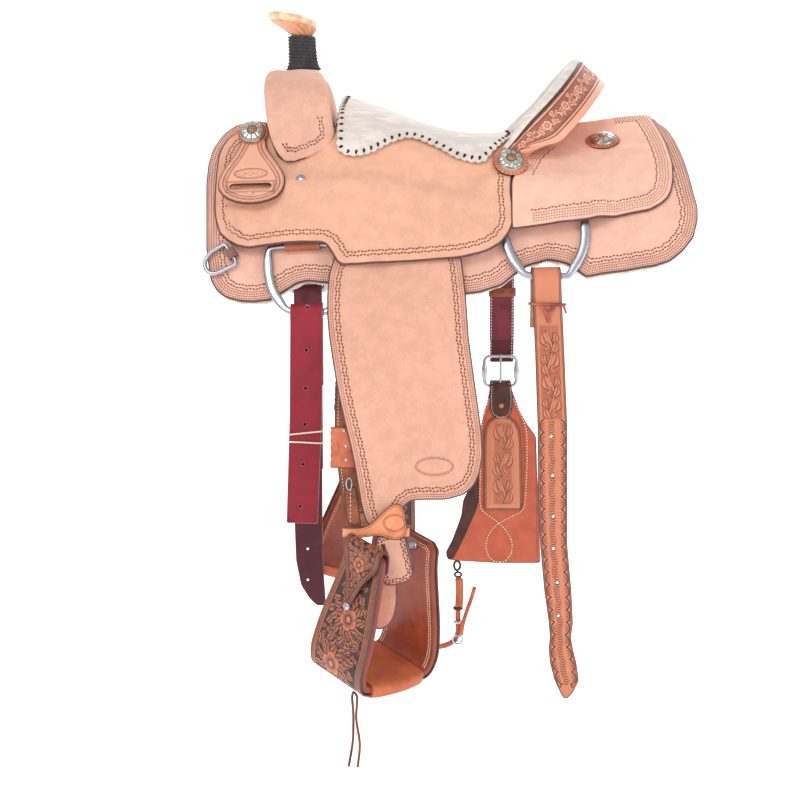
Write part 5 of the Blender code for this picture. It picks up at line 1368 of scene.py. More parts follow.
def lifted(points):
    """The points, with any that lie under the deck raised to it."""
    points = np.array(points, float)
    grid = np.linspace(0.0, 0.30, 151)
    for p in points:
        if abs(p[1]) < 0.002:
            low = side(p[0], 0.0, deck(p[0], 0.0))[2]
        else:
            q = side(np.full(151, p[0]), grid, deck(p[0], grid))
            low = np.interp(abs(p[1]), q[:, 1], q[:, 2])
        p[2] = max(p[2], low)
    return points


# Rim curve: the line where suede and tooled band meet, near corner to top.
corner = find(side, [(507, 151)], lambda a, b: jockey_top(a, b) + 0.003)[0]
corner = side(*corner, jockey_top(*corner) + 0.003)
RIM = np.array(
    [
        (corner[0], -corner[1], corner[2]), (0.0967, 0.155, 0.0325), (0.1173, 0.153, 0.0553),
        (0.1404, 0.143, 0.0791), (0.1633, 0.119, 0.1041), (0.1854, 0.080, 0.1308),
        (0.1990, 0.040, 0.1475), (0.2045, 0.0, 0.1530),
    ]
)
RIM_N = np.array((0.744, 0.0, -0.668))  # from the rim towards the saddle's rear
BACK_LINE = np.array([(1.0, 0.104, 0.150), (0.85, 0.116, 0.130), (0.7, 0.137, 0.102), (0.5, 0.160, 0.070), (0.25, 0.184, 0.035), (0.0, 0.196, 0.0)])
SEAT_LINE = np.array([(1.0, 0.0930, 0.131), (0.85, 0.0945, 0.118), (0.6, 0.0985, 0.085), (0.3, 0.1020, 0.042), (0.0, 0.1030, 0.0)])


def rim_frames(count):
    near = RIM * (1, -1, 1)
    p = spline(np.vstack((near, (RIM[::-1])[1:])), count, closed=False)
    t = np.gradient(p, axis=0)
    t /= np.linalg.norm(t, axis=1, keepdims=True)
    m = np.cross(t, RIM_N)
    m /= np.linalg.norm(m, axis=1, keepdims=True)
    flip = ((np.array((0.10, 0, 0.04)) - p) * m).sum(1) < 0
    m[flip] = -m[flip]
    return p, m


def cantle_section(tt, p, m):
    """Rows of the cantle at one place along its rim: face, board and cover."""
    a = abs(tt)
    k = 1 - 0.62 * smoothstep((a - 0.80) / 0.20)  # the whole section tapers
    depth = 0.050 * (1 - 0.80 * smoothstep((a - 0.74) / 0.26))
    sign = -1.0 if tt < 0 else 1.0

    def at(mm, nn):
        return p + m * mm * k + RIM_N * (nn * k)

    def on(line, extra):
        x = np.interp(a, line[::-1, 0], line[::-1, 1])
        s = np.interp(a, line[::-1, 0], line[::-1, 2])
        if a < 1e-6:
            return side(x, 0.0, deck(x, 0.0) + extra)
        return side(x, sign * s, deck(x, s) + extra)

    seat = on(SEAT_LINE, 0.0012)
    back = on(BACK_LINE, 0.0004)
    start = at(0.0245, 0.004)
    sag_dir = RIM_N * 0.9 + np.array((0, 0, -0.25))
    span = np.linalg.norm(start - seat)
    dish = [start * (1 - w) + seat * w + sag_dir * 0.17 * span * math.sin(math.pi * w) * (1 - 0.3 * w) for w in (0.2, 0.4, 0.6, 0.8, 1.0)]
    face = [at(0.0035, -0.0030), at(0.0048, -0.0090), at(0.0120, -0.0125), at(0.0200, -0.0090), start] + dish
    end = p + RIM_N * depth
    cover = [p + RIM_N * 0.003 * k, p + RIM_N * depth * 0.5, end]
    cover += [end * (1 - w) + back * w - m * 0.012 * k * math.sin(math.pi * w) for w in (0.35, 0.7, 1.0)]
    return np.array(face), np.array(cover)


def thickened(grid, d):
    """Grid moved d along its normals."""
    du = np.gradient(grid, axis=0)
    dv = np.gradient(grid, axis=1)
    n = np.cross(du, dv)
    n /= np.linalg.norm(n, axis=2, keepdims=True)
    return grid + n * d


def draped(grid):
    return np.array([lifted(row) for row in grid])


REAR_PX = [
    (517, 228.5), (535, 226), (560, 222), (590, 219), (620, 216), (650, 210), (661, 204),
    (668, 198), (672, 190), (674, 178), (673, 162), (667, 144), (659, 129), (653, 120), (648, 114.5),
]


edge = find(side, REAR_PX, rear_top)
ridge = [(0.300, -0.0052), (0.26, -0.0052), (0.22, -0.0052), (0.186, -0.0052), (0.172, -0.032), (0.150, -0.065), (0.127, -0.097), (0.108, -0.126), (0.104, -0.150), (0.103, -0.20)]
rear_outline = np.vstack((edge, ridge))

SKIRT_PX = [
    (264, 120), (252, 121), (236, 124.5), (224, 133), (213, 148), (208, 164), (206, 183),
    (206, 219), (206, 250), (210, 279), (216, 290), (225, 297), (239, 301), (253, 302),
    (270, 300), (283, 292), (297, 283), (308, 280.5), (326, 282.5), (345, 287), (370, 295),
    (400, 300), (430, 299), (462, 294), (480, 292), (502, 285), (517, 272.5), (527, 265.5),
    (548, 259.5), (562, 262), (570, 265), (578, 271), (586, 277), (600, 274), (627, 270.5), (654, 266),
    (670, 261), (683, 251), (694, 237), (698, 220), (698, 207), (694, 193), (684, 159),
    (674, 138), (667, 128), (658, 122),
]


def skirt_out(x, s):
    return -skirt_dip(x, s)


def skirt_in(x, s):
    return -skirt_dip(x, s) - SKIRT_T


def fleece_out(x, s):
    return -skirt_dip(x, s) - SKIRT_T - GAP


def fleece_in(x, s):
    return -skirt_dip(x, s) - SKIRT_T - FLEECE_T


edge = find(side, SKIRT_PX, 0.0)
upper = [(0.318, -0.006), (0.27, -0.006), (0.22, -0.010), (0.17, -0.028), (0.10, -0.042), (0.0, -0.048), (-0.10, -0.052), (-0.20, -0.060), (-0.26, -0.070)]
skirt = np.vstack((edge, upper))


def off_side(x, s, off):
    return side(x, -np.asarray(s), off)


# on the off side the rear ring hangs further forward, and the arch with it
OFF_ARCH = {(502, 285): (478, 290), (517, 272.5): (494, 276), (527, 265.5): (506, 267), (548, 259.5): (526, 260.5), (562, 262): (543, 261.5), (570, 265): (558, 264)}
edge = find(side, [OFF_ARCH.get(q, q) for q in SKIRT_PX if q != (480, 292)], 0.0)
skirt_far = np.vstack((edge, upper))


def side_frame(x, s, off):
    """Point, down-slope direction and outward normal of the side surface."""
    p = side(x, s, off)
    q = side(x, s, off + 0.01)
    nrm = (q - p) / 0.01
    down = side(x, s - 0.004, off) - p
    down /= np.linalg.norm(down)
    return p, down, nrm


def ring(name, px, top_flat, origin_px, off, samples=28, origin=None):
    """Wire ring in the plane of the side surface at its top bar."""
    x, s = find(side, [origin_px], off)[0]
    p, down, nrm = side_frame(x, s, off)
    along = np.cross(down, nrm)
    along /= np.linalg.norm(along)
    if along[0] < 0:
        along = -along

    def plane(a, b, o):
        a, b, o = np.broadcast_arrays(np.asarray(a, float), np.asarray(b, float), np.asarray(o, float))
        return p + a[..., None] * along + b[..., None] * down + o[..., None] * nrm

    flat = find(plane, px, 0.0, lo=(-0.12, -0.06), hi=(0.12, 0.2))
    return p, along, down, nrm, plane, flat


# Wire centre lines in the drawing; the top bar and the bottom are straight.
FRONT_RING_PX = [
    (268.5, 246), (267.8, 262), (268.5, 274), (272, 289), (280, 302), (291, 309.5), (308, 311),
    (327, 309.5), (333.5, 301), (336.5, 289), (337.5, 274), (337.5, 260), (337, 246),
]
REAR_RING_PX = [
    (500, 214), (501, 228), (506, 242), (511.5, 256), (519, 267), (529, 274), (547, 275.5),
    (565, 274), (574, 267), (581.5, 254), (585, 241), (585, 226), (584, 214),
]
rings = {}
for label, px, off, shift in (("front", FRONT_RING_PX, 0.0078, -0.030), ("rear", REAR_RING_PX, 0.0084, -0.034)):
    top = ((px[0][0] + px[-1][0]) / 2, px[0][1])
    p, along, down, nrm, plane, flat = ring(label, px, 0, top, off)
    # the top bar stays straight, with rounded corners
    flat[0, 1] = flat[-1, 1] = 0.0
    lowest = flat[5:8, 1].max()
    flat[5:8, 1] = lowest
    left, right = flat[0], flat[-1]
    corner = 0.009
    route = [(left[0] + corner, 0.0), (left[0] + 0.25 * corner, 0.22 * corner), (left[0], corner)]
    route += [tuple(q) for q in spline(flat[1:-1], 15, closed=False)]
    route += [(right[0], corner), (right[0] - 0.25 * corner, 0.22 * corner), (right[0] - corner, 0.0)]
    route = np.array(route)
    # the straight bottom
    low = np.abs(route[:, 1] - lowest) < 0.0035
    route[low, 1] = lowest
    # the ring hangs a little closer to the skirt at its bottom
    lean = math.sin(RAD(2.0 if label == "front" else 1.2))
    path = plane(route[:, 0], route[:, 1], -lean * route[:, 1])
    k = smoothstep((route[:, 1] - 0.004) / 0.012)
    low = smoothstep((route[:, 1] - lowest + 0.016) / 0.012)
    wide = BAR_R + (WIRE_W - BAR_R) * k
    wide = wide + (WIRE_LOW - wide) * low
    thick = BAR_R + (WIRE_T - BAR_R) * k
    xs = find(side, [top], off)[0]
    move = (side(xs[0] + shift, xs[1], off + (0.0036 if label == "front" else 0.0008)) - side(xs[0], xs[1], off)) * (1, -1, 1)
    bottom = plane((flat[5, 0] + flat[7, 0]) / 2, lowest, -lean * lowest)
    rings[label] = dict(top=p, along=along, down=down, nrm=nrm, bottom=bottom, left=left[0], right=right[0], move=move, path=path, wide=wide, thick=thick, plane=plane, route=route, lean=lean)

CONCHO_AT = {}
for label, px in (("front", (253.3, 135)), ("seat", (510.6, 161)), ("rear", (602.5, 139))):
    fn = rear_top if label == "rear" else jockey_top
    x, s = find(side, [px], lambda a, b: fn(a, b) + 0.004)[0]
    o = float(fn(np.array([x]), np.array([s]))[0])
    p, down, nrm = side_frame(x, s, o)
    CONCHO_AT[label] = (x, s, o, p, down, nrm)
keeper_at = CONCHO_AT["front"]

# Latigo keeper: teardrop with a slot, hung on the near front concho.
x, s, o, p, down, nrm = keeper_at
along = np.cross(down, nrm)
along = along if along[0] > 0 else -along
down = down + 0.05 * nrm
down /= np.linalg.norm(down)
nrm = np.cross(along, down)
nrm = nrm if nrm[1] < 0 else -nrm


KP, KA, KD, KN = p, along, down, nrm


def keeper_plane(a, b, off):
    a, b, off = np.broadcast_arrays(np.asarray(a, float), np.asarray(b, float), np.asarray(off, float))
    return KP + a[..., None] * KA + b[..., None] * KD + off[..., None] * KN


KEEPER_PX = [
    (253, 129), (244, 134), (240, 145), (233, 157), (226, 166), (219.5, 177), (217.5, 187), (223, 196),
    (236, 202), (251, 203.5), (268, 200.5), (279, 195), (285, 184), (284, 174), (276, 161),
    (267, 148), (265, 136), (260, 130),
]
flat = find(keeper_plane, KEEPER_PX, 0.0070, lo=(-0.08, -0.03), hi=(0.08, 0.15))
flat = spline(flat, 30)
slot = find(keeper_plane, [(230, 184.5), (271, 184.5), (271, 189), (230, 189)], 0.0070, lo=(-0.08, -0.03), hi=(0.08, 0.15))
keeper_outline, keeper_slot = flat, slot
keeper_nrm = nrm
KEEP_P, KEEP_ALONG, KEEP_DOWN, KEEP_NRM = p, along, down, nrm


DEE_PX = [
    (224.5, 245), (219, 247.5), (209.5, 254), (205, 262), (206, 269), (211, 273.5), (217.5, 273),
    (227, 268.5), (236, 263), (230.5, 254),
]
x, s = find(side, [(230.5, 254)], 0.0065)[0]
p, down, nrm = side_frame(x, s, 0.0065)
along = np.cross(down, nrm)
along = along if along[0] > 0 else -along
dee_p = p


DP, DA, DD, DN = p, along, down, nrm


def dee_plane(a, b, off):
    a, b, off = np.broadcast_arrays(np.asarray(a, float), np.asarray(b, float), np.asarray(off, float))
    return DP + a[..., None] * DA + b[..., None] * DD + off[..., None] * DN


flat = find(dee_plane, DEE_PX, 0.0, lo=(-0.08, -0.06), hi=(0.08, 0.08))
route = spline(flat, 18)
dee_route = route
DEE_P, DEE_ALONG, DEE_DOWN, DEE_NRM = dee_p, along, down, nrm


FENDER_PX = [
    (372, 212), (352, 224), (340, 240), (333, 261), (329, 273), (327, 294), (327, 316), (329, 338), (333, 364), (338, 394),
    (344.5, 423), (350, 445), (355, 470), (358, 488), (361, 505), (365, 520), (374, 533), (390, 541), (398, 548), (399, 566), (399, 582),
    (406, 580), (413, 575), (414, 566), (410, 548), (405, 530), (401, 516), (403.5, 507), (411, 501), (424, 500),
    (446, 500), (464, 495), (474, 486), (480, 473), (483, 455), (482, 433), (478, 404), (474, 375),
    (469, 338), (466, 294), (462, 261), (456, 240), (444, 224), (424, 212), (398, 207),
]
F0 = 0.0080
FENDER_Y = F0 + FENDER_T


def fender_in(x, l):
    """The fender lies over the ring at its front edge and over the bolt at its tail."""
    ring_lift = 0.0044 * (1 - smoothstep((np.asarray(x) + 0.150) / 0.03)) * (1 - smoothstep((l - 0.21) / 0.05))
    tail_lift = 0.0110 * smoothstep((np.asarray(l) - 0.553) / 0.020)
    return F0 + ring_lift + tail_lift


def fender_out(x, l):
    return fender_in(x, l) + FENDER_T


LO, HI = (-0.30, -0.02), (0.12, 0.72)
PIVOT = hang(*find(hang, [(397, 210)], 0.004, LO, HI)[0], 0.004)
flat = find(hang, FENDER_PX, fender_out, LO, HI)
fender_outline = flat

LEATHER_PX = [
    (374, 204), (362, 240), (352, 290), (341, 350), (335, 386), (334.5, 426), (336.5, 450), (338, 472), (341, 495), (345, 515),
    (385, 511), (383, 490), (381, 470), (380, 426), (382, 386), (390, 350), (402, 290), (412, 240), (420, 204),
]
flat = find(hang, LEATHER_PX, 0.005, LO, HI)
leather_outline = flat

# Local axes: L across (outer panel at -L), F through the opening, U up.
YAW, TILT = RAD(44.2), RAD(13.3)
L_AX = np.array((math.cos(YAW), math.sin(YAW), 0.0))
F_H = np.array((math.sin(YAW), -math.cos(YAW), 0.0))
Z_AX = np.array((0.0, 0.0, 1.0))
F_AX = F_H * math.cos(TILT) - Z_AX * math.sin(TILT)
U_AX = Z_AX * math.cos(TILT) + F_H * math.sin(TILT)
BOLT = np.array((-0.0905, -0.3010, -0.5560))  # middle of the stirrup bolt
HALF_TOP, HALF_LOW, HEIGHT = 0.050, 0.0700, 0.202
DEEP_TOP, DEEP_LOW = 0.074, 0.110


def stirrup_path(out, count=25):
    """Bell-shaped centre line in (a, h), out metres outside the base line."""
    a1, a2, h = HALF_TOP + out, HALF_LOW + out, HEIGHT - 0.013 + out
    half = [(-a1, 0.013), (-a1 - 0.001, -0.02), (-a1 - 0.008, -0.07), (-a2 + 0.004, -0.125), (-a2, -h + 0.030), (-a2 + 0.010, -h + 0.006), (-a2 + 0.034, -h), (-0.012, -h)]
    pts = half + [(-a, b) for a, b in half[::-1]]
    pts = spline(pts, count, closed=False)
    pts[np.abs(pts[:, 0]) < a2 - 0.033, 1] = -h
    return pts


def stirrup_depth(h):
    t = np.clip((0.013 - h) / 0.16, 0, 1)
    return DEEP_TOP + (DEEP_LOW - DEEP_TOP) * smoothstep(t)


# Off side: the same group, swung a little forward about its pivot.
SWING = RAD(3.0)
off_pivot = PIVOT * (1, -1, 1)
axis = np.array((0.0, math.cos(LATERAL), math.sin(LATERAL)))


def turn(points, about, axis, angle):
    axis = axis / np.linalg.norm(axis)
    q = points - about
    c, s = math.cos(angle), math.sin(angle)
    return about + q * c + np.cross(axis, q) * s + np.outer(q @ axis, axis) * (1 - c)


# Thong: one lace through the stirrup's lacing, whose two ends hang free.
THONG_R = 0.0019
foot = BOLT + L_AX * (-HALF_LOW + 0.020) + F_AX * 0.020 - U_AX * (HEIGHT + 0.0012)


def thong_route(count=27):
    """Up one end, over under the tread, and down the other end."""
    a, b = foot - F_AX * 0.0045, foot + F_AX * 0.0050
    drop = np.array((0, 0, -0.0075))
    pts = [
        a + (-0.006, 0.002, -0.118), a + (0.000, 0.002, -0.080), a + (0.001, 0.001, -0.040),
        a + drop, (a + b) / 2 + (0, 0, -0.0032), b + drop,
        b + (-0.001, -0.001, -0.040), b + (0.004, -0.003, -0.078), b + (0.001, -0.004, -0.112),
    ]
    return spline(pts, count, closed=False)




# ================================================================ camera, stage
camera = bpy.data.objects.new("camera", bpy.data.cameras.new("camera"))
bpy.context.scene.collection.objects.link(camera)
camera.location = EYE.tolist()
camera.rotation_euler = (math.radians(90) - PITCH, 0.0, 0.0)
camera.data.sensor_fit = "HORIZONTAL"
camera.data.sensor_width = 36.0
camera.data.lens = 67.5
camera.data.clip_start = 0.05
camera.data.clip_end = 60.0
bpy.context.scene.camera = camera
bpy.context.scene.view_settings.view_transform = "Standard"

world = bpy.data.worlds.new("studio")
bpy.context.scene.world = world
world.use_nodes = True
world.node_tree.nodes["Background"].inputs["Color"].default_value = (1.0, 1.0, 1.0, 1.0)
world.node_tree.nodes["Background"].inputs["Strength"].default_value = 0.72


def area_light(name, at, target, size, power, colour=(1, 1, 1)):
    data = bpy.data.lights.new(name, "AREA")
    data.shape = "RECTANGLE"
    data.size, data.size_y = size
    data.energy = power
    data.color = colour
    obj = bpy.data.objects.new(name, data)
    bpy.context.scene.collection.objects.link(obj)
    obj.location = at
    obj.rotation_euler = (Vector(target) - Vector(at)).to_track_quat("-Z", "Y").to_euler()
    return obj


area_light("key", (-1.6, -3.2, 2.4), (0.0, 0.0, -0.2), (1.8, 1.4), 52.0, (1.0, 0.985, 0.96))
area_light("fill", (2.4, -2.8, 0.6), (0.0, 0.0, -0.3), (2.0, 2.0), 26.0, (0.97, 0.985, 1.0))
area_light("rim", (0.6, 2.6, 2.2), (0.0, 0.0, -0.1), (2.4, 1.2), 40.0)

floor_mat = bpy.data.materials.new("studio_floor")
floor_mat.use_nodes = True
tree = floor_mat.node_tree
shader = tree.nodes["Principled BSDF"]
shader.inputs["Base Color"].default_value = (0.97, 0.97, 0.97, 1)
shader.inputs["Roughness"].default_value = 0.9
shader.inputs["Emission Color"].default_value = (1, 1, 1, 1)
shader.inputs["Emission Strength"].default_value = 0.45
rows = []
for k, (y, z) in enumerate([(-9.0, -1.25), (2.4, -1.25)] + [(2.4 + 2.2 * math.sin(a), 0.95 - 2.2 * math.cos(a)) for a in np.radians(np.arange(6, 91, 6))] + [(4.6, 9.0)]):
    rows.append([(-12.0, y, z), (12.0, y, z)])
sweep = Solid().add(np.array(rows), grid_faces(len(rows), 2), 0)
mesh = bpy.data.meshes.new("backdrop")
mesh.from_pydata(np.array(rows).reshape(-1, 3).tolist(), [], grid_faces(len(rows), 2))
mesh.materials.append(floor_mat)
mesh.shade_smooth()
backdrop = bpy.data.objects.new("backdrop", mesh)
bpy.context.scene.collection.objects.link(backdrop)
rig.stage(backdrop)


# ================================================================ carving
class Carving:
    """Height picture of carved leather: 1 on the highest work, -1 in the cuts."""

    def __init__(self, length, width, res=0.00035, plain=0.5, coarse=1.0, hollow=0.675):
        self.res, self.coarse, self.hollow = res, coarse, hollow
        self.x = np.arange(int(length / res) + 2) * res
        self.y = np.arange(int(width / res) + 2) * res
        self.h = np.full((len(self.y), len(self.x)), plain, float)

    def patch(self, x0, x1, y0, y1):
        i0, i1 = max(0, int(x0 / self.res)), min(len(self.x), int(x1 / self.res) + 2)
        j0, j1 = max(0, int(y0 / self.res)), min(len(self.y), int(y1 / self.res) + 2)
        if i0 >= i1 or j0 >= j1:
            return None
        x, y = np.meshgrid(self.x[i0:i1], self.y[j0:j1])
        return (slice(j0, j1), slice(i0, i1)), x, y

    def ground(self, where, depth=-0.85):
        """Cut background with small round matting."""
        x, y = np.meshgrid(self.x, self.y)
        mat = 0.22 * np.cos(x * 2 * math.pi / 0.0015) * np.cos(y * 2 * math.pi / 0.0015)
        m = where(x, y)
        self.h = self.h * (1 - m) + (depth + mat) * m
        return self

    def plain(self, where, value=0.5):
        """Leave part of the picture uncarved."""
        x, y = np.meshgrid(self.x, self.y)
        m = where(x, y)
        self.h = self.h * (1 - m) + value * m
        return self

    def over(self, got, value, mask):
        win, _, _ = got
        old = self.h[win]
        self.h[win] = np.where(mask > 0, np.maximum(old * (1 - mask) + value * mask, np.minimum(old, value)), old)

    def lay(self, got, value, mask):
        win, _, _ = got
        self.h[win] = self.h[win] * (1 - mask) + value * mask

    def leaf(self, cx, cy, angle, length, width, curl=0.0, lobes=0):
        r = length * 1.15
        got = self.patch(cx - r, cx + r, cy - r, cy + r)
        if got is None:
            return
        _, x, y = got
        c, s = math.cos(angle), math.sin(angle)
        u = ((x - cx) * c + (y - cy) * s) / length
        v = -(x - cx) * s + (y - cy) * c - curl * length * (u * (1 - u)) * 4 * 0.25
        uu = np.clip(u, 0, 1)
        w = width / 2 * np.clip(np.sin(math.pi * uu**0.72), 0, 1) ** 0.85
        if lobes:
            w = w * (1 + 0.22 * np.cos(2 * math.pi * lobes * uu))
        d = np.where((u > 0) & (u < 1), w - np.abs(v), -1.0)
        rim = smoothstep(d / 0.0005)
        q = np.abs(v) / np.maximum(w, 1e-5)
        val = 0.95 - self.hollow * np.clip(1 - q, 0, 1) ** 1.3
        val = val - 0.62 * np.exp(-((v / (0.00042 * self.coarse)) ** 2))
        val = val + 0.26 * np.cos(2 * math.pi * (u * length + np.abs(v) * 0.9) / (0.0021 * self.coarse))
        halo = smoothstep((d + 0.0008 * self.coarse) / 0.0006) * (1 - rim) * (d > -0.5)
        self.lay(got, -1.0, halo * 0.9)
        self.lay(got, np.clip(val, -0.6, 1), rim)

    def flower(self, cx, cy, r, petals=5, turn=0.0):
        got = self.patch(cx - 1.2 * r, cx + 1.2 * r, cy - 1.2 * r, cy + 1.2 * r)
        if got is None:
            return
        _, x, y = got
        rho, th = np.hypot(x - cx, y - cy), np.arctan2(y - cy, x - cx) + turn
        lobe = np.abs(np.cos(th * petals / 2)) ** 0.55
        edge = r * (0.72 + 0.28 * lobe)
        d = edge - rho
        rim = smoothstep(d / 0.0005)
        halo = smoothstep((d + 0.0009) / 0.0006) * (1 - rim)
        q = rho / edge
        sink = (self.hollow - 0.675) * 0.9
        val = 0.2 - sink + (0.8 + sink) * q**1.5
        val = val - 1.1 * np.exp(-((np.cos(th * petals / 2) * rho / 0.0011) ** 2))
        val = val + 0.20 * np.cos(th * petals * 4) * q
        core = rho < 0.30 * r
        dome = 0.9 - 0.5 * (rho / (0.30 * r)) ** 2 + 0.35 * np.cos(rho * 2 * math.pi / 0.0014) * np.cos(th * 7)
        ring = np.exp(-(((rho - 0.32 * r) / 0.00055) ** 2))
        val = np.where(core, dome, val) - 1.3 * ring
        self.lay(got, -1.0, halo * 0.9)
        self.lay(got, np.clip(val, -0.9, 1), rim)

    def line(self, pts, half, value=1.0, dome=True, halo=0.0009, taper=False, rope=0.0):
        """Raised stroke (value > 0) or groove (value < 0) along a path."""
        pts = np.asarray(pts, float)
        run = 0.0
        total = np.linalg.norm(np.diff(pts, axis=0), axis=1).sum()
        best = np.full(self.h.shape, 1e9)
        along = np.zeros(self.h.shape)
        box = [1e9, -1e9, 1e9, -1e9]
        for a, b in zip(pts[:-1], pts[1:]):
            d = b - a
            length = float(np.hypot(*d))
            m = half + halo + 0.001
            got = self.patch(min(a[0], b[0]) - m, max(a[0], b[0]) + m, min(a[1], b[1]) - m, max(a[1], b[1]) + m)
            if got is not None:
                win, x, y = got
                t = np.clip(((x - a[0]) * d[0] + (y - a[1]) * d[1]) / max(d @ d, 1e-14), 0, 1)
                q = np.hypot(x - a[0] - t * d[0], y - a[1] - t * d[1])
                near = q < best[win]
                best[win] = np.where(near, q, best[win])
                along[win] = np.where(near, run + t * length, along[win])
            run += length
        h = half * (np.clip(1 - 0.75 * along / total, 0.2, 1) if taper else 1.0)
        rim = smoothstep((h - best) / 0.0004 + 0.5)
        if value > 0:
            ring = smoothstep((h + halo - best) / 0.0005) * (1 - rim)
            self.h = self.h * (1 - ring * 0.9) - ring * 0.9
            val = value * (np.sqrt(np.clip(1 - (best / np.maximum(h, 1e-6)) ** 2, 0, 1)) * 0.5 + 0.5 if dome else 1.0)
            if rope:
                val = val - 0.7 * (np.cos(2 * math.pi * along / rope) > 0.55)
        else:
            val = value
        self.h = self.h * (1 - rim) + val * rim
        return self

    def beads(self, pts, r, pitch, value=0.9):
        pts = np.asarray(pts, float)
        run = np.concatenate(([0], np.cumsum(np.linalg.norm(np.diff(pts, axis=0), axis=1))))
        for at in np.arange(pitch / 2, run[-1], pitch):
            x0, y0 = np.interp(at, run, pts[:, 0]), np.interp(at, run, pts[:, 1])
            got = self.patch(x0 - 2 * r, x0 + 2 * r, y0 - 2 * r, y0 + 2 * r)
            if got is None:
                continue
            _, x, y = got
            q = np.hypot(x - x0, y - y0) / r
            self.lay(got, -1.0, smoothstep((1.5 - q) / 0.3) * 0.8)
            self.lay(got, value * np.sqrt(np.clip(1 - q**2, 0, 1)), smoothstep((1.0 - q) / 0.25))
        return self

    def blurred(self, times=1):
        for _ in range(times):
            p = np.pad(self.h, 1, mode="edge")
            self.h = (p[:-2, 1:-1] + p[2:, 1:-1] + p[1:-1, :-2] + p[1:-1, 2:] + 4 * p[1:-1, 1:-1]) / 8
        return self

    def read(self, x, y):
        fx = np.clip(np.asarray(x) / self.res, 0, len(self.x) - 1.001)
        fy = np.clip(np.asarray(y) / self.res, 0, len(self.y) - 1.001)
        i, j = fx.astype(int), fy.astype(int)
        a, b = fx - i, fy - j
        h = self.h
        return h[j, i] * (1 - a) * (1 - b) + h[j, i + 1] * a * (1 - b) + h[j + 1, i] * (1 - a) * b + h[j + 1, i + 1] * a * b


def vine(carving, x0, x1, mid, amp, period, size, seed=1, flowers=True, phase=0.0):
    """Waving stem with leaves, scrolls and flowers, from x0 to x1 about y = mid(x)."""
    rng = np.random.default_rng(seed)
    xs = np.arange(x0, x1, 0.0012)
    ys = np.array([mid(x) for x in xs]) + amp * np.sin((xs - x0) * 2 * math.pi / period + phase)
    carving.line(np.stack((xs, ys), -1), size * 0.075, 0.9)
    k = 0
    x = x0 + period * 0.10
    while x < x1 - size * 0.2:
        up = 1 if k % 2 else -1
        y = mid(x) + amp * math.sin((x - x0) * 2 * math.pi / period + phase)
        slope = amp * 2 * math.pi / period * math.cos((x - x0) * 2 * math.pi / period + phase)
        a = math.atan(slope)
        carving.leaf(x, y, a + up * rng.uniform(0.85, 1.25), size * rng.uniform(0.75, 1.0), size * 0.40, curl=-up * 0.9, lobes=3)
        carving.leaf(x + period * 0.07, y, a - up * rng.uniform(0.5, 0.9), size * rng.uniform(0.55, 0.8), size * 0.30, curl=up * 0.9, lobes=2)
        x += period * 0.25
        k += 1
    k = 0
    x = x0 + period * 0.25
    while x < x1:
        y = mid(x) - amp * 0.15 * math.sin((x - x0) * 2 * math.pi / period + phase)
        if flowers and k % 2 == 0:
            carving.flower(x, y, size * 0.42, 5 + k % 3, rng.uniform(0, 6))
        else:
            turn = np.linspace(0, 3.9, 40)
            r = size * 0.36 * (1 - turn / 4.6)
            s = 1 if k % 4 < 2 else -1
            pts = np.stack((x + r * np.cos(turn * s + 0.6), y + r * np.sin(turn * s + 0.6)), -1)
            carving.line(pts, size * 0.085, 0.95, taper=True)
        x += period * 0.5
        k += 1
    return carving


def whorl(carving, cx, cy, r, turn, spin, rings=((1.75, 13), (1.25, 10), (0.8, 8))):
    """Rings of curling leaves round a point, the outermost first."""
    for q, count in rings:
        for j in range(count):
            a = turn + q * 1.7 + j * 2 * math.pi / count
            carving.leaf(cx + r * q * math.cos(a), cy + r * q * math.sin(a), a + 0.75 * spin, r * 0.95, r * 0.52, curl=0.8 * spin, lobes=3)
    return carving


# ================================================================ big panels
NEAR_OFF = (("near", -1.0), ("off", 1.0))


def mirrored_surface(surface):
    """The same surface on the other side of the centre plane."""
    def other(a, b, off=0.0):
        return surface(a, b, off) * np.array((1.0, -1.0, 1.0))
    return other


def wrapped(f):
    return (lambda a, b: np.asarray(f(a, b), float))


FINE = (0.0030, 0.0060, 0.0100, 0.0150)


def ripple(amount, scale, seed):
    """Small even unevenness of a leather surface."""
    rng = np.random.default_rng(seed)
    waves = [(rng.uniform(0.5, 1.6) * scale, rng.uniform(0, 2 * math.pi), rng.uniform(0, 2 * math.pi)) for _ in range(9)]

    def f(a, b):
        h = 0.0
        for k, turn, phase in waves:
            h = h + np.sin(k * (a * math.cos(turn) + b * math.sin(turn)) + phase)
        return amount * h / 3.0
    return f


def basket(solid, surface, off, outline, keep=None, bands=(0.0042, 0.0072, 0.0102, 0.0132), mat=0, pitch=0.0034):
    """Band of basket stamps along an edge."""
    for k, d in enumerate(bands):
        slant = math.radians(38 if k % 2 else -38)
        stitch_rows(solid, surface, off, outline, (d,), pitch=pitch, length=0.0032, width=0.0016, height=0.0004, mat=mat, keep=keep, slant=slant)
    return solid


def wavy(solid, surface, off, outline, distances, keep=None, mat=0, pitch=0.0050, scale=1.0):
    return stitch_rows(solid, surface, off, outline, distances, pitch=pitch, length=0.0044 * scale, width=0.0023 * scale, height=0.0006, mat=mat, wave=0.0007, keep=keep)


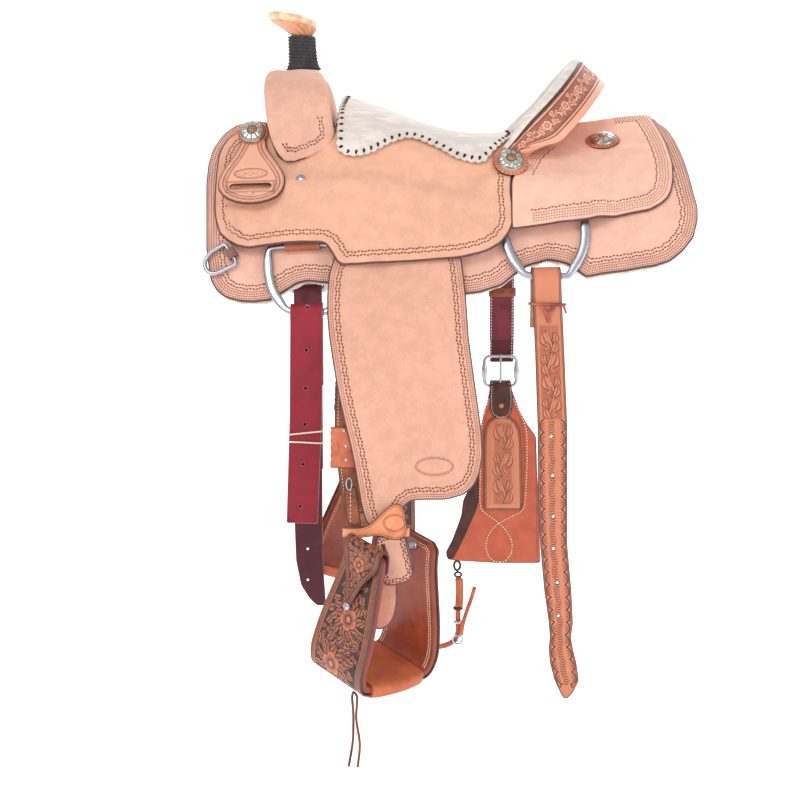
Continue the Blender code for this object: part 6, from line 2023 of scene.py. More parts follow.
# ---------------------------------------------------------------- skirts
for tag, sgn in NEAR_OFF:
    surf = side if sgn < 0 else off_side
    shape = skirt if sgn < 0 else skirt_far
    wob = ripple(0.0005, 26.0, 3)
    obj, line = panel("skirt_leather_" + tag, surf, shape, wrapped(skirt_in), lambda a, b, w=wob: skirt_out(a, b) + w(a, b) * 0.6, (ROUGHOUT, EDGE, FLESH), "saddle", ("skirt_" + tag,), step=0.013, radius=0.0022, slot="roughout", bands=FINE)
    low = lambda a, b: np.abs(b) > 0.12 + 0.0 * a
    low_or_rear = lambda a, b: (np.abs(b) > 0.10) | (a > 0.27)
    work = Solid()
    top = lambda a, b, w=wob: skirt_out(a, b) + w(a, b) * 0.6
    basket(work, surf, top, line, keep=low_or_rear, bands=(0.0044, 0.0080, 0.0116, 0.0152))
    wavy(work, surf, top, line, (0.0196, 0.0250), keep=low_or_rear)
    work.make("skirt_tooling_" + tag, (DASH,), "saddle", slot="roughout")
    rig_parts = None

# ---------------------------------------------------------------- fleece
for tag, sgn in NEAR_OFF:
    surf = side if sgn < 0 else off_side
    shape = skirt if sgn < 0 else skirt_far
    rng = np.random.default_rng(11 if sgn < 0 else 12)
    tufts = ripple(0.0022, 240.0, 21 if sgn < 0 else 22)
    tufts2 = ripple(0.0012, 620.0, 31 if sgn < 0 else 32)
    body_off = lambda a, b, t=tufts, u=tufts2: -(fleece_in(a, b) + 0.0028 + t(a, b) + u(a, b))
    turned_in = lambda a, b, off, s=surf: s(a, b, -off)
    obj, line = panel("wool_" + tag, turned_in, inset_line(shape, 0.0015), lambda a, b: -fleece_out(a, b), body_off, (WOOL, WOOL, WOOL), "saddle", ("fleece_" + tag,), step=0.0062, longest=0.005, radius=0.006, slot="fleece")
    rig.padded(obj, 0.5)

# ---------------------------------------------------------------- seat jockey
wob_j = ripple(0.0006, 22.0, 5)


def seat_top(a, b):
    return jockey_top(a, b) + wob_j(a, b) * smoothstep((np.abs(b) - 0.10) / 0.05)


UNDER_TIP = [(338, 112), (336, 124), (333.5, 134), (321, 145), (307, 155.5), (294, 160.5), (285, 160.5), (279, 156), (274.5, 146), (270, 134), (266, 121)]
SWAP = [(338, 112), (338, 128), (336, 139), (324, 149), (309, 160), (294, 165), (284, 165), (276, 160), (271.5, 148), (266.5, 134), (263, 121)]
new_pts, old_pts = find(side, UNDER_TIP, jockey_top), find(side, SWAP, jockey_top)
for sgn in (-1.0, 1.0):
    for a_, b_ in zip(old_pts, new_pts):
        a_, b_ = a_ * (1, -sgn), b_ * (1, -sgn)
        k_ = int(np.argmin(((jockey_outline - a_) ** 2).sum(1)))
        if np.linalg.norm(jockey_outline[k_] - a_) < 0.002:
            jockey_outline[k_] = b_
obj, jockey_line = panel("seat_leather", side, jockey_outline, wrapped(jockey_off), seat_top, (JOCKEY_MAT, EDGE, FLESH), "saddle", ("seat_jockey",), step=0.010, radius=0.0020, slot="roughout", bands=FINE, ease=1)
for tag, sgn in NEAR_OFF:
    work = Solid()

    def keep(a, b, sgn=sgn):
        seen = look(side(a, -np.abs(b), 0.012))
        u, v = seen[:, 0], seen[:, 1]
        notch = (u > 262) & (u < 346) & (v < 178)
        hidden = (v < 152) & (u > 330)
        return (b * sgn > 0.05) & ~notch & ~hidden & (np.abs(b) > 0.10)

    wavy(work, side, seat_top, jockey_line, (0.0130, 0.0186), keep=keep)
    work.make("seat_tooling_" + tag, (DASH,), "saddle", slot="roughout")

# ---------------------------------------------------------------- seat inlay
def scallop(poly, pitch, depth):
    fine = resampled(poly, 0.0011)
    n = len(fine)
    total = n * 0.0011
    count = max(8, int(round(total / pitch)))
    phase = np.arange(n) / n * count * 2 * math.pi
    lift = np.abs(np.sin(phase / 2)) ** 0.7
    return fine - inward(fine) * (depth * (lift - 0.5))[:, None]


inlay_scallop = scallop(softened(inlay_outline, 0.004, 1), 0.0108, 0.0024)
seat_wave = ripple(0.0009, 34.0, 17)


def inlay_top(a, b):
    crown = 0.0
    return inlay_out(a, b) + 0.0004 + seat_wave(a, b) * 0.8 * smoothstep((0.13 - np.abs(b)) / 0.04)


obj, inlay_line = panel("seat_suede", side, inlay_scallop, wrapped(inlay_in), inlay_top, (SUEDE, SUEDE_EDGE, SUEDE), "saddle", ("seat_inlay",), step=0.009, longest=0.0016, radius=0.0009, ease=0, slot="suede")
# packing that carries the suede above the seat leather
core = Solid()
base_line = inset_line(inlay_outline, 0.004)
panel("seat_packing", side, base_line, lambda a, b: jockey_top(a, b) + 0.0001, lambda a, b: inlay_in(a, b) - 0.0001, (SUEDE_EDGE, SUEDE_EDGE, SUEDE_EDGE), "saddle", step=0.02, longest=0.005, radius=0.0008, slot="suede")
laces = Solid()
for p, t in rows_at(softened(inlay_outline, 0.004, 1), 0.0052, 0.0112):
    n2 = np.stack((-t[:, 1], t[:, 0]), -1)
    lean = unit(n2 + t * 0.35)
    at, along, out = on_surface(side, inlay_top, p, lean)
    marks(laces, at, along, out, 0.0072, 0.0038, 0.0011, 0, sides=10)
    # the lace's short run to the edge
    at2, along2, out2 = on_surface(side, inlay_top, p - n2 * 0.0001, lean)
    marks(laces, at2 + along2 * 0.0012, along2, out2, 0.0040, 0.0044, 0.0014, 0, sides=8)
laces.make("seat_lacing", (LACE_BLACK,), "saddle", slot="dark_leather")

# ---------------------------------------------------------------- rear jockeys
front_pts = find(side, [(511.0, 180), (511.0, 197), (511.0, 213), (511.5, 229)], rear_top)
rear_shape = np.vstack((rear_outline[1:-2], front_pts[front_pts[:, 1] < -0.134]))
for tag, sgn in NEAR_OFF:
    surf = side if sgn < 0 else off_side
    wob = ripple(0.0006, 24.0, 8)
    top = lambda a, b, w=wob: rear_top(a, b) + w(a, b) * 0.7
    obj, line = panel("rear_leather_" + tag, surf, rear_shape, wrapped(rear_off), top, (REAR_MAT, EDGE, FLESH), "saddle", ("rear_jockey_" + tag,), step=0.011, radius=0.0020, slot="roughout", bands=FINE)
    keep = lambda a, b: ((b < -0.10) & (a > 0.112)) | (a > 0.255)
    work = Solid()
    stitch_rows(work, surf, top, line, (0.0080, 0.0120, 0.0160, 0.0200), pitch=0.0038, length=0.0022, width=0.0016, height=0.0004, keep=keep)
    wavy(work, surf, top, line, (0.0252,), keep=keep, scale=0.95)
    work.make("rear_tooling_" + tag, (DASH,), "saddle", slot="roughout")


# ================================================================ fork and horn
def sheet_solid(solid, inner, outer, mats=(0, 1, 2), **attrs):
    """Thick sheet between two grids (rows, columns, 3): outer face, rim, inner face."""
    inner, outer = np.asarray(inner, float), np.asarray(outer, float)
    r, c = outer.shape[:2]
    m = r * c
    verts = np.vstack((outer.reshape(-1, 3), inner.reshape(-1, 3)))
    faces, mat = [], []
    for q in grid_faces(r, c):
        faces.append(q)
        mat.append(mats[0])
    for q in grid_faces(r, c, flip=True):
        faces.append(tuple(i + m for i in q))
        mat.append(mats[2])
    rim = [j for j in range(c)] + [i * c + c - 1 for i in range(1, r)]
    rim += [(r - 1) * c + j for j in range(c - 2, -1, -1)] + [i * c for i in range(r - 2, 0, -1)]
    for k, i in enumerate(rim):
        j = rim[(k + 1) % len(rim)]
        faces.append((j, i, i + m, j + m))
        mat.append(mats[1])
    full = {}
    for key, value in attrs.items():
        value = np.asarray(value, float)
        full[key] = np.concatenate((value.reshape(-1), np.full(m, value.min()))) if value.ndim else value
    faces = outward_fast(verts, faces)
    return solid.add(verts, faces, mat, **full)


FORK_SEEN = FORK.copy()
FORK_SEEN[:6, 4] = (-0.2700, -0.2775, -0.2815, -0.2835, -0.2832, -0.2818)
FORK_ROWS = spline(FORK_SEEN, 70, closed=False)


def fork_profile(row, sign, inset):
    yo, zo, yi, zi, xf, xr = row
    d = np.array((yo - yi, zo - zi))
    length = np.linalg.norm(d)
    d /= length
    xf, xr = xf + inset, xr - inset
    top = length - inset
    c = min(0.0068, (xr - xf) * 0.3)
    pts = [(xf, r) for r in np.linspace(0, top - c, 7)]
    pts += [(xf + c - c * math.cos(a), top - c + c * math.sin(a)) for a in np.radians((22, 45, 68))]
    pts += [(x, top) for x in np.linspace(xf + c, xr - c, 11)]
    pts += [(xr - c + c * math.sin(a), top - c + c * math.cos(a)) for a in np.radians((22, 45, 68))]
    pts += [(xr, r) for r in np.linspace(top - c, 0, 7)]
    return np.array([(x, sign * (yi + d[0] * r), zi + d[1] * r) for x, r in pts])


def fork_grid(inset):
    near = [fork_profile(row, -1, inset) for row in FORK_ROWS]
    off = [fork_profile(row, 1, inset) for row in FORK_ROWS]
    return np.array(near[::-1] + off[1:])


outer = fork_grid(0.0)
cols = outer.shape[1]
dist = np.minimum(np.arange(len(outer)), np.arange(len(outer))[::-1])[:, None] * 0.0032
dist = np.minimum(dist, np.minimum(np.arange(cols), np.arange(cols)[::-1])[None, :] * 0.006) + 0.0 * outer[..., 0]
wob = ripple(0.0009, 60.0, 9)
puff = wob(outer[..., 1], outer[..., 0] * 1.7 + outer[..., 2])
centre_dir = unit(outer - np.stack((outer[..., 0], outer[..., 1] * 0.55, outer[..., 2] * 0 + 0.03), -1))
outer = outer + centre_dir * (puff * smoothstep(dist / 0.01))[..., None]
piece = Solid()
sheet_solid(piece, fork_grid(0.0040), outer, (0, 1, 2), bd=dist)
piece.make("fork_leather", (FORK_MAT, EDGE, FLESH), "saddle", ("fork_cover",), slot="roughout", sharp=60)

# the fork's sides as a surface: x, and q metres round the swell from the centre
FORK_Q = np.concatenate(([0], np.cumsum(np.hypot(np.diff(FORK_ROWS[:, 0]), np.diff(FORK_ROWS[:, 1])))))


def fork_side(x, q, off=0.0):
    x, q = np.broadcast_arrays(np.asarray(x, float), np.asarray(q, float))
    row = [np.interp(np.abs(q), FORK_Q, FORK_ROWS[:, k]) for k in range(6)]
    d = np.stack((row[0] - row[2], row[1] - row[3]), -1)
    d = unit(d)
    c = np.minimum(0.0068, (row[5] - row[4]) * 0.3)
    e = np.minimum(x - row[4], row[5] - x)
    drop = np.where(e < c, c - np.sqrt(np.maximum(c**2 - (c - np.clip(e, 0, c)) ** 2, 0)), 0)
    off = np.asarray(off, float) - drop
    s = np.where(q < 0, -1.0, 1.0)
    return np.stack((x, s * (row[0] + d[..., 0] * off), row[1] + d[..., 1] * off), -1)


for sgn in (-1, 1):
    qs = np.linspace(0.02, FORK_Q[-1], 60)
    xf = np.interp(qs, FORK_Q, FORK_ROWS[:, 4])
    xr = np.interp(qs, FORK_Q, FORK_ROWS[:, 5])
    poly = np.vstack((np.stack((xf, qs * sgn), -1), np.stack((xr, qs * sgn), -1)[::-1]))
    work = Solid()

    def keep(x, q):
        front = np.interp(np.abs(q), FORK_Q, FORK_ROWS[:, 4])
        return (np.abs(q) > FORK_Q[-1] - 0.066) & ((x > front + 0.024) | (np.abs(q) > FORK_Q[-1] - 0.026))

    wavy(work, fork_side, 0.0003, poly, (0.0150, 0.0195), keep=keep)
    work.make("fork_tooling_" + ("near" if sgn < 0 else "off"), (DASH, EDGE), "saddle", slot="roughout")

# ---------------------------------------------------------------- horn
def horn_at(x, z, tilt, r, ang):
    c, s = math.cos(math.radians(tilt)), math.sin(math.radians(tilt))
    return np.stack((x + r * np.cos(ang) * c, r * np.sin(ang), z - r * np.cos(ang) * s), -1)


SIDES = 72
ang = np.arange(SIDES) * 2 * math.pi / SIDES
prof = spline(np.array(HORN[3:]) * (1, 1, 1, 0.0005), 46, closed=False) * (1, 1, 1, 2000.0)
rng = np.random.default_rng(4)
crinkle = [(rng.integers(3, 14), rng.uniform(0, 6.28), rng.uniform(90, 420), rng.uniform(0, 6.28)) for _ in range(12)]
loops, tone = [], []
for x, z, r, tilt in prof:
    cone = window(z, 0.190, 0.196, 0.209, 0.2135)
    roll = window(z, 0.2125, 0.2155, 0.2205, 0.2245)
    fold = sum(np.sin(n * ang + p + k * z) for n, p, k, q in crinkle) / 4.5
    rr = r + 0.0011 * cone * fold + 0.0009 * roll - 0.0002
    rr = rr + 0.0006 * np.sin(3 * ang + 1.0) + 0.0005 * np.sin(5 * ang)
    loops.append(horn_at(x, z, tilt, rr, ang))
    tone.append(np.full(SIDES, z))
loops = np.array(loops)
top_pole = loops[-1].mean(0) + (0, 0, 0.0003)
inner = [horn_at(x, z - 0.0008, t, max(r - 0.0040, 0.0129), ang) for x, z, r, t in HORN[3:9]]
piece = Solid()
verts = np.vstack((np.array(inner)[::-1].reshape(-1, 3), loops.reshape(-1, 3), [top_pole], [inner[-1].mean(0)]))
count = len(inner) + len(loops)
faces = grid_faces(count, SIDES, wrap_cols=True)
mat = []
for q in faces:
    i = q[0] // SIDES - len(inner)
    mat.append(1 if i < len(prof) and prof[max(i, 0)][1] < 0.2132 else 0)
a, last = count * SIDES, (count - 1) * SIDES
faces += [(last + j, last + (j + 1) % SIDES, a) for j in range(SIDES)]
faces += [((j + 1) % SIDES, j, a + 1) for j in range(SIDES)]
mat += [0] * SIDES + [1] * SIDES
faces = outward_fast(verts, faces)
piece.add(verts, faces, mat)
piece.make("horn_cap", (RAWHIDE, CONE, EDGE_RAW), "saddle", ("horn_cap_cover",), slot="rawhide")

# wrap: rows of laced rubber round the neck, flared at the foot
wrap_z = [0.1422, 0.1440, 0.1462, 0.150, 0.155, 0.170, 0.1925]
wrap_r = [0.0262, 0.0256, 0.0246, 0.0228, 0.0216, 0.0208, 0.0204]
zs = np.linspace(0.1422, 0.1928, 200)
ang = np.arange(120) * 2 * math.pi / 120
loops = []
for z in zs:
    x = np.interp(z, [0.1424, 0.170, 0.1925], [-0.2308, -0.2325, -0.2334])
    turns = (z - 0.1422) / 0.0050 + ang / (2 * math.pi)
    ridge = np.abs(np.sin(math.pi * turns)) ** 0.6
    row = np.floor(turns)
    braid = np.sin(18 * ang + row * 2.4 + 2.6 * (turns - row)) * 0.0010
    r = np.interp(z, wrap_z, wrap_r) + 0.0018 * ridge + braid * ridge - 0.0010
    loops.append(np.stack((x + r * np.cos(ang), r * np.sin(ang), z + 0 * ang), -1))
hole = [np.stack((np.interp(z, [0.1424, 0.1925], [-0.2310, -0.2334]) + 0.0133 * np.cos(ang), 0.0133 * np.sin(ang), z + 0 * ang), -1) for z in (0.1928, 0.1675, 0.1422)]
piece = Solid()
lofted(piece, np.array(loops + hole), 0, closed=True)
piece.make("horn_rubber", (RUBBER,), "saddle", ("horn_wrap",), slot="rubber_wrap")

# ================================================================ cantle
COUNT = 521
tt = np.linspace(-1, 1, COUNT)
P, M = rim_frames(COUNT)
for _ in range(6):
    M = unit(np.vstack((M[:1], (M[:-2] + 2 * M[1:-1] + M[2:]) / 4, M[-1:])))
arc_len = np.concatenate(([0], np.cumsum(np.linalg.norm(np.diff(P, axis=0), axis=1))))
band_k = 1 - 0.62 * smoothstep((np.abs(tt) - 0.80) / 0.20)
depth = 0.050 * (1 - 0.80 * smoothstep((np.abs(tt) - 0.74) / 0.26))

art = Carving(arc_len[-1] + 0.002, 0.052, coarse=1.3, hollow=1.1)
art.ground(lambda x, y: smoothstep((y - 0.0062) / 0.0006) * (1 - smoothstep((y - 0.0330) / 0.0006)), depth=-0.40)
vine(art, 0.010, arc_len[-1] - 0.008, lambda x: 0.0195, 0.0048, 0.046, 0.0190, seed=3)
line_x = np.arange(0, arc_len[-1], 0.0015)
for y in (0.0040, 0.0362):
    art.line(np.stack((line_x, line_x * 0 + y), -1), 0.0013, 0.8, rope=0.0030)
for y in (0.0064, 0.0334, 0.0386):
    art.line(np.stack((line_x, line_x * 0 + y), -1), 0.00045, -0.9)
art.blurred(1)

WB = 46
w = np.linspace(0, 1, WB)
n_mm = depth[:, None] * w[None, :]
scale_n = 0.050 / np.maximum(depth, 0.012)
carve = art.read(np.repeat(arc_len[:, None], WB, 1), n_mm * np.clip(scale_n, 1, 1.9)[:, None])
ends = smoothstep((1 - np.abs(tt)) / 0.03)
band = P[:, None] + RIM_N * n_mm[..., None] - M[:, None] * (0.00055 * carve * ends[:, None] + 0.0002)[..., None]
rounding = 0.0022 * (1 - np.sqrt(np.clip(1 - ((w - 0.955) / 0.045).clip(0, 1) ** 2, 0, 1)))
band = band + M[:, None] * rounding[None, :, None]
end = P + RIM_N * depth[:, None]
back_w = np.array((0.02, 0.06, 0.14, 0.25, 0.38, 0.52, 0.66, 0.80, 0.92, 1.0))
few = np.linspace(0, COUNT - 1, 131).round().astype(int)
back_rows = []
for i in few:
    _, cover = cantle_section(tt[i], P[i], M[i])
    far = cover[-1]
    line = [end[i] * (1 - q) + far * q - M[i] * 0.012 * band_k[i] * math.sin(math.pi * q) for q in back_w]
    back_rows.append(lifted(line))
back_rows = np.array(back_rows)
back = np.stack([np.stack([np.interp(np.arange(COUNT), few, back_rows[:, k, c]) for c in range(3)], -1) for k in range(len(back_w))], 1)
back = back + np.array((0, 0, 0.0006))
inner = [P + M * 0.0026 + RIM_N * 0.001, P + M * 0.0026 + RIM_N * depth[:, None] * 0.5, end + M * 0.0022 - RIM_N * 0.003]
inner += [back[:, 4] + M * 0.0028, back[:, 7] + M * 0.0028 + (0, 0, 0.0005), back[:, 9] + np.array((-0.004, 0, 0.0002))]
inner[3] = lifted(inner[3])
inner[4] = lifted(inner[4]) + (0, 0, 0.0008)
inner[5] = lifted(inner[5]) + (0, 0, 0.0006)
loops = np.concatenate((band, back, np.stack(inner, 1)[:, ::-1]), 1)
tone = np.concatenate((0.5 + 0.5 * carve, np.full((COUNT, len(back_w)), 0.66), np.full((COUNT, 6), 0.3)), 1)
piece = Solid()
lofted(piece, loops, 0, tone=tone.reshape(-1))
piece.make("cantle_leather", (TOOLED_CANTLE,), "saddle", ("cantle_cover",), slot="tooled", sharp=70)

# the dark welt on the rim
work = Solid()
sel = slice(16, COUNT - 16)
path = P[sel] + M[sel] * 0.0010 - RIM_N * 0.0004
rod(work, path, 0.0023, 1, up=RIM_N, sides=10)
work.make("cantle_welt", (THREAD, EDGE_BROWN), "saddle", slot="tooled")

# face of the dish
few_count = 141
PF, MF = rim_frames(few_count)
face_rows = []
for t, p, m in zip(np.linspace(-1, 1, few_count), PF, MF):
    face, _ = cantle_section(t, p, m)
    face_rows.append(spline(face, 34, closed=False))
face_rows = np.array(face_rows)
d = thickened(face_rows, 0.001) - face_rows
sign = 1.0 if d[few_count // 2, 22] @ np.array((-1.0, 0, 1.0)) > 0 else -1.0
rng = np.random.default_rng(6)
i, j = np.meshgrid(np.arange(few_count), np.arange(34), indexing="ij")
soft = 0.0007 * np.sin(i * 0.21 + 0.5 * np.sin(j * 0.4)) * np.sin(j * 0.33) + 0.0004 * np.sin(i * 0.55 + j * 0.2)
face_a = draped(face_rows)
normals = (thickened(face_rows, sign * 0.001) - face_rows) / 0.001
face_b = draped(face_rows + normals * (0.0032 + soft)[..., None])
face_b[:, -1, 2] += 0.0012
piece = Solid()
sheet_solid(piece, face_a, face_b, (0, 1, 0), bd=0.02)
obj = piece.make("cantle_suede", (SUEDE, SUEDE_EDGE), "saddle", ("cantle_face",), slot="suede")
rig.padded(obj, 0.8)

# ================================================================ conchos
def concho(label, tag):
    sgn = -1.0 if tag == "near" else 1.0
    x, s, o, p, down, nrm = CONCHO_AT[label]
    lift = {"front": 0.0092, "seat": 0.0040, "rear": 0.0022}[label]
    centre = side(x, s, o + lift)
    flip = np.array((1.0, -sgn, 1.0)) if sgn > 0 else np.array((1.0, 1.0, 1.0))
    centre, nrm, down = centre * (1, 1 if sgn < 0 else -1, 1), nrm * (1, 1 if sgn < 0 else -1, 1), down * (1, 1 if sgn < 0 else -1, 1)
    along = unit(np.cross(down, nrm))
    R = 0.0198
    rr = np.concatenate((np.linspace(0.02, 0.9, 34), np.linspace(0.915, 1.0, 10)))
    n = 120
    ang = np.arange(n) * 2 * math.pi / n
    r, th = np.meshgrid(rr, ang, indexing="ij")
    dome = 0.0016 + 0.0072 * np.sqrt(np.clip(1 - (r * 0.96) ** 2, 0, 1))
    flute = np.abs(np.cos(th * 5)) ** 0.8
    band = window(r, 0.34, 0.44, 0.80, 0.90)
    leafy = band * (0.8 * flute - 0.55 * (np.abs(np.cos(th * 5)) < 0.16) - 0.35 * np.exp(-((np.sin(th * 5) * r / 0.10) ** 2)))
    veins = band * 0.22 * np.cos(r * 46 + 3 * np.abs(np.sin(th * 5)))
    rope = window(r, 0.90, 0.925, 0.985, 1.02) * (0.5 + 0.5 * np.cos(th * 36 + r * 40))
    h = dome + 0.00075 * leafy + 0.0002 * veins + 0.0006 * rope
    h = np.where(r > 0.985, h * 0.55, h)
    tone = np.clip(0.62 + 0.55 * leafy + 0.5 * veins - 0.35 * window(r, 0.84, 0.87, 0.885, 0.91) - 0.6 * window(r, 0.30, 0.34, 0.36, 0.40), 0, 1)
    pos = centre + nrm * h[..., None] + R * r[..., None] * (np.cos(th)[..., None] * along + np.sin(th)[..., None] * down)
    low = centre + R * 1.0 * (np.cos(ang)[:, None] * along + np.sin(ang)[:, None] * down)
    verts = np.vstack((pos.reshape(-1, 3), low, [centre + nrm * h[0, 0]], [centre]))
    rows = len(rr) + 1
    faces = grid_faces(rows, n, wrap_cols=True)
    a, b, last = rows * n, rows * n + 1, (rows - 1) * n
    faces += [((j + 1) % n, j, a) for j in range(n)] + [(last + j, last + (j + 1) % n, b) for j in range(n)]
    piece = Solid()
    piece.add(verts, outward_fast(verts, faces), 0, tone=np.concatenate((tone.reshape(-1), np.full(n, 0.4), (0.9, 0.4))))
    # copper star in the middle
    m = 48
    a2 = np.arange(m) * 2 * math.pi / m
    star = 0.0058 * (0.62 + 0.38 * np.abs(np.cos(a2 * 3)) ** 0.9)
    peak = centre + nrm * (h[0, 0] + 0.0012)
    ring1 = centre + nrm * (h[0, 0] - 0.0010) + star[:, None] * (np.cos(a2)[:, None] * along + np.sin(a2)[:, None] * down)
    ring2 = centre + nrm * (h[0, 0] + 0.0004) + 0.86 * star[:, None] * (np.cos(a2)[:, None] * along + np.sin(a2)[:, None] * down)
    ring3 = centre + nrm * (h[0, 0] + 0.0010) + 0.35 * star[:, None] * (np.cos(a2)[:, None] * along + np.sin(a2)[:, None] * down)
    v = np.vstack((ring1, ring2, ring3, [peak], [centre + nrm * (h[0, 0] - 0.0014)]))
    f = grid_faces(3, m, wrap_cols=True) + [(2 * m + j, 2 * m + (j + 1) % m, 3 * m) for j in range(m)] + [((j + 1) % m, j, 3 * m + 1) for j in range(m)]
    piece.add(v, outward_fast(v, f), 1, tone=1.0)
    # scalloped leather rosette underneath
    rad = {"front": 0.0225, "seat": 0.0262, "rear": 0.0262}[label]
    t0, t1 = {"front": (-0.0010, 0.0006), "seat": (-0.0032, 0.0008), "rear": (-0.0018, 0.0008)}[label]
    m = 192
    a3 = np.arange(m) * 2 * math.pi / m
    sc = rad * (0.955 + 0.045 * np.abs(np.cos(a3 * 12)) ** 0.6)
    dirs = np.cos(a3)[:, None] * along + np.sin(a3)[:, None] * down
    rings_ = [(0.75, t1 + 0.0006), (0.80, t1 + 0.0004), (0.93, t1), (1.0, t1 - 0.0006), (1.0, t0 + 0.0003), (0.97, t0)]
    v = np.vstack([centre + nrm * z + dirs * (sc * k)[:, None] for k, z in rings_] + [[centre + nrm * (t1 + 0.0006)], [centre + nrm * t0]])
    f = grid_faces(len(rings_), m, wrap_cols=True)
    q = len(rings_) * m
    f += [((j + 1) % m, j, q) for j in range(m)] + [((len(rings_) - 1) * m + j, (len(rings_) - 1) * m + (j + 1) % m, q + 1) for j in range(m)]
    piece.add(v, outward_fast(v, f), [3 if (i // m) in (3, 4) else 2 for i in range(5 * m)] + [2] * (2 * m), tone=0.5)
    # punched dots round the rosette
    a4 = (np.arange(24) + 0.5) * 2 * math.pi / 24
    at = centre + nrm * (t1 + 0.0001) + (np.cos(a4)[:, None] * along + np.sin(a4)[:, None] * down) * rad * 0.885
    marks(piece, at, np.broadcast_to(along, at.shape), np.broadcast_to(nrm, at.shape), 0.0017, 0.0017, 0.0003, 3, tone=0.5)
    piece.make("concho_%s_silver_%s" % (label, tag), (SILVER, COPPER, ROSETTE, EDGE_BROWN), "saddle", ("concho_%s_%s" % (label, tag),), slot="silver")


for label in ("front", "seat", "rear"):
    for tag in ("near", "off"):
        concho(label, tag)

# slotted screws that hold the seat leather
for sgn in (-1.0, 1.0):
    xs = find(side, [(300.6, 179)], seat_top)[0]
    p, down, nrm = side_frame(xs[0], xs[1], float(seat_top(xs[:1], xs[1:])[0]))
    k = np.array((1.0, 1.0 if sgn < 0 else -1.0, 1.0))
    p, down, nrm = p * k, down * k, nrm * k
    piece = Solid()
    lathe(piece, [(0, -0.001), (0.0050, -0.001), (0.0056, 0.0002), (0.0054, 0.0014), (0.0044, 0.0022), (0.0026, 0.0027), (0.0012, 0.0028), (0, 0.0028)], p, nrm, 0, 32)
    marks(piece, [p + nrm * 0.0025], [unit(np.cross(down, nrm) + down * 0.4)], [nrm], 0.0078, 0.0012, 0.0005, 1, sides=8)
    lathe(piece, [(0, -0.001), (0.0072, -0.001), (0.0076, 0.0000), (0.0070, 0.0006), (0, 0.0006)], p, nrm, 0, 32)
    piece.make("seat_screw_" + ("near" if sgn < 0 else "off"), (CHROME, IRON), "saddle", slot="stainless")

# ================================================================ keeper
# carved in a box of its own: the slot, a border, and a plain low oval
lo2, hi2 = keeper_outline.min(0), keeper_outline.max(0)
art = Carving(hi2[0] - lo2[0] + 0.004, hi2[1] - lo2[1] + 0.004, plain=0.35)
shift = lo2 - 0.002
line_k = resampled(keeper_outline, 0.0012) - shift
inn_k = inward(line_k)
for d_, half_, val_, rope_ in ((0.0050, 0.0011, 0.9, 0.0026), (0.0078, 0.0005, -0.9, 0), (0.0103, 0.0009, 0.8, 0.0022), (0.0128, 0.0005, -0.9, 0)):
    ring_k = line_k + inn_k * d_
    ok = edge_distance(line_k, ring_k) > d_ * 0.93
    ring_k = ring_k[ok]
    ring_k = ring_k[ring_k[:, 1] > 0.030]
    if val_ > 0:
        art.beads(ring_k, half_, 0.0028, 0.8) if rope_ < 0.0024 else art.line(ring_k, half_, val_, rope=rope_)
    else:
        art.line(ring_k, half_, val_)
mid_slot = keeper_slot.mean(0) - shift
half_slot = (keeper_slot.max(0) - keeper_slot.min(0)) / 2
oval = np.radians(np.arange(0, 361, 6))
oc = find(keeper_plane, [(251, 173.6)], 0.0070, lo=(-0.08, -0.03), hi=(0.08, 0.15))[0] - shift
art.line(np.stack((oc[0] + 0.0250 * np.cos(oval), oc[1] + 0.0098 * np.sin(oval)), -1), 0.0005, -0.8)
art.line(np.stack((oc[0] + 0.0226 * np.cos(oval), oc[1] + 0.0078 * np.sin(oval)), -1), 0.0004, -0.6)
for k in (-1, 0, 1):
    art.leaf(oc[0] + k * 0.0125 - 0.005, oc[1], 0.0, 0.0105, 0.0062, lobes=2)
for grow in (0.0030, 0.0052):
    box_k = np.array([(-1, -1), (1, -1), (1, 1), (-1, 1), (-1, -1)], float) * (half_slot + grow) + mid_slot
    art.line(box_k, 0.0004, -0.85)
art.leaf(mid_slot[0] - 0.006, mid_slot[1] + 0.0125, 0.0, 0.012, 0.006, lobes=2)
art.blurred(1)


def keeper_relief(a, b):
    h = art_keeper.read(a - shift_keeper[0], b - shift_keeper[1])
    return 0.0005 * h, 0.5 + 0.5 * h


art_keeper, shift_keeper = art, shift.copy()
a0, a1 = keeper_slot[:, 0].min(), keeper_slot[:, 0].max()
b0, b1 = keeper_slot[:, 1].min(), keeper_slot[:, 1].max()
cx, cy, rx, ry = (a0 + a1) / 2, (b0 + b1) / 2, (a1 - a0) / 2, (b1 - b0) / 2
hole = [(cx + (rx - ry) + ry * math.cos(t), cy + ry * math.sin(t)) for t in np.radians(np.linspace(-90, 90, 9))]
hole += [(cx - (rx - ry) + ry * math.cos(t), cy + ry * math.sin(t)) for t in np.radians(np.linspace(90, 270, 9))]
obj, _ = panel("keeper_leather", keeper_plane, keeper_outline, 0.0036, 0.0076, (TOOLED_KEEPER, EDGE_BROWN, FLESH), "keeper", ("latigo_keeper",), step=0.0010, longest=0.0016, radius=0.0014, relief=keeper_relief, holes=[np.array(hole)], slot="harness", ease=1)

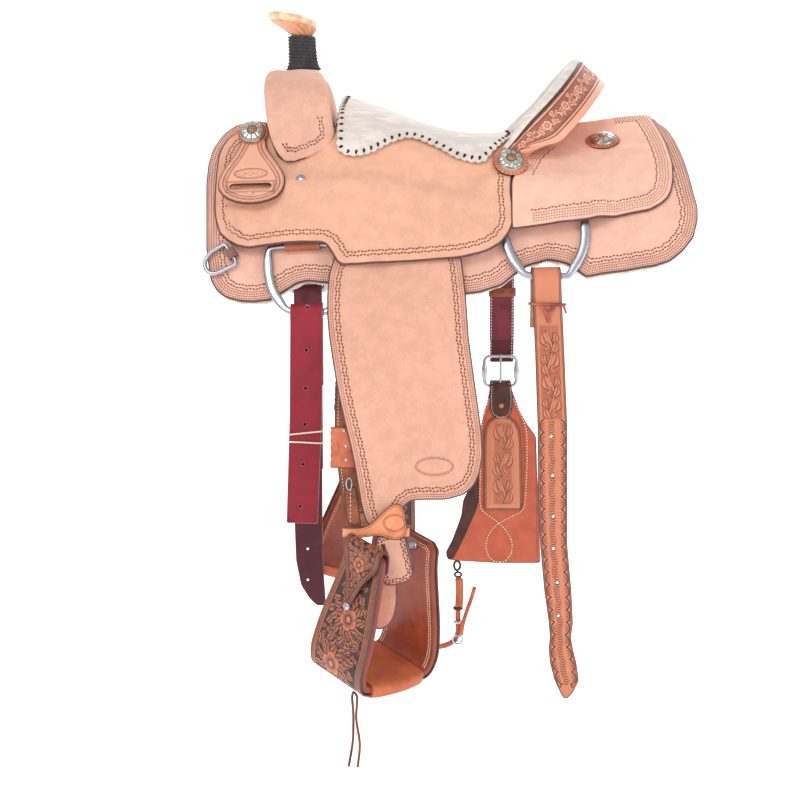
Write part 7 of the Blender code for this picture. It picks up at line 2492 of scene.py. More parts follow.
# ================================================================ dees and rings
for tag, sgn in NEAR_OFF:
    k = np.array((1.0, 1.0 if sgn < 0 else -1.0, 1.0))
    path = spline(dee_plane(dee_route[:, 0], dee_route[:, 1], 0.0), 72)
    piece = Solid()
    rod(piece, path * k, 0.0032, 0, up=DEE_NRM * k, sides=16, closed=True)
    piece.make("dee_wire_" + tag, (STEEL,), "dee_" + tag, ("breast_dee_" + tag,), slot="stainless")
    # tab that holds the dee: a loop round its straight bar
    lo_e, hi_e = find(dee_plane, [(225.5, 247), (235.5, 261.5)], 0.0, lo=(-0.08, -0.06), hi=(0.08, 0.08))
    a_pt, b_pt = dee_plane(lo_e[0], lo_e[1], 0.0), dee_plane(hi_e[0], hi_e[1], 0.0)
    barw = unit(b_pt - a_pt)
    inw = unit(np.cross(barw, DEE_NRM))
    inw = inw if inw[0] > 0 else -inw
    loops = []
    for q in np.linspace(0.24, 0.76, 9):
        c = a_pt * (1 - q) + b_pt * q
        outer_, inner_ = [], []
        for a in np.radians(np.linspace(-90, -270, 13)):
            outer_.append(c + 0.0060 * (math.cos(a) * inw * 1.0 + math.sin(a) * DEE_NRM * 0.98))
            inner_.append(c + 0.0036 * (math.cos(a) * inw + math.sin(a) * DEE_NRM))
        tail_out = [c + inw * 0.0095 + DEE_NRM * 0.0040, c + inw * 0.0095 - DEE_NRM * 0.0040]
        loops.append(outer_[::-1][:0] + [c + inw * 0.0095 - DEE_NRM * 0.0046] + outer_ + [c + inw * 0.0095 + DEE_NRM * 0.0046, c + inw * 0.0095 + DEE_NRM * 0.0022] + inner_[::-1] + [c + inw * 0.0095 - DEE_NRM * 0.0022])
    piece = Solid()
    lofted(piece, np.array(loops) * k, 0)
    piece.make("dee_tab_" + tag, (ROUGHOUT,), "saddle", slot="roughout")

for label in ("front", "rear"):
    r = rings[label]
    n = 150
    path = spline(np.column_stack((r["path"], r["wide"], r["thick"])), n)
    pos, wide, thick = path[:, :3], path[:, 3] * 1.02, path[:, 4] * 1.02
    t = unit(np.roll(pos, -1, 0) - np.roll(pos, 1, 0))
    b = unit(np.cross(t, r["nrm"]))
    a = np.cross(b, t)
    ang = np.arange(20) * 2 * math.pi / 20
    c = np.sign(np.cos(ang)) * np.abs(np.cos(ang)) ** 0.8
    s = np.sign(np.sin(ang)) * np.abs(np.sin(ang)) ** 0.8
    loops = pos[:, None] + a[:, None] * (c[None, :] * thick[:, None])[..., None] + b[:, None] * (s[None, :] * wide[:, None])[..., None]
    for tag, sgn in NEAR_OFF:
        k = np.array((1.0, 1.0 if sgn < 0 else -1.0, 1.0))
        move = 0 if sgn < 0 else r["move"]
        piece = Solid()
        lofted(piece, loops * k + move, 0, closed=True)
        body = "%s_ring_%s_body" % (label, tag)
        piece.make("%s_ring_steel_%s" % (label, tag), (STEEL,), body, ("%s_ring_%s" % (label, tag),), slot="stainless")

# rigging straps: the CAD loops, with softly rounded strips over them
for label, width, length in (("front", 0.052, 0.034), ("rear", 0.076, 0.034)):
    r = rings[label]
    r_in, r_out = BAR_R + 0.0007, BAR_R + 0.0030
    prof = [(r_out * math.cos(a), r_out * math.sin(a)) for a in np.radians(np.linspace(-150, 90, 25))]
    tail = [(-0.010, 0.0064), (-0.020, 0.0058), (-0.0204, 0.0047), (-0.020, 0.0036)]
    inner = [(r_in * math.cos(a), r_in * math.sin(a)) for a in np.radians(np.linspace(90, -150, 25))]
    strip = [(-0.020, -0.0010), (-length, 0.0004), (-length, -0.0020), (-0.020, -0.0036)]
    profile = np.array(prof + tail + inner + strip)
    mid = (r["left"] + r["right"]) / 2
    for tag, sgn in NEAR_OFF:
        k = np.array((1.0, 1.0 if sgn < 0 else -1.0, 1.0))
        run = r["along"] * k
        shift_ = 0 if sgn < 0 else r["move"] - run * (r["move"] @ run) * (0.62 if label == "front" else 0.0)
        loops = []
        for x in np.linspace(mid - width / 2, mid + width / 2, 13):
            loops.append([r["top"] + r["along"] * x + r["down"] * a + r["nrm"] * b for a, b in profile])
        piece = Solid()
        lofted(piece, np.array(loops) * k + shift_, 0)
        # stitches under the loop
        for q in (-0.0145,):
            xs_ = np.arange(mid - width / 2 + 0.004, mid + width / 2 - 0.003, 0.0042)
            at = np.array([r["top"] + r["along"] * x + r["down"] * q + r["nrm"] * 0.0062 for x in xs_]) * k + shift_
            marks(piece, at, np.broadcast_to(run, at.shape), np.broadcast_to(r["nrm"] * k, at.shape), 0.0030, 0.0010, 0.0004, 1)
        piece.make("%s_rig_leather_%s" % (label, tag), (HARNESS, THREAD), "saddle", ("%s_rig_strap_%s" % (label, tag),), slot="harness", sharp=50)


# ================================================================ hanging side groups
def off_turn(points):
    """Near side points carried over to the off side group."""
    return turn(np.asarray(points, float) * (1.0, -1.0, 1.0), off_pivot, axis, SWING)


def twin(obj, body, nodes=(), slot=None):
    """The off side's copy of a near side piece."""
    mesh = obj.data.copy()
    mesh.name = obj.name.replace("near", "off")
    co = np.empty(len(mesh.vertices) * 3, np.float32)
    mesh.vertices.foreach_get("co", co)
    mesh.vertices.foreach_set("co", off_turn(co.reshape(-1, 3)).astype(np.float32).ravel())
    mesh.flip_normals()
    mesh.update()
    other = bpy.data.objects.new(mesh.name, mesh)
    bpy.context.scene.collection.objects.link(other)
    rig.ride(other, body)
    if nodes:
        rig.replaces(other, *nodes)
    if slot:
        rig.slot(other, slot)
    return other


def on_path(points, place, count=240, extend=0.0):
    """Surface round a path of (c, d) pairs: place(c, d, q) gives its points."""
    fine = spline(np.asarray(points, float), count, closed=False)
    run = np.concatenate(([0], np.cumsum(np.linalg.norm(np.diff(fine, axis=0), axis=1))))
    t = unit(np.gradient(fine, axis=0))
    n = np.stack((t[:, 1], -t[:, 0]), -1)

    def surface(p, q, off=0.0):
        p = np.asarray(p, float)
        c, d = (np.interp(p, run, fine[:, k]) for k in (0, 1))
        nc, nd = (np.interp(p, run, n[:, k]) for k in (0, 1))
        over = np.where(p < 0, p, np.where(p > run[-1], p - run[-1], 0))
        tc, td = (np.interp(p, run, t[:, k]) for k in (0, 1))
        return place(c + off * nc + over * tc, d + off * nd + over * td, q)

    return surface, run[-1], fine, run


# ---------------------------------------------------------------- fender
fender_wave = ripple(0.0008, 15.0, 41)


def fender_top(a, b):
    return fender_out(a, b) + fender_wave(a, b) * smoothstep((b - 0.10) / 0.1)


fender_obj, fender_line = panel("fender_leather_near", hang, fender_outline, wrapped(fender_in), fender_top, (FENDER_MAT, EDGE, FLESH), "fender_group_near", ("fender_near",), step=0.010, radius=0.0018, slot="roughout", bands=FINE)
twin(fender_obj, "fender_group_off", ("fender_off",), "roughout")


def low_fender(a, b):
    return b > 0.035


work = Solid()
stitch_rows(work, hang, fender_top, fender_line, (0.0050, 0.0079), pitch=0.0030, length=0.0019, width=0.0015, height=0.0004, keep=low_fender)
wavy(work, hang, fender_top, fender_line, (0.0126, 0.0172), keep=low_fender)
# bare oval stamp near the rear corner
oval = find(hang, [(434.5 + 19.5 * math.cos(t), 466.5 + 9.5 * math.sin(t)) for t in np.linspace(0, 2 * math.pi, 40, endpoint=False)], fender_out, LO, HI)
oval_obj = Solid()
stitch_rows(oval_obj, hang, fender_top, oval, (0.0002, 0.0024), pitch=0.0022, length=0.0016, width=0.0013, height=0.0004)
o = work.make("fender_tooling_near", (DASH,), "fender_group_near", slot="roughout")
twin(o, "fender_group_off", slot="roughout")
o = oval_obj.make("fender_oval_near", (DASH,), "fender_group_near", slot="roughout")
twin(o, "fender_group_off", slot="roughout")

# rounded tongue of the lower ply, behind the fender's tail
tongue = find(hang, [(374, 566), (399, 574), (397, 586), (397.5, 602), (394.5, 617), (389, 626), (382, 630), (374, 629), (368, 622), (366, 606), (368, 584)], 0.016, LO, HI)
o, line = panel("tail_tongue_near", hang, tongue, 0.0146, 0.0180, (roughout_material("roughout_tongue", srgb(226, 160, 138)), EDGE, FLESH), "fender_group_near", step=0.010, radius=0.0014, slot="roughout", ease=3)
twin(o, "fender_group_off", slot="roughout")

wide_tail = find(hang, [(378, 534), (404, 532), (406.5, 541), (409, 553), (412, 566), (414, 576.5), (409, 581), (400, 584), (391, 586), (384.5, 585), (380, 574), (376.5, 558), (375, 545)], fender_out, LO, HI)
o, line = panel("fender_tail_near", hang, wide_tail, lambda a, b: fender_top(a, b) + 0.0002, lambda a, b: fender_top(a, b) + 0.0030, (FENDER_MAT, EDGE, FLESH), "fender_group_near", step=0.010, radius=0.0014, slot="roughout", ease=2)
twin(o, "fender_group_off", slot="roughout")
work = Solid()
wavy(work, hang, lambda a, b: fender_top(a, b) + 0.0030, line, (0.0042, 0.0078))
o = work.make("tail_tooling_near", (DASH,), "fender_group_near", slot="roughout")
twin(o, "fender_group_off", slot="roughout")

# ---------------------------------------------------------------- stirrup leather and sleeve
o, line = panel("leather_strap_near", hang, leather_outline, 0.0018, 0.0018 + LEATHER_T, (HARNESS_DARK, EDGE_BROWN, HARNESS_DARK), "fender_group_near", ("stirrup_leather_near",), step=0.013, radius=0.0014, slot="harness", bands=(0.003,))
twin(o, "fender_group_off", ("stirrup_leather_off",), "harness")
work = Solid()
stitch_rows(work, hang, 0.0018 + LEATHER_T, line, (0.0050,), pitch=0.0046, length=0.0030, width=0.0010, height=0.0004)
o = work.make("leather_stitch_near", (THREAD,), "fender_group_near", slot="roughout")
twin(o, "fender_group_off", slot="roughout")

# upper ply that ends in the sleeve's lower slot, with its own stitching
ply = find(hang, [(343.5, 486), (356, 486), (358.5, 505), (361.5, 526), (347.5, 526), (345.5, 508)], 0.0075, LO, HI)
o, line = panel("lower_ply_near", hang, ply, 0.0044, 0.0078, (HARNESS_DARK, EDGE_BROWN, HARNESS_DARK), "fender_group_near", step=0.008, radius=0.0012, slot="harness")
twin(o, "fender_group_off", slot="harness")
work = Solid()
mid_px = find(hang, [(350.5, v) for v in np.linspace(490, 521, 9)], 0.0080, LO, HI)
at = hang(mid_px[:, 0], mid_px[:, 1], 0.0079)
marks(work, at, np.gradient(at, axis=0), hang(mid_px[:, 0], mid_px[:, 1], 0.02) - at, 0.0034, 0.0013, 0.0005)
o = work.make("lower_stitch_near", (THREAD,), "fender_group_near", slot="roughout")
twin(o, "fender_group_off", slot="roughout")

x0, l0 = find(hang, [(330, 427)], 0.006, LO, HI)[0]
l1 = find(hang, [(345, 468)], 0.006, LO, HI)[0][1]
x2 = find(hang, [(386, 447)], 0.006, LO, HI)[0][0] + 0.004
sleeve_mid = [(x0 + 0.031, 0.0002), (x2 - 0.008, 0.0002), (x2 - 0.0036, 0.0004), (x2 - 0.0016, 0.0024), (x2 - 0.0016, 0.0046), (x2 - 0.0036, 0.0066), (x2 - 0.008, 0.0068), (x0 + 0.008, 0.0068), (x0 + 0.0032, 0.0064), (x0 + 0.0014, 0.0042), (x0 + 0.0014, 0.0026), (x0 + 0.0032, 0.0006), (x0 + 0.008, 0.0002), (x0 + 0.0300, 0.0002)]
sleeve_face, sleeve_len, fine, run = on_path(sleeve_mid, lambda c, d, q: hang(c, q, d))
sl = [(0, l0), (sleeve_len * 0.33, l0), (sleeve_len * 0.66, l0), (sleeve_len, l0), (sleeve_len, l1), (sleeve_len * 0.66, l1), (sleeve_len * 0.33, l1), (0, l1)]
o, line = panel("sleeve_leather_near", sleeve_face, np.array(sl), -0.0008, 0.0012, (SLEEVE, EDGE_BROWN, HARNESS_DARK), "fender_group_near", ("leather_buckle_near",), step=0.006, longest=0.002, radius=0.0007, ease=0, slot="harness")
twin(o, "fender_group_off", ("leather_buckle_off",), "harness")
work = Solid()
for px in ((344, 430.5), (346, 446), (346, 460)):
    x, l = find(hang, [px], 0.0078, LO, HI)[0]
    p = hang(x, l, 0.0076)
    lathe(work, [(0, -0.001), (0.0026, -0.001), (0.0027, 0.0004), (0.0018, 0.0013), (0.0, 0.0016)], p, hang(x, l, 0.02) - p, 0, 14)
wx, wl = find(hang, [(349, 484)], 0.0090, LO, HI)[0]
loop = [hang(wx + 0.0040 * math.cos(t), wl + 0.0085 * math.sin(t), 0.0098 + 0.0012 * math.sin(t * 2)) for t in np.linspace(0, 2 * math.pi, 18, endpoint=False)]
rod(work, loop, 0.0010, 0, hang(wx, wl, 0.02) - hang(wx, wl, 0.0), 8, closed=True)
o = work.make("sleeve_rivets_near", (CHROME,), "fender_group_near", slot="stainless")
twin(o, "fender_group_off", slot="stainless")

# ---------------------------------------------------------------- hobble strap
hx0 = find(hang, [(344, 522)], FENDER_Y, LO, HI)[0][0] - 0.002
hx1, hl1 = find(hang, [(404, 535)], FENDER_Y, LO, HI)[0]
hx1 += 0.0075
hlh = (find(hang, [(344, 522)], FENDER_Y, LO, HI)[0][1] + hl1) / 2
HF, HB = FENDER_Y + 0.0080, 0.0002
start = hx1 + 0.004
hob_mid = [(start, HF + 0.0006), (start - 0.02, HF + 0.0004), (hx0 + 0.014, HF), (hx0 + 0.006, HF - 0.0010), (hx0 + 0.0018, HF - 0.0050), (hx0 + 0.0014, HF - 0.010), (hx0 + 0.0014, HB + 0.0040), (hx0 + 0.004, HB + 0.0010), (hx0 + 0.012, HB), (hx1 - 0.012, HB), (hx1 - 0.004, HB + 0.0010), (hx1 - 0.0014, HB + 0.004), (hx1 - 0.0014, HF - 0.0100), (hx1 - 0.004, HF - 0.0046), (hx1 - 0.010, HF - 0.0036), (hx1 - 0.020, HF - 0.0034)]
hob_face, hob_len, fine, run = on_path(hob_mid, lambda c, d, q: hang(c, q, d), 400)
front_px = find(hang, [(360, 528), (366, 526.5), (372, 523), (378, 517), (384, 511), (389, 506.5), (394, 504), (399.5, 504), (403.5, 508), (405.5, 516), (407, 527), (406.5, 533), (403, 538), (397, 540.5), (390, 539.5), (383, 537), (376, 536), (369, 537), (362, 538)], HF + 0.0014, LO, HI)
p_front = np.stack((start - front_px[:, 0], front_px[:, 1]), -1)
q0, q1 = p_front[0, 1], p_front[-1, 1]
tail = [(hob_len * 0.6, q0), (hob_len, q0), (hob_len, q1), (hob_len * 0.6, q1)]
poly = np.vstack((p_front[::-1], [(p_front[0, 0] + 0.02, q0), *tail[:2], *tail[2:], (p_front[-1, 0] + 0.02, q1)]))
hob_mat = plain_leather("hobble_leather", srgb(242, 158, 116), srgb(218, 130, 90), rough=0.50)
o, hob_line = panel("hobble_leather_near", hob_face, poly, -0.0014, 0.0014, (hob_mat, EDGE, FLESH), "fender_group_near", ("hobble_strap_near",), step=0.006, longest=0.0025, radius=0.0011, ease=1, slot="harness")
twin(o, "fender_group_off", ("hobble_strap_off",), "harness")
work = Solid()
stitch_rows(work, hob_face, 0.0014, hob_line, (0.0034,), pitch=0.0034, length=0.0026, width=0.0012, height=0.0004, keep=lambda a, b: a < p_front[0, 0] + 0.004)
oval = find(hang, [(394.5 + 11.5 * math.cos(t), 523 + 9.0 * math.sin(t)) for t in np.linspace(0, 2 * math.pi, 36, endpoint=False)], HF + 0.0014, LO, HI)
oval = np.stack((start - oval[:, 0], oval[:, 1]), -1)
stitch_rows(work, hob_face, 0.0014, oval, (0.0002, 0.0022), pitch=0.0020, length=0.0016, width=0.0012, height=0.0004)
o = work.make("hobble_tooling_near", (DASH,), "fender_group_near", slot="roughout")
twin(o, "fender_group_off", slot="roughout")

# ---------------------------------------------------------------- loop round the bolt
loops = []
for a in np.linspace(-0.024, 0.024, 9):
    ang = np.radians(np.linspace(180, 360, 16))
    outer = [(0.0100 * math.cos(t), 0.0100 * math.sin(t)) for t in ang] + [(0.0068, 0.007), (0.0052, 0.0125), (-0.0052, 0.0125), (-0.0068, 0.007)]
    loops.append([BOLT + L_AX * a + F_H * x + Z_AX * z for x, z in outer])
for a in np.linspace(0.024, -0.024, 9):
    ang = np.radians(np.linspace(180, 360, 16))
    inner = [(0.0070 * math.cos(t), 0.0070 * math.sin(t)) for t in ang] + [(0.0046, 0.005), (0.0028, 0.0096), (-0.0028, 0.0096), (-0.0046, 0.005)]
    loops.append([BOLT + L_AX * a + F_H * x + Z_AX * z for x, z in inner])
work = Solid()
lofted(work, loops, 0, closed=True)
o = work.make("bolt_loop_near", (HARNESS_DARK,), "fender_group_near", ("stirrup_loop_near",), "burgundy", sharp=40)
twin(o, "fender_group_off", ("stirrup_loop_off",), "burgundy")

# ---------------------------------------------------------------- stirrup
base = stirrup_path(0.00675, 321)
st_run = np.concatenate(([0], np.cumsum(np.linalg.norm(np.diff(base, axis=0), axis=1))))
st_t = unit(np.gradient(base, axis=0))
st_n = np.stack((st_t[:, 1], -st_t[:, 0]), -1)
ST_LEN = st_run[-1]


def stirrup_face(p, b, off=0.0):
    p = np.asarray(p, float)
    a, h = (np.interp(p, st_run, base[:, k]) + off * np.interp(p, st_run, st_n[:, k]) for k in (0, 1))
    return BOLT + a[..., None] * L_AX + h[..., None] * U_AX + np.asarray(b, float)[..., None] * F_AX


def stirrup_inner(p, b, off=0.0):
    return stirrup_face(p, b, -np.asarray(off))


def half_deep(p, less=0.0):
    return stirrup_depth(np.interp(p, st_run, base[:, 1])) / 2 - less


def stirrup_outline(less):
    ps = np.linspace(0.0, ST_LEN, 150)
    d = half_deep(ps, less)
    cut = 0.010 * (1 - smoothstep(np.minimum(ps, ST_LEN - ps) / 0.013)) ** 2
    d = d - cut
    return np.vstack((np.stack((ps, -d), -1), np.stack((ps[::-1], d[::-1]), -1)))


MIDW = 0.058
carve = Carving(ST_LEN, 2 * MIDW, 0.0004, coarse=1.5, hollow=1.35)
ps = np.linspace(0.0, ST_LEN, 260)
edge_y = half_deep(ps)
carve.ground(lambda x, y: smoothstep((np.interp(x, ps, edge_y) - 0.0125 - np.abs(y - MIDW)) / 0.0007), depth=-0.8)

BLOOMS = [(0.108, 0.004, 0.0190), (0.182, -0.008, 0.0200), (0.262, 0.004, 0.0215), (0.344, -0.006, 0.0205), (0.420, 0.006, 0.0190)]
for p, y in ((0.145, 0.020), (0.145, -0.028), (0.222, -0.030), (0.222, 0.026), (0.302, 0.030), (0.302, -0.032), (0.382, -0.030), (0.382, 0.028), (0.060, 0.0), (0.470, 0.0), (0.030, 0.0), (ST_LEN - 0.03, 0.0)):
    whorl(carve, p, MIDW + y, 0.0125, 0.9 * p * 40, 1, rings=((1.5, 8), (0.9, 6), (0.25, 4)))
for k, (p, y, r) in enumerate(BLOOMS):
    whorl(carve, p, MIDW + y, r, 0.7 * k, (-1) ** k, rings=((1.75, 13), (1.25, 10), (0.82, 9)))
for k, (p, y, r) in enumerate(BLOOMS):
    carve.flower(p, MIDW + y, r * 0.90, 5, 0.5 * k)
carve.plain(lambda x, y: smoothstep((0.0128 - (np.interp(x, ps, edge_y) - np.abs(y - MIDW))) / 0.0006))
for s in (-1, 1):
    for d, half, val in ((0.0122, 0.0006, -1.0), (0.0088, 0.00045, -0.95), (0.0038, 0.00045, -0.95)):
        pts = np.stack((ps, MIDW + s * (edge_y - d)), -1)
        carve.line(pts, half, val, halo=0.0003)
    carve.beads(np.stack((ps, MIDW + s * (edge_y - 0.0062)), -1), 0.0010, 0.0025, 0.85)
carve.blurred()


def stirrup_relief(p, b):
    h = carve.read(p, b + MIDW)
    return 0.00055 * h, 0.5 + 0.5 * h


o, cover_line = panel("stirrup_tooled_near", stirrup_face, stirrup_outline(0.0), -0.0016, 0.0016, (TOOLED_STIRRUP, EDGE, STIRRUP_IN), "stirrup_group_near", ("stirrup_cover_near",), step=0.00125, longest=0.0022, radius=0.0012, relief=stirrup_relief, ease=1, slot="tooled")
twin(o, "stirrup_group_off", ("stirrup_cover_off",), "tooled")
o, line = panel("stirrup_lining_near", stirrup_inner, stirrup_outline(0.0012), 0.0022, 0.0124, (STIRRUP_IN, STIRRUP_IN, STIRRUP_IN), "stirrup_group_near", ("stirrup_near",), step=0.010, longest=0.004, radius=0.0026, ease=1, slot="tree_wood", bands=(0.005,))
twin(o, "stirrup_group_off", ("stirrup_off",), "tree_wood")
work = Solid()
away = lambda a, b: (a < 0.205) | (a > ST_LEN - 0.205)
stitch_rows(work, stirrup_inner, 0.0124, line, (0.0058, 0.0096), pitch=0.0040, length=0.0030, width=0.0014, height=0.0007, keep=away)
o = work.make("stirrup_stitch_near", (THREAD,), "stirrup_group_near", slot="roughout")
twin(o, "stirrup_group_off", slot="roughout")

# flap over the ear: tooled point outside, held by a screw
ear = [(-0.0402, -0.026), (-0.0412, -0.008), (-0.0425, 0.006), (-0.0462, 0.0150), (-0.0530, 0.0185), (-0.0596, 0.0150), (-0.0614, 0.006)]
tail_pts = stirrup_path(0.0106, 321)
tail_pts = tail_pts[(tail_pts[:, 0] < 0) & (tail_pts[:, 1] < 0.0)][::8]
tail_pts = tail_pts[tail_pts[:, 1] > -0.125]


def flap_place(c, d, q):
    lift = 0.0055 * smoothstep((np.asarray(q) + 0.004) / 0.034) * smoothstep((-0.004 - d) / 0.03) * smoothstep((d + 0.082) / 0.03) * (c < -0.053)
    c = c - lift
    return BOLT + np.asarray(c)[..., None] * L_AX + np.asarray(d)[..., None] * U_AX + np.asarray(q)[..., None] * F_AX


flap_face, flap_len, fine, run = on_path(np.vstack((ear, tail_pts))[::-1], flap_place, 400)
p_tip = float(np.interp(0.080, -fine[:, 1][::-1], run[::-1])) if False else None
outside = fine[:, 0] < -0.053
tip_run = float(run[np.argmin(np.abs(fine[:, 1] + 0.078) + 10 * ~outside)])
top_run = float(run[np.argmin(np.abs(fine[:, 1] - 0.004) + 10 * ~outside)])
w0 = 0.0365
flap = np.array([
    (tip_run - 0.006, -0.0050), (tip_run, -0.0072), (tip_run + 0.006, -0.0085), (tip_run + (top_run - tip_run) * 0.5, -0.0215), (top_run - 0.004, -w0), (flap_len - 0.012, -w0), (flap_len, -w0 + 0.010),
    (flap_len, w0 - 0.010), (flap_len - 0.012, w0), (top_run - 0.002, w0), (top_run - 0.016, w0 - 0.003), (tip_run + (top_run - tip_run) * 0.5, 0.0165), (tip_run + 0.006, 0.0035), (tip_run, 0.0022), (tip_run - 0.006, 0.0),
])
fcar = Carving(flap_len + 0.02, 2 * MIDW, 0.0004, coarse=1.3, hollow=0.95)
fine_flap = resampled(flap, 0.002)
fcar.ground(lambda x, y: smoothstep((0.0 + np.where(inside(fine_flap, np.stack((x.ravel(), y.ravel() - MIDW), -1)), edge_distance(fine_flap[::3], np.stack((x.ravel(), y.ravel() - MIDW), -1)), 0.0).reshape(x.shape) - 0.0088) / 0.0006), depth=-0.8)
span_run = top_run - tip_run
for p, y, r in ((0.62, -0.018, 0.012), (0.62, 0.018, 0.012), (0.98, -0.020, 0.013), (0.98, 0.020, 0.013), (0.36, 0.0, 0.012), (0.18, -0.003, 0.008), (1.2, 0.0, 0.013)):
    whorl(fcar, tip_run + span_run * p, MIDW + y, r, 3.0 * p, 1, rings=((1.5, 8), (0.9, 6), (0.25, 4)))
whorl(fcar, tip_run + span_run * 0.80, MIDW, 0.0120, 0.4, -1, rings=((1.6, 11), (1.15, 9)))
fcar.flower(tip_run + span_run * 0.80, MIDW, 0.0118, 5, 0.6)
fcar.plain(lambda x, y: smoothstep((0.0086 - np.where(inside(fine_flap, np.stack((x.ravel(), y.ravel() - MIDW), -1)), edge_distance(fine_flap[::3], np.stack((x.ravel(), y.ravel() - MIDW), -1)), 0.0).reshape(x.shape)) / 0.0006))
loop_line = np.vstack((flap, flap[:1]))
for d, half, val in ((0.0080, 0.0006, -1.0), (0.0030, 0.00045, -1.0)):
    f = resampled(flap, 0.002)
    ring = f + inward(f) * d
    for _ in range(2):
        ring = (np.roll(ring, 1, 0) + 2 * ring + np.roll(ring, -1, 0)) / 4
    fcar.line(np.vstack((ring, ring[:1])) + (0, MIDW), half, val, halo=0.0003)
    if half > 0.0005:
        fcar.beads(np.vstack((ring, ring[:1])) + inward(np.vstack((ring, ring[:1]))) * -0.0025 + (0, MIDW), 0.0011, 0.0027, 0.85)
fcar.blurred()


def flap_relief(p, b):
    h = fcar.read(p, b + MIDW)
    return 0.00050 * h, 0.5 + 0.5 * h


probe = flap_face(np.array([tip_run, tip_run]), np.array([0.0, 0.0]), np.array([0.0, 0.003]))
flap_sign = 1.0 if (probe[1] - probe[0]) @ L_AX < 0 else -1.0
flap_out = lambda p, b, off=0.0: flap_face(p, b, np.asarray(off) * flap_sign)
o, line = panel("stirrup_flap_near", flap_out, flap, -0.0014, 0.0016, (TOOLED_STIRRUP, EDGE, HARNESS_DARK), "stirrup_group_near", step=0.0013, longest=0.0022, radius=0.0012, relief=flap_relief, ease=1, slot="tooled")
twin(o, "stirrup_group_off", slot="tooled")

work = Solid()
at = flap_out(np.array([tip_run + 0.001]), np.array([-0.0028]), np.array([0.0016]))[0]
lathe(work, [(0, -0.006), (0.0056, -0.006), (0.0060, -0.0002), (0.0055, 0.0012), (0.0036, 0.0026), (0.0014, 0.0030), (0.0, 0.0030)], at, -L_AX, 0, 28)
marks(work, [at - L_AX * 0.0029], [U_AX + 0.3 * F_AX], [-L_AX], 0.0078, 0.0011, 0.0004, 1)
o = work.make("flap_screw_near", (CHROME, IRON), "stirrup_group_near", slot="stainless")
twin(o, "stirrup_group_off", slot="stainless")

# tread: one leather wrapped round the base
loops = []
for a in np.linspace(-0.050, 0.050, 21):
    bulge = 0.0095 * (1 - (a / 0.052) ** 2) ** 0.6 if abs(a) < 0.052 else 0.0
    b = DEEP_LOW / 2 + 0.0005 + bulge
    top, low = -(HEIGHT - 0.013) + 0.0092, -(HEIGHT - 0.013) - 0.0118
    hh, mid_h = (top - low) / 2, (top + low) / 2
    ring = []
    for t in np.linspace(0, 2 * math.pi, 44, endpoint=False):
        c, s = math.cos(t), math.sin(t)
        ring.append((b * np.sign(c) * abs(c) ** 0.16 if abs(c) > 0.25 else b * c / 0.25 * 0.80, mid_h + hh * np.sign(s) * min(1.0, abs(s) ** 0.55 * 1.02)))
    loops.append([BOLT + L_AX * a + F_AX * bb + U_AX * h for bb, h in ring])
work = Solid()
lofted(work, loops, 0)
far_edge = [BOLT + L_AX * a - F_AX * (DEEP_LOW / 2 - 0.001 + 0.0095 * (1 - (a / 0.052) ** 2) ** 0.6) + U_AX * (-(HEIGHT - 0.013) + 0.0094) for a in np.linspace(-0.050, 0.050, 21)]
rod(work, far_edge, 0.0014, 1, U_AX, 8)
o = work.make("tread_leather_near", (TREAD_MAT, EDGE), "stirrup_group_near", slot="harness", sharp=60)
twin(o, "stirrup_group_off", slot="harness")

# bolt
bolt_len = HALF_TOP - 0.0050
prof = [(0, -bolt_len), (0.0063, -bolt_len), (0.0068, -bolt_len + 0.0008), (0.0068, -bolt_len + 0.0044), (0.0063, -bolt_len + 0.0052), (0.0060, -bolt_len + 0.0060), (0.0060, 0.0), (0.0060, bolt_len - 0.0060), (0.0063, bolt_len - 0.0052), (0.0068, bolt_len - 0.0044), (0.0068, bolt_len - 0.0008), (0.0063, bolt_len), (0, bolt_len)]
work = Solid()
lathe(work, prof, BOLT, L_AX, 0, 32)
o = work.make("bolt_steel_near", (STEEL,), "stirrup_group_near", ("stirrup_bolt_near",), "stainless", sharp=35)
twin(o, "stirrup_group_off", ("stirrup_bolt_off",), "stainless")

# ---------------------------------------------------------------- thong
route = thong_route()
fine = spline(np.asarray(route), 121, closed=False)
half_way = len(fine) // 2
work = Solid()
rod(work, fine, THONG_R, 0, (1, 0, 0), 8)
thong = work.make("thong_lace", (LACE,), "stirrup_group_near", ("tread_thong",), "dark_leather")
thong_len = float(np.linalg.norm(np.diff(fine, axis=0), axis=1).sum())
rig.cord(thong, exit=fine[-1], length=thong_len, diameter=2 * THONG_R, far_end="bare", stiffness="limp", lay="hanging", path=fine)


# ================================================================ hanging straps
FR, RR = rings["front"], rings["rear"]
FB, RB = FR["bottom"], RR["bottom"]
OF, OR = FB * (1, -1, 1) + FR["move"], RB * (1, -1, 1) + RR["move"]
FS = (FR["along"][1] / FR["along"][0], FR["along"][2] / FR["along"][0])
RS = (RR["along"][1] / RR["along"][0], RR["along"][2] / RR["along"][0])
STRAP_R = 0.0062 + 0.0008 + STRAP_T / 2
STRAP_TOP = 0.0082 + 0.0008 + STRAP_T / 2 - STRAP_R
STRAP_C = STRAP_T / 2 + 0.0004


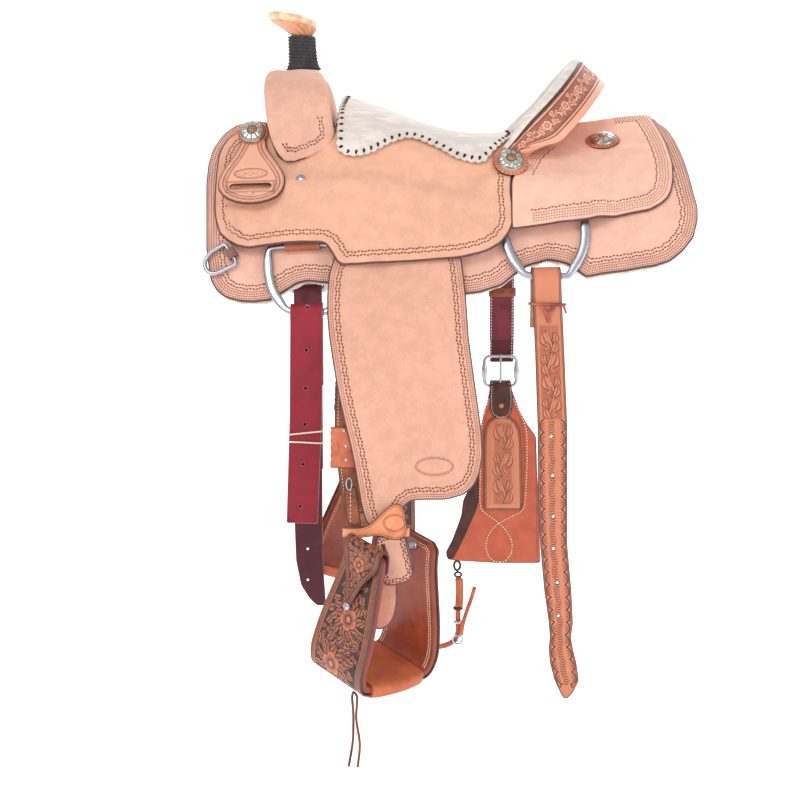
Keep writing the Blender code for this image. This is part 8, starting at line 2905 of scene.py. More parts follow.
class Hung:
    """Surface of a strap folded over a ring: x across, s along its length."""

    def __init__(self, point, out, px, y_plane, back_z, slope):
        rx, ry, rz = point
        self.point, self.slope, self.out = point, slope, out
        rows = np.array([(at_y(ul, v, y_plane)[0], at_y(ur, v, y_plane)[0], at_y(ul, v, y_plane)[2]) for ul, ur, v in px])
        self.rows, r, c = rows, STRAP_R, STRAP_C
        back = [(ry - out * c, z) for z in np.arange(back_z, rz - 0.034, 0.010)]
        path = back + [(ry - out * c, rz - 0.034), (ry - out * (c + 0.0005), rz - 0.026), (ry - out * (c + 0.0022), rz - 0.015), (ry - out * r, rz - 0.004)]
        path += [(ry - out * r * math.cos(a), rz + STRAP_TOP + r * math.sin(a)) for a in np.linspace(0.0, math.pi, 17)]
        path += [(ry + out * r, rz - 0.004), (ry + out * (c + 0.0022), rz - 0.015), (ry + out * (c + 0.0005), rz - 0.026)]
        path += [(ry + out * c, z) for z in np.arange(rz - 0.034, rows[-1, 2], -0.010)] + [(ry + out * c, rows[-1, 2] - 0.004)]
        path = np.array(path)
        for _ in range(2):
            path[1:-1] = (path[:-2] + 2 * path[1:-1] + path[2:]) / 4
        self.run = np.concatenate(([0], np.cumsum(np.linalg.norm(np.diff(path, axis=0), axis=1))))
        self.path = path
        t = unit(np.gradient(path, axis=0))
        n = np.stack((t[:, 1], -t[:, 0]), -1)
        k = int(np.argmax(path[:, 1]))
        if n[k, 1] < 0:
            n = -n
        self.n, self.top = n, self.run[k]
        front = np.arange(len(path)) > k
        self.s_of_z = lambda z: np.interp(-np.asarray(z, float), -path[front][:, 1], self.run[front])
        self.x0, self.x1 = rows[0, 0], rows[0, 1]

    def __call__(self, x, s, off=0.0):
        x, s = np.asarray(x, float), np.asarray(s, float)
        y = np.interp(s, self.run, self.path[:, 0]) + off * np.interp(s, self.run, self.n[:, 0])
        z = np.interp(s, self.run, self.path[:, 1]) + off * np.interp(s, self.run, self.n[:, 1])
        local = x - self.point[0]
        y = y + self.slope[0] * local
        z = z + self.slope[1] * local * smoothstep((z - self.point[2] + 0.05) / 0.03)
        return np.stack((x, y, z), -1)

    def outline(self, bulge=0.0):
        rows = self.rows[self.rows[:, 2] < self.point[2] - 0.036]
        s = self.s_of_z(rows[:, 2])
        left = [(self.x0, 0.0), (self.x0, self.top)] + list(zip(rows[:, 0], s))
        right = [(self.x1, 0.0), (self.x1, self.top)] + list(zip(rows[:, 1], s))
        lx = resampled(np.array(left), 0.004, closed=False)
        rx_ = resampled(np.array(right), 0.004, closed=False)
        return np.vstack((lx, rx_[::-1]))

    def at_px(self, u, v):
        p = at_y(u, v, self.point[1])
        return p[0], float(self.s_of_z(p[2]))


def round_hole(x, s, r=0.0026, sides=10):
    t = np.linspace(0, 2 * math.pi, sides, endpoint=False)
    return np.stack((x + r * np.cos(t), s + r * np.sin(t)), -1)


def pressed(strap, at_list, mat_index, solid, r=0.0032):
    for x, s in at_list:
        p = strap(np.array([x]), np.array([s]), STRAP_T / 2)
        q = strap(np.array([x]), np.array([s]), STRAP_T / 2 + 0.01)
        marks(solid, p, [(0, 0, 1.0)], q - p, 2 * r, 2 * r, 0.00015, mat_index, sides=14)


HALF = STRAP_T / 2
strap_bend = ripple(0.0006, 30.0, 61)


# ---------------------------------------------------------------- near latigo
LATIGO_PX = [(290.3, 323, 295), (290, 323, 350), (289.5, 322, 420), (288, 320, 470), (286.5, 318, 523)]
latigo = Hung(FB, -1, LATIGO_PX, FB[1], at_y(326, 386, FB[1])[2], FS)
holes = [latigo.at_px(u, v) for u, v in ((307.6, 307), (306.4, 350), (305.7, 388), (305, 424), (303, 464), (300.5, 506))]
LATIGO_MAT = plain_leather("latigo_near_leather", srgb(146, 34, 50), srgb(130, 29, 43), rough=0.55, coat=0.02, spots=0.2)
o, line = panel("latigo_strap", latigo, latigo.outline(), -HALF, HALF, (LATIGO_MAT, EDGE_PINK, BURGUNDY_DARK), "latigo", ("latigo_near",), step=0.010, longest=0.0026, radius=0.0010, ease=1, slot="burgundy", holes=[round_hole(*h) for h in holes])
work = Solid()
# dark disk at the back of each hole: painted shade where the hole would show only shadow
for x, s in holes:
    p = latigo(np.array([x]), np.array([s]), -HALF + 0.0002)[0]
    q = latigo(np.array([x]), np.array([s]), 0.01)[0]
    marks(work, [p], [(0, 0, 1.0)], [q - p], 0.0052, 0.0052, 0.0004, 0, sides=12)
work.make("latigo_hole_shade", (HOLE_SHADE,), "latigo", slot="burgundy")
tie = Solid()
for k, (a, b) in enumerate((((288.6, 434.5), (322, 430.5)), ((288.3, 441.5), (321.8, 442.5)))):
    (xa, sa), (xb, sb) = latigo.at_px(*a), latigo.at_px(*b)
    c = HALF + 0.0012
    mid_path = [(xa + (xb - xa) * t, sa + (sb - sa) * t, c + 0.0004 * math.sin(9 * t + k)) for t in np.linspace(0, 1, 15)]
    loop = mid_path + [(xb + 0.0016, sb, c - 0.0012), (xb + 0.0020, sb, 0.0), (xb + 0.0016, sb, -c + 0.0010), (xb, sb, -c)]
    loop += [(xb + (xa - xb) * t, sb + (sa - sb) * t, -c) for t in np.linspace(0.1, 1, 10)] + [(xa - 0.0016, sa, -c + 0.0010), (xa - 0.0020, sa, 0.0), (xa - 0.0016, sa, c - 0.0012)]
    rod(tie, [latigo(np.array(x), np.array(s), o_) for x, s, o_ in loop], 0.0012, 0, (0, 0, 1), 8, closed=True, flat=1.0)
tie.make("latigo_tie", (THREAD,), "latigo", slot="roughout")

# ---------------------------------------------------------------- off billet
OFF_PX = [(294, 322, 290), (294, 322, 420), (294.5, 322.5, 520), (296, 323, 560), (301, 324.5, 585), (309, 325.5, 598), (317, 325.5, 606)]
off_strap = Hung(OF, 1, OFF_PX, OF[1], at_y(300, 470, OF[1])[2], (-FS[0], FS[1]))
holes = [off_strap.at_px(u, v) for u, v in ((308, 430), (308, 470), (308, 510), (307.7, 549), (307.8, 580))]
OFF_MAT = plain_leather("off_billet_leather", srgb(110, 44, 58), srgb(78, 26, 40), rough=0.50, coat=0.03, spots=0.25)
panel("off_billet_strap", off_strap, off_strap.outline(), -HALF, HALF, (OFF_MAT, EDGE_RAW, OFF_MAT), "billet_off", ("off_billet",), step=0.012, longest=0.0028, radius=0.0010, ease=2, slot="burgundy", holes=[round_hole(*h, 0.0024) for h in holes[1:]])

# ---------------------------------------------------------------- near flank billet
BILLET_PX = [
    (531, 560, 266), (532.5, 561, 300), (535, 564, 352), (537.5, 567, 428), (538, 567, 500),
    (540, 567, 545), (544, 571, 590), (548.5, 572.5, 622), (549.5, 570.5, 636), (548.5, 572.5, 648),
    (549.5, 576, 662), (554, 578.3, 679), (560, 572, 692), (563, 567, 697),
]
billet = Hung(RB, -1, BILLET_PX, RB[1], RB[2] - 0.075, RS)
bline = billet.outline()
holes = [billet.at_px(u, v) for u, v in ((551, 436), (552.5, 475), (553, 516), (553, 548), (557, 582), (558, 615))]
s_end = float(bline[:, 1].max())
px_mid = [(545.5, 266), (547, 300), (549.5, 352), (552.3, 428), (552.6, 500), (553.5, 545), (557.5, 590), (560, 622), (560, 636), (560.5, 648), (562.8, 662), (566, 679), (565.5, 692)]
mid_sx = np.array([billet.at_px(u, v)[::-1] for u, v in px_mid])
half_w = np.array([0.5 * (at_y(b, v, RB[1])[0] - at_y(a, v, RB[1])[0]) for a, b, v in BILLET_PX])
half_s = np.array([billet.at_px(0.5 * (a + b), v)[1] for a, b, v in BILLET_PX])


def billet_y(x, s):
    """Place across the strap from its middle line, and its half width."""
    return x - np.interp(s, mid_sx[:, 0], mid_sx[:, 1]), np.interp(s, half_s, half_w)


BW = 0.030
bcar = Carving(s_end + 0.01, 2 * BW, 0.0003, plain=0.60, coarse=1.6, hollow=0.9)
s_a, s_b = billet.at_px(550, 328)[1], billet.at_px(552, 416)[1]
n_leaf = 4
bcar.ground(lambda x, y: 0.55 * smoothstep((x - s_a + 0.006) / 0.004) * smoothstep((s_b + 0.006 - x) / 0.004) * smoothstep((np.interp(x, half_s, half_w) - 0.0062 - np.abs(y - BW)) / 0.0015), depth=-0.45)
step_b = (s_b - s_a) / n_leaf
for k in range(n_leaf):
    s0 = s_a + step_b * (k + 0.5)
    up = 1 if k % 2 else -1
    bcar.leaf(s0 - 0.011, BW + up * 0.0085, -up * 0.62, 0.0250, 0.0125, curl=up * 0.9, lobes=0)
    bcar.leaf(s0 + 0.004, BW - up * 0.0085, up * 0.50, 0.0180, 0.0090, curl=-up * 0.9, lobes=0)
    bcar.leaf(s0 - 0.010, BW - up * 0.0080, up * 0.35, 0.0150, 0.0080, curl=-up * 1.1, lobes=0)
    turn_k = np.linspace(0, 4.6, 34)
    rr = 0.0060 * (1 - turn_k / 5.6)
    bcar.line(np.stack((s0 + 0.0085 + rr * np.cos(turn_k), BW + up * 0.0060 - up * rr * np.sin(turn_k)), -1), 0.0013, 0.95, taper=True)
    stem = np.linspace(0, 1, 24)
    bcar.line(np.stack((s0 - 0.012 + 0.022 * stem, BW + up * 0.0030 * np.cos(stem * math.pi)), -1), 0.0011, 0.9)
s_c, s_d = billet.at_px(552, 419)[1], billet.at_px(566, 686)[1]
ss = np.arange(s_c, s_d, 0.0007)
arch = 0.0190
for side_k in (-1, 1):
    hw = np.interp(ss, half_s, half_w)
    lift = np.abs(np.sin((ss - s_c) / arch * math.pi)) ** 0.8
    y = BW + side_k * (hw - 0.0094 + 0.0055 * lift)
    bcar.line(np.stack((ss, y), -1), 0.00062, -1.0)
    bcar.line(np.stack((ss, y + side_k * 0.0014), -1), 0.00036, -0.6)
    for s0 in np.arange(s_c + arch / 2, s_d, arch):
        hw0 = float(np.interp(s0, half_s, half_w))
        for spread in (-0.5, 0.0, 0.5):
            bcar.line([(s0 + spread * 0.003, BW + side_k * (hw0 - 0.0058)), (s0 + spread * 0.009, BW + side_k * (hw0 - 0.0098))], 0.00045, -0.9)
for k, s0 in enumerate(np.arange(s_c + 0.004, s_d - 0.004, 0.0038)):
    seg = int((s0 - s_c) / (arch * 1.6))
    lean = 1 if seg % 2 else -1
    wob = 0.0022 * math.sin((s0 - s_c) / (arch * 1.6) * math.pi)
    bcar.line([(s0 - 0.0016, BW + lean * wob - 0.0038), (s0 + 0.0004, BW + lean * wob), (s0 - 0.0016, BW + lean * wob + 0.0038)], 0.00052, -1.0)
for side_k in (-1, 1):
    ss2 = np.arange(billet.at_px(546, 268)[1], s_d, 0.0016)
    hw = np.interp(ss2, half_s, half_w)
    bcar.line(np.stack((ss2, BW + side_k * (hw - 0.0030)), -1), 0.00042, -0.85)
bcar.blurred()


def billet_relief(x, s):
    y, hw = billet_y(x, s)
    h = bcar.read(np.maximum(s, 0), y + BW)
    return 0.00045 * (h - 0.6), 0.5 + 0.5 * h


o, line = panel("flank_billet_strap", billet, bline, -HALF, HALF, (TOOLED_BILLET, EDGE, FLESH), "flank_near", ("flank_billet_near",), step=0.00085, longest=0.0018, radius=0.0010, relief=billet_relief, ease=1, slot="tooled", holes=[round_hole(*h, 0.0022) for h in holes])
# lace knot below the fold
knot = Solid()
HK = HALF + 0.0014
(kx0, ks0), (kx1, ks1) = billet.at_px(531, 303.5), billet.at_px(563, 304.5)
across = [(kx0 - 0.0020, ks0, -0.001), (kx0 - 0.0012, ks0, HK - 0.0006)] + [(kx0 + (kx1 - kx0) * t, ks0 + (ks1 - ks0) * t, HK) for t in np.linspace(0.05, 0.95, 9)] + [(kx1 + 0.0012, ks1, HK - 0.0006), (kx1 + 0.0020, ks1, -0.001)]
rod(knot, [billet(np.array(x), np.array(s), o_) for x, s, o_ in across], 0.0024, 0, (0, 0, 1), 10, flat=1.0)
tip = billet.at_px(548.5, 322)
for k, u in enumerate((541, 555)):
    a = billet.at_px(u, 305)
    m_ = billet.at_px(547 + (1.2 if k else -1.2), 313)
    pts = [(a[0], a[1] - 0.002, HK), (a[0] + (m_[0] - a[0]) * 0.5, (a[1] + m_[1]) / 2, HK + 0.0012), (m_[0], m_[1], HK + 0.0010), (tip[0], tip[1], HALF - 0.0004)]
    rod(knot, spline(np.array([billet(np.array(x), np.array(s), o_) for x, s, o_ in pts]), 12, closed=False), 0.0031, 0, (0, 0, 1), 10, flat=0.9)
ends = [billet.at_px(563, 305), billet.at_px(566, 309)]
rod(knot, [billet(np.array(ends[0][0]), np.array(ends[0][1]), 0.0), billet(np.array(ends[1][0] - 0.002), np.array(ends[1][1]), -0.001), billet(np.array(ends[1][0]), np.array(ends[1][1] + 0.006), -0.002)], 0.0016, 0, (0, 1, 0), 8)
knot.make("billet_lace_knot", (KNOT,), "flank_near", slot="dark_leather")

# ---------------------------------------------------------------- off flank billet
FB_Y = OR[1]
OFFB_PX = [(490, 514, 272), (490, 514, 330), (490, 513.5, 362)]
offb = Hung(OR, 1, OFFB_PX, FB_Y, at_y(500, 340, FB_Y)[2], (-RS[0], RS[1]))
o, line = panel("flank_strap_off", offb, offb.outline(), -HALF, HALF, (plain_leather("flank_latigo", srgb(122, 42, 58), srgb(90, 26, 42), rough=0.45, coat=0.1, spots=0.25), EDGE_BROWN, plain_leather("flank_latigo_back", srgb(126, 44, 60), srgb(92, 28, 44), rough=0.5)), "flank_off", ("flank_billet_off",), step=0.010, longest=0.0024, radius=0.0010, ease=1, slot="burgundy")
# the side seen from the near side is the inner ply
work = Solid()
inner_off = lambda x, s, off=0.0: offb(x, s, -np.asarray(off))
xl_, xr_ = offb.x0 + 0.0026, offb.x1 - 0.0026
for ply, s_lo, s_hi in ((inner_off, 0.004, offb.top - 0.010), (inner_off, offb.top + 0.012, float(offb.outline()[:, 1].max()) - 0.004), (offb, 0.004, offb.top - 0.010), (offb, offb.top - 0.010, float(offb.outline()[:, 1].max()) - 0.004)):
    for x_ in (xl_, xr_):
        s_ = np.arange(s_lo, s_hi, 0.0052)
        if not len(s_):
            continue
        p = ply(np.full(len(s_), x_), s_, HALF)
        q = ply(np.full(len(s_), x_), s_, HALF + 0.01)
        r_ = ply(np.full(len(s_), x_), s_ + 0.001, HALF)
        marks(work, p, r_ - p, q - p, 0.0034, 0.0020, 0.0010)
work.make("flank_strap_stitch", (THREAD,), "flank_off", slot="roughout")
# laced wrap under the ring
wrap_px = [(489.5, 287), (514.5, 286), (515, 297), (490, 298)]
zc = at_y(502, 292, FB_Y)[2]
work = Solid()
x0_, x1_ = at_y(490.5, 292, FB_Y)[0] - 0.0015, at_y(514, 292, FB_Y)[0] + 0.0015
rim = [(x0_, FB_Y - 0.0062), (x0_ - 0.0012, FB_Y), (x0_, FB_Y + 0.0064), (x1_, FB_Y + 0.0064), (x1_ + 0.0012, FB_Y), (x1_, FB_Y - 0.0062)]
loops = []
for z, g in ((zc - 0.0080, 0.0), (zc - 0.0074, 0.0006), (zc + 0.0070, 0.0006), (zc + 0.0076, 0.0)):
    loops.append([(x + np.sign(x - (x0_ + x1_) / 2) * g, y + np.sign(y - FB_Y) * g + (-RS[0]) * (x - OR[0]), z + 0.0 * x) for x, y in rim])
lofted(work, loops, 0)
for x_ in np.linspace(x0_ + 0.005, x1_ - 0.005, 3):
    p = np.array([(x_, FB_Y - 0.0070 + (-RS[0]) * (x_ - OR[0]), zc)])
    marks(work, p, [(0.6, 0, 0.8)], [(0, -1.0, 0)], 0.0065, 0.0016, 0.0010, 1)
work.make("flank_wrap", (plain_leather("flank_wrap_leather", srgb(196, 116, 84), srgb(150, 80, 58), rough=0.55), LACE), "flank_off", slot="roughout")

# ---------------------------------------------------------------- flank buckle
by = FB_Y - 0.0105
corners = [at_y(u, v, by) for u, v in ((484.5, 356), (516.5, 356), (516.5, 386), (484.5, 386))]
xl, xr = corners[0][0], corners[1][0]
zt, zb = corners[0][2], corners[2][2]
c = 0.010
frame_path = []
for cx, cz, a0 in ((xr - c, zt - c, 90), (xr - c, zb + c, 0), (xl + c, zb + c, -90), (xl + c, zt - c, -180)):
    for t in np.radians(np.linspace(a0, a0 - 90, 7)):
        frame_path.append((cx + c * math.cos(t), by, cz + c * math.sin(t)))
frame_path = resampled(np.array(frame_path), 0.0025)
wide = 0.0028 + 0.0020 * np.exp(-(((frame_path[:, 2] - (zt + zb) / 2) / 0.012) ** 2)) * (np.abs(frame_path[:, 0] - (xl + xr) / 2) > (xr - xl) / 2 - 0.004)
work = Solid()
rod(work, frame_path, wide, 0, (0, 1, 0), 14, closed=True, flat=0.85)
work.make("flank_buckle_frame", (CHROME,), "flank_off", ("flank_buckle",), slot="stainless")
mid = (xl + xr) / 2
work = Solid()
tong = spline(np.array([(mid - 0.0005, by - 0.0034, zb + 0.0030), (mid, by - 0.0058, zb + 0.0090), (mid, by - 0.0066, (zt + zb) / 2), (mid, by - 0.0056, zt - 0.001), (mid, by - 0.0050, zt + 0.0035)]), 16, closed=False)
rod(work, tong, np.linspace(0.0023, 0.0017, 16), 0, (0, 1, 0), 12)
work.make("buckle_tongue_steel", (STEEL,), "buckle_tongue", ("flank_buckle_tongue",), slot="stainless")

# ---------------------------------------------------------------- flank cinch
CINCH_PX = [
    (489, 512, 386), (489, 513, 396), (487, 516.5, 402), (484, 519.5, 410), (481, 527, 424), (480, 536, 436),
    (478, 537, 470), (463, 538.5, 500), (461, 539, 516), (452, 539.5, 540), (445, 540, 553), (451, 540, 560), (497, 540, 563.5),
]
crows = np.array([(at_y(a, v, by)[0], at_y(b, v, by)[0], at_y(a, v, by)[2]) for a, b, v in CINCH_PX])
ct = 0.0042
cr = 0.0030 + 0.0016 + ct / 2
cgap = ct / 2 + 0.0004


class Cinch:
    def __init__(self):
        path = [(by + cgap, z) for z in np.arange(zb - 0.040, zb - 0.022, 0.006)] + [(by + cgap, zb - 0.022), (by + (cgap + cr) / 2, zb - 0.012), (by + cr, zb - 0.003)]
        path += [(by + cr * math.cos(a), zb + cr * math.sin(a)) for a in np.linspace(0.1, math.pi - 0.1, 15)]
        path += [(by - cr, zb - 0.003), (by - (cgap + cr) / 2, zb - 0.012), (by - cgap, zb - 0.022)]
        path += [(by - cgap, z) for z in np.arange(zb - 0.030, crows[-1, 2] - 0.006, -0.008)]
        path = np.array(path)
        for _ in range(2):
            path[1:-1] = (path[:-2] + 2 * path[1:-1] + path[2:]) / 4
        self.path = path
        self.run = np.concatenate(([0], np.cumsum(np.linalg.norm(np.diff(path, axis=0), axis=1))))
        t = unit(np.gradient(path, axis=0))
        n = np.stack((t[:, 1], -t[:, 0]), -1)
        k = int(np.argmax(path[:, 1]))
        self.n = n if n[k, 1] > 0 else -n
        self.top = self.run[k]
        front = np.arange(len(path)) > k
        self.s_of_z = lambda z: np.interp(-np.asarray(z, float), -path[front][:, 1], self.run[front])

    def __call__(self, x, s, off=0.0):
        x, s = np.asarray(x, float), np.asarray(s, float)
        y = np.interp(s, self.run, self.path[:, 0]) + off * np.interp(s, self.run, self.n[:, 0])
        z = np.interp(s, self.run, self.path[:, 1]) + off * np.interp(s, self.run, self.n[:, 1])
        return np.stack((x + 0 * z, y, z), -1)

    def at_px(self, u, v):
        p = at_y(u, v, by)
        return p[0], float(self.s_of_z(p[2]))


cinch = Cinch()
xs0, xs1 = mid - 0.0185, mid + 0.0185
use = crows[crows[:, 2] < zb - 0.026]
cs = cinch.s_of_z(use[:, 2])
left = np.array([(xs0, 0.0), (xs0, cinch.top + 0.012)] + list(zip(use[:, 0], cs)))
right = np.array([(xs1, 0.0), (xs1, cinch.top + 0.012)] + list(zip(use[:, 1], cs)))
cinch_line = np.vstack((resampled(left, 0.005, closed=False), resampled(right, 0.005, closed=False)[::-1]))
CINCH_MAT = plain_leather("cinch_leather", srgb(196, 98, 72), srgb(180, 86, 62), rough=0.52, coat=0.03, spots=0.2)
o, line = panel("cinch_body", cinch, cinch_line, -ct / 2, ct / 2 - 0.0006, (CINCH_MAT, EDGE, CHAFE), "cinch", ("flank_cinch",), step=0.010, longest=0.0035, radius=0.0012, ease=1, slot="tooled")


def cinch_poly(px):
    return np.array([cinch.at_px(u, v) for u, v in px])


# lining turned up at the left edge, seen beside the body
fold = cinch_poly([(478.6, 468), (463, 500), (461, 515), (452, 540), (445.5, 552), (447.5, 559), (452, 559.5), (459, 547), (467, 530), (475, 512), (479, 500)])
panel("cinch_fold", cinch, fold, ct / 2 - 0.0004, ct / 2 + 0.0012, (CHAFE, EDGE_BROWN, CHAFE), "cinch", step=0.008, longest=0.004, radius=0.0008, ease=1, slot="dark_leather")
# chafe: dark stitched piece looped on the buckle
chafe = np.array([(xs0 + 0.0008, cinch.top - 0.010), (xs0 + 0.0008, cinch.top), cinch.at_px(489.5, 396), cinch.at_px(490, 410), cinch.at_px(493, 416), cinch.at_px(501, 419), cinch.at_px(509, 416), cinch.at_px(512, 410), cinch.at_px(512.5, 396), (xs1 - 0.0008, cinch.top), (xs1 - 0.0008, cinch.top - 0.010)])
o, chafe_line = panel("cinch_chafe", cinch, chafe, ct / 2 - 0.0004, ct / 2 + 0.0020, (CHAFE, EDGE_BROWN, CHAFE), "cinch", step=0.007, longest=0.003, radius=0.0009, ease=1, slot="dark_leather")
# round-topped tooled plate with its border
plate_px = [(484, 507), (484, 440), (485, 428), (489, 420), (496, 416), (503, 415), (510, 417), (516, 422), (519.5, 430), (521, 442), (522, 507), (521, 509.5), (485, 509.5)]
plate = cinch_poly(plate_px)
PLW = 0.032
(px0, ps0), (px1, ps1) = cinch.at_px(503, 415), cinch.at_px(503, 509)
pcar = Carving(ps1 - ps0 + 0.02, 2 * PLW, 0.0003, plain=0.62, coarse=1.7, hollow=0.9)
pcar.ground(lambda x, y: 0.5 * smoothstep((x - 0.014) / 0.005) * smoothstep((ps1 - ps0 - 0.004 - x) / 0.004) * smoothstep((0.0165 - np.abs(y - PLW)) / 0.002), depth=-0.35)
for k in range(3):
    s0 = 0.020 + (k + 0.35) * (ps1 - ps0 - 0.024) / 3
    up = 1 if k % 2 else -1
    pcar.leaf(s0 - 0.016, PLW + up * 0.011, -up * 0.62, 0.0340, 0.0160, curl=up * 0.9)
    pcar.leaf(s0 + 0.006, PLW - up * 0.012, up * 0.50, 0.0240, 0.0115, curl=-up * 0.9)
    pcar.leaf(s0 - 0.014, PLW - up * 0.010, up * 0.40, 0.0200, 0.0100, curl=-up * 1.1)
    turn_k = np.linspace(0, 4.6, 40)
    rr = 0.0080 * (1 - turn_k / 5.6)
    pcar.line(np.stack((s0 + 0.0120 + rr * np.cos(turn_k), PLW + up * 0.0080 - up * rr * np.sin(turn_k)), -1), 0.0016, 0.95, taper=True)
    stem = np.linspace(0, 1, 24)
    pcar.line(np.stack((s0 - 0.016 + 0.030 * stem, PLW + up * 0.0040 * np.cos(stem * math.pi)), -1), 0.0014, 0.9)
ring_p = resampled(plate, 0.0020)
ring_p = ring_p + inward(ring_p) * 0.0034
ring_p = np.vstack((ring_p, ring_p[:1]))
pcar.line(np.stack((ring_p[:, 1] - ps0 + 0.004, ring_p[:, 0] - px0 + PLW), -1), 0.00050, -1.0)
pcar.blurred()


def plate_relief(x, s):
    h = pcar.read(np.clip(s - ps0 + 0.004, 0, None), x - px0 + PLW)
    return 0.0005 * (h - 0.6), 0.5 + 0.5 * h


o, plate_line = panel("cinch_plate", cinch, plate, ct / 2 - 0.0004, ct / 2 + 0.0022, (TOOLED_BILLET, EDGE_BROWN, TOOLED_BILLET), "cinch", step=0.00095, longest=0.0020, radius=0.0010, relief=plate_relief, ease=1, slot="tooled", swell=lambda bd, pts: 0.0022 * smoothstep(bd / 0.014))
work = Solid()
wavy_line = [(491, 398), (485, 410), (481.5, 424), (480.5, 440), (480.5, 470), (480.5, 508), (485, 514)]
border_l = cinch_poly([(489, 398), (485.5, 408), (481.8, 422), (480.8, 440), (480.4, 470), (480.2, 505), (483, 511), (490, 516), (498, 522), (505, 529), (510.5, 538), (512, 546), (509.5, 555), (503.5, 561), (500, 561.5)])
border_r = cinch_poly([(513, 398), (517, 407), (522.5, 418), (526, 430), (526.8, 445), (526.5, 470), (524, 505), (521, 511), (511, 516), (498.5, 523), (491, 530), (486.5, 540), (486, 548), (489, 556), (495, 561), (500, 561.5)])
for poly_ in (border_l, border_r):
    soft = spline(poly_, 160, closed=False)
    run_ = np.concatenate(([0], np.cumsum(np.linalg.norm(np.diff(soft, axis=0), axis=1))))
    at_ = np.arange(0.002, run_[-1], 0.0052)
    x_, s_ = (np.interp(at_, run_, soft[:, k]) for k in (0, 1))
    xn, sn = (np.interp(at_ + 0.001, run_, soft[:, k]) for k in (0, 1))
    p, q, r_ = cinch(x_, s_, ct / 2 - 0.0006), cinch(x_, s_, ct / 2 + 0.01), cinch(xn, sn, ct / 2 - 0.0006)
    marks(work, p, r_ - p, q - p, 0.0034, 0.0022, 0.0012)
for p_, t_ in rows_at(chafe_line, 0.0028, 0.0040):
    good = p_[:, 1] > cinch.top - 0.004
    p_, t_ = p_[good], t_[good]
    at_, al_, ou_ = on_surface(cinch, ct / 2 + 0.0020, p_, t_)
    marks(work, at_, al_, ou_, 0.0028, 0.0012, 0.0006)
work.make("cinch_stitch", (THREAD,), "cinch", slot="roughout")
work = Solid()
for poly_ in (cinch_poly([(491.5, 400), (488.5, 408), (485, 420), (483, 436), (482.8, 470), (482.6, 506)]), cinch_poly([(511.5, 400), (514.5, 407), (519.5, 418), (523, 430), (524.2, 446), (524, 470), (522.8, 506)]), cinch_poly([(470, 508), (466, 522), (459, 540), (455, 556)]), cinch_poly([(535, 440), (536, 470), (536.5, 510), (537, 556)])):
    soft = spline(poly_, 120, closed=False)
    run_ = np.concatenate(([0], np.cumsum(np.linalg.norm(np.diff(soft, axis=0), axis=1))))
    at_ = np.arange(0.002, run_[-1], 0.0046)
    x_, s_ = (np.interp(at_, run_, soft[:, k]) for k in (0, 1))
    xn, sn = (np.interp(at_ + 0.001, run_, soft[:, k]) for k in (0, 1))
    p, q, r_ = cinch(x_, s_, ct / 2 - 0.0006), cinch(x_, s_, ct / 2 + 0.01), cinch(xn, sn, ct / 2 - 0.0006)
    marks(work, p, r_ - p, q - p, 0.0034, 0.0015, 0.0006)
work.make("cinch_dashes", (DASH,), "cinch", slot="roughout")
work = Solid()
rx_, rs_ = cinch.at_px(501, 405)
p = cinch(np.array(rx_), np.array(rs_), ct / 2 + 0.0018)
lathe(work, [(0, -0.001), (0.0046, -0.001), (0.0047, 0.0004), (0.0034, 0.0013), (0.0012, 0.0016), (0.0, 0.0011)], p, (0, -1, 0), 0, 22)
work.make("cinch_rivet", (COPPER,), "cinch", slot="stainless")

# ---------------------------------------------------------------- cinch hobble
hp_y = by - 0.0005
hstrap = Solid()


def flat_strap(solid, pts_px, width, thick, mat=0, y=hp_y, count=40, dy=0.0):
    pts = spline(np.array([at_y(u, v, y) for u, v in pts_px]) + (0, dy, 0), count, closed=False)
    t = unit(np.gradient(pts, axis=0))
    n = unit(np.cross(t, (0.0, 1.0, 0.0)))
    w = np.broadcast_to(np.asarray(width, float), (count,)) / 2
    th = thick / 2
    loops = []
    for p, nn, ww in zip(pts, n, w):
        yv = np.array((0.0, 1.0, 0.0))
        loops.append([p + nn * ww * 0.82 + yv * th, p + nn * ww + yv * th * 0.5, p + nn * ww - yv * th * 0.5, p + nn * ww * 0.82 - yv * th,
                      p - nn * ww * 0.82 - yv * th, p - nn * ww - yv * th * 0.5, p - nn * ww + yv * th * 0.5, p - nn * ww * 0.82 + yv * th])
    lofted(solid, loops, mat)
    return pts


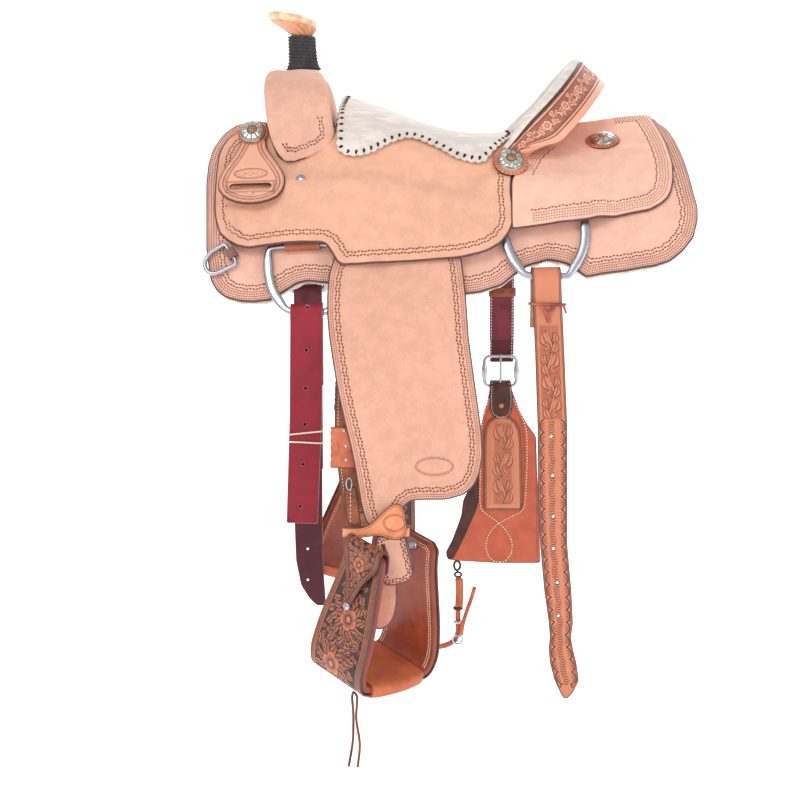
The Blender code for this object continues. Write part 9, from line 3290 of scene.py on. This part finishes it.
flat_strap(hstrap, [(458.5, 577), (458.5, 590), (458, 606), (458, 622), (458, 632), (454.5, 640), (446, 645), (436, 647)], 0.0095, 0.0030)
flat_strap(hstrap, [(459, 578), (459.5, 588), (459.2, 600), (458.8, 607)], 0.0140, 0.0026, dy=-0.0030, count=16)
flat_strap(hstrap, [(461, 634), (463, 622), (467, 609), (471, 598), (474.5, 586)], 0.0070, 0.0026, dy=-0.0060, count=24)
hstrap_obj = hstrap.make("hobble_strap_cinch", (plain_leather("cinch_hobble_leather", srgb(196, 108, 78), srgb(160, 78, 56), rough=0.5, edge=False),), "cinch_strap", ("cinch_hobble",), slot="tooled")
work = Solid()
for v in (608, 622):
    c0 = at_y(458, v, hp_y)
    w, t_ = 0.0068, 0.0040
    ring_ = [c0 + (w * math.cos(a), t_ * math.sin(a), 0.0) for a in np.linspace(0, 2 * math.pi, 20, endpoint=False)]
    rod(work, ring_, 0.0022, 1 if v == 608 else 0, (0, 0, 1), 8, closed=True, flat=1.4)
c0 = at_y(457.5, 639, hp_y)
box_path = [c0 + (0.0088 * math.cos(a), -0.0036, 0.0080 * math.sin(a)) for a in np.linspace(0, 2 * math.pi, 24, endpoint=False)]
rod(work, box_path, 0.0017, 0, (0, 1, 0), 8, closed=True)
rod(work, [c0 + (0.0, -0.0040, 0.0080), c0 + (0.0, -0.0052, 0.0), c0 + (0.0, -0.0042, -0.0086)], 0.0012, 0, (0, 1, 0), 8)
# snap
top = at_y(457, 561, hp_y)
snap = [top + (0.0, 0.0, 0.0), top + (0.0046, 0, -0.0030), top + (0.0058, 0, -0.0100), top + (0.0030, 0, -0.0150), top + (0.0, 0, -0.0170), top + (-0.0030, 0, -0.0150), top + (-0.0050, 0, -0.0090), top + (-0.0040, 0, -0.0026)]
rod(work, spline(np.array(snap), 28), 0.0021, 1, (0, 1, 0), 8, closed=True)
eye = at_y(458, 574.5, hp_y)
rod(work, [eye + (0.0060 * math.cos(a), 0.0 * a, 0.0042 * math.sin(a)) for a in np.linspace(0, 2 * math.pi, 18, endpoint=False)], 0.0019, 1, (0, 1, 0), 8, closed=True)
work.make("cinch_snap", (CHROME, IRON), "cinch_strap", slot="stainless")


# ================================================================ the rest
for name, node in frame["nodes"].items():
    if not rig.is_stage(node):
        mat = WOOD if name in ("fork", "bar_near", "bar_off", "cantle_board") else IRON if name == "horn_core" else None
        if mat is None:
            continue
        for k in range(max(1, len(node.data.materials))):
            if k < len(node.data.materials):
                node.data.materials[k] = mat
            else:
                node.data.materials.append(mat)

visual = [[float(c) for c in corner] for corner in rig.bounds()]
with open("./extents.json", "w") as out:
    json.dump({"cad": CAD_BOX, "visual": visual}, out)
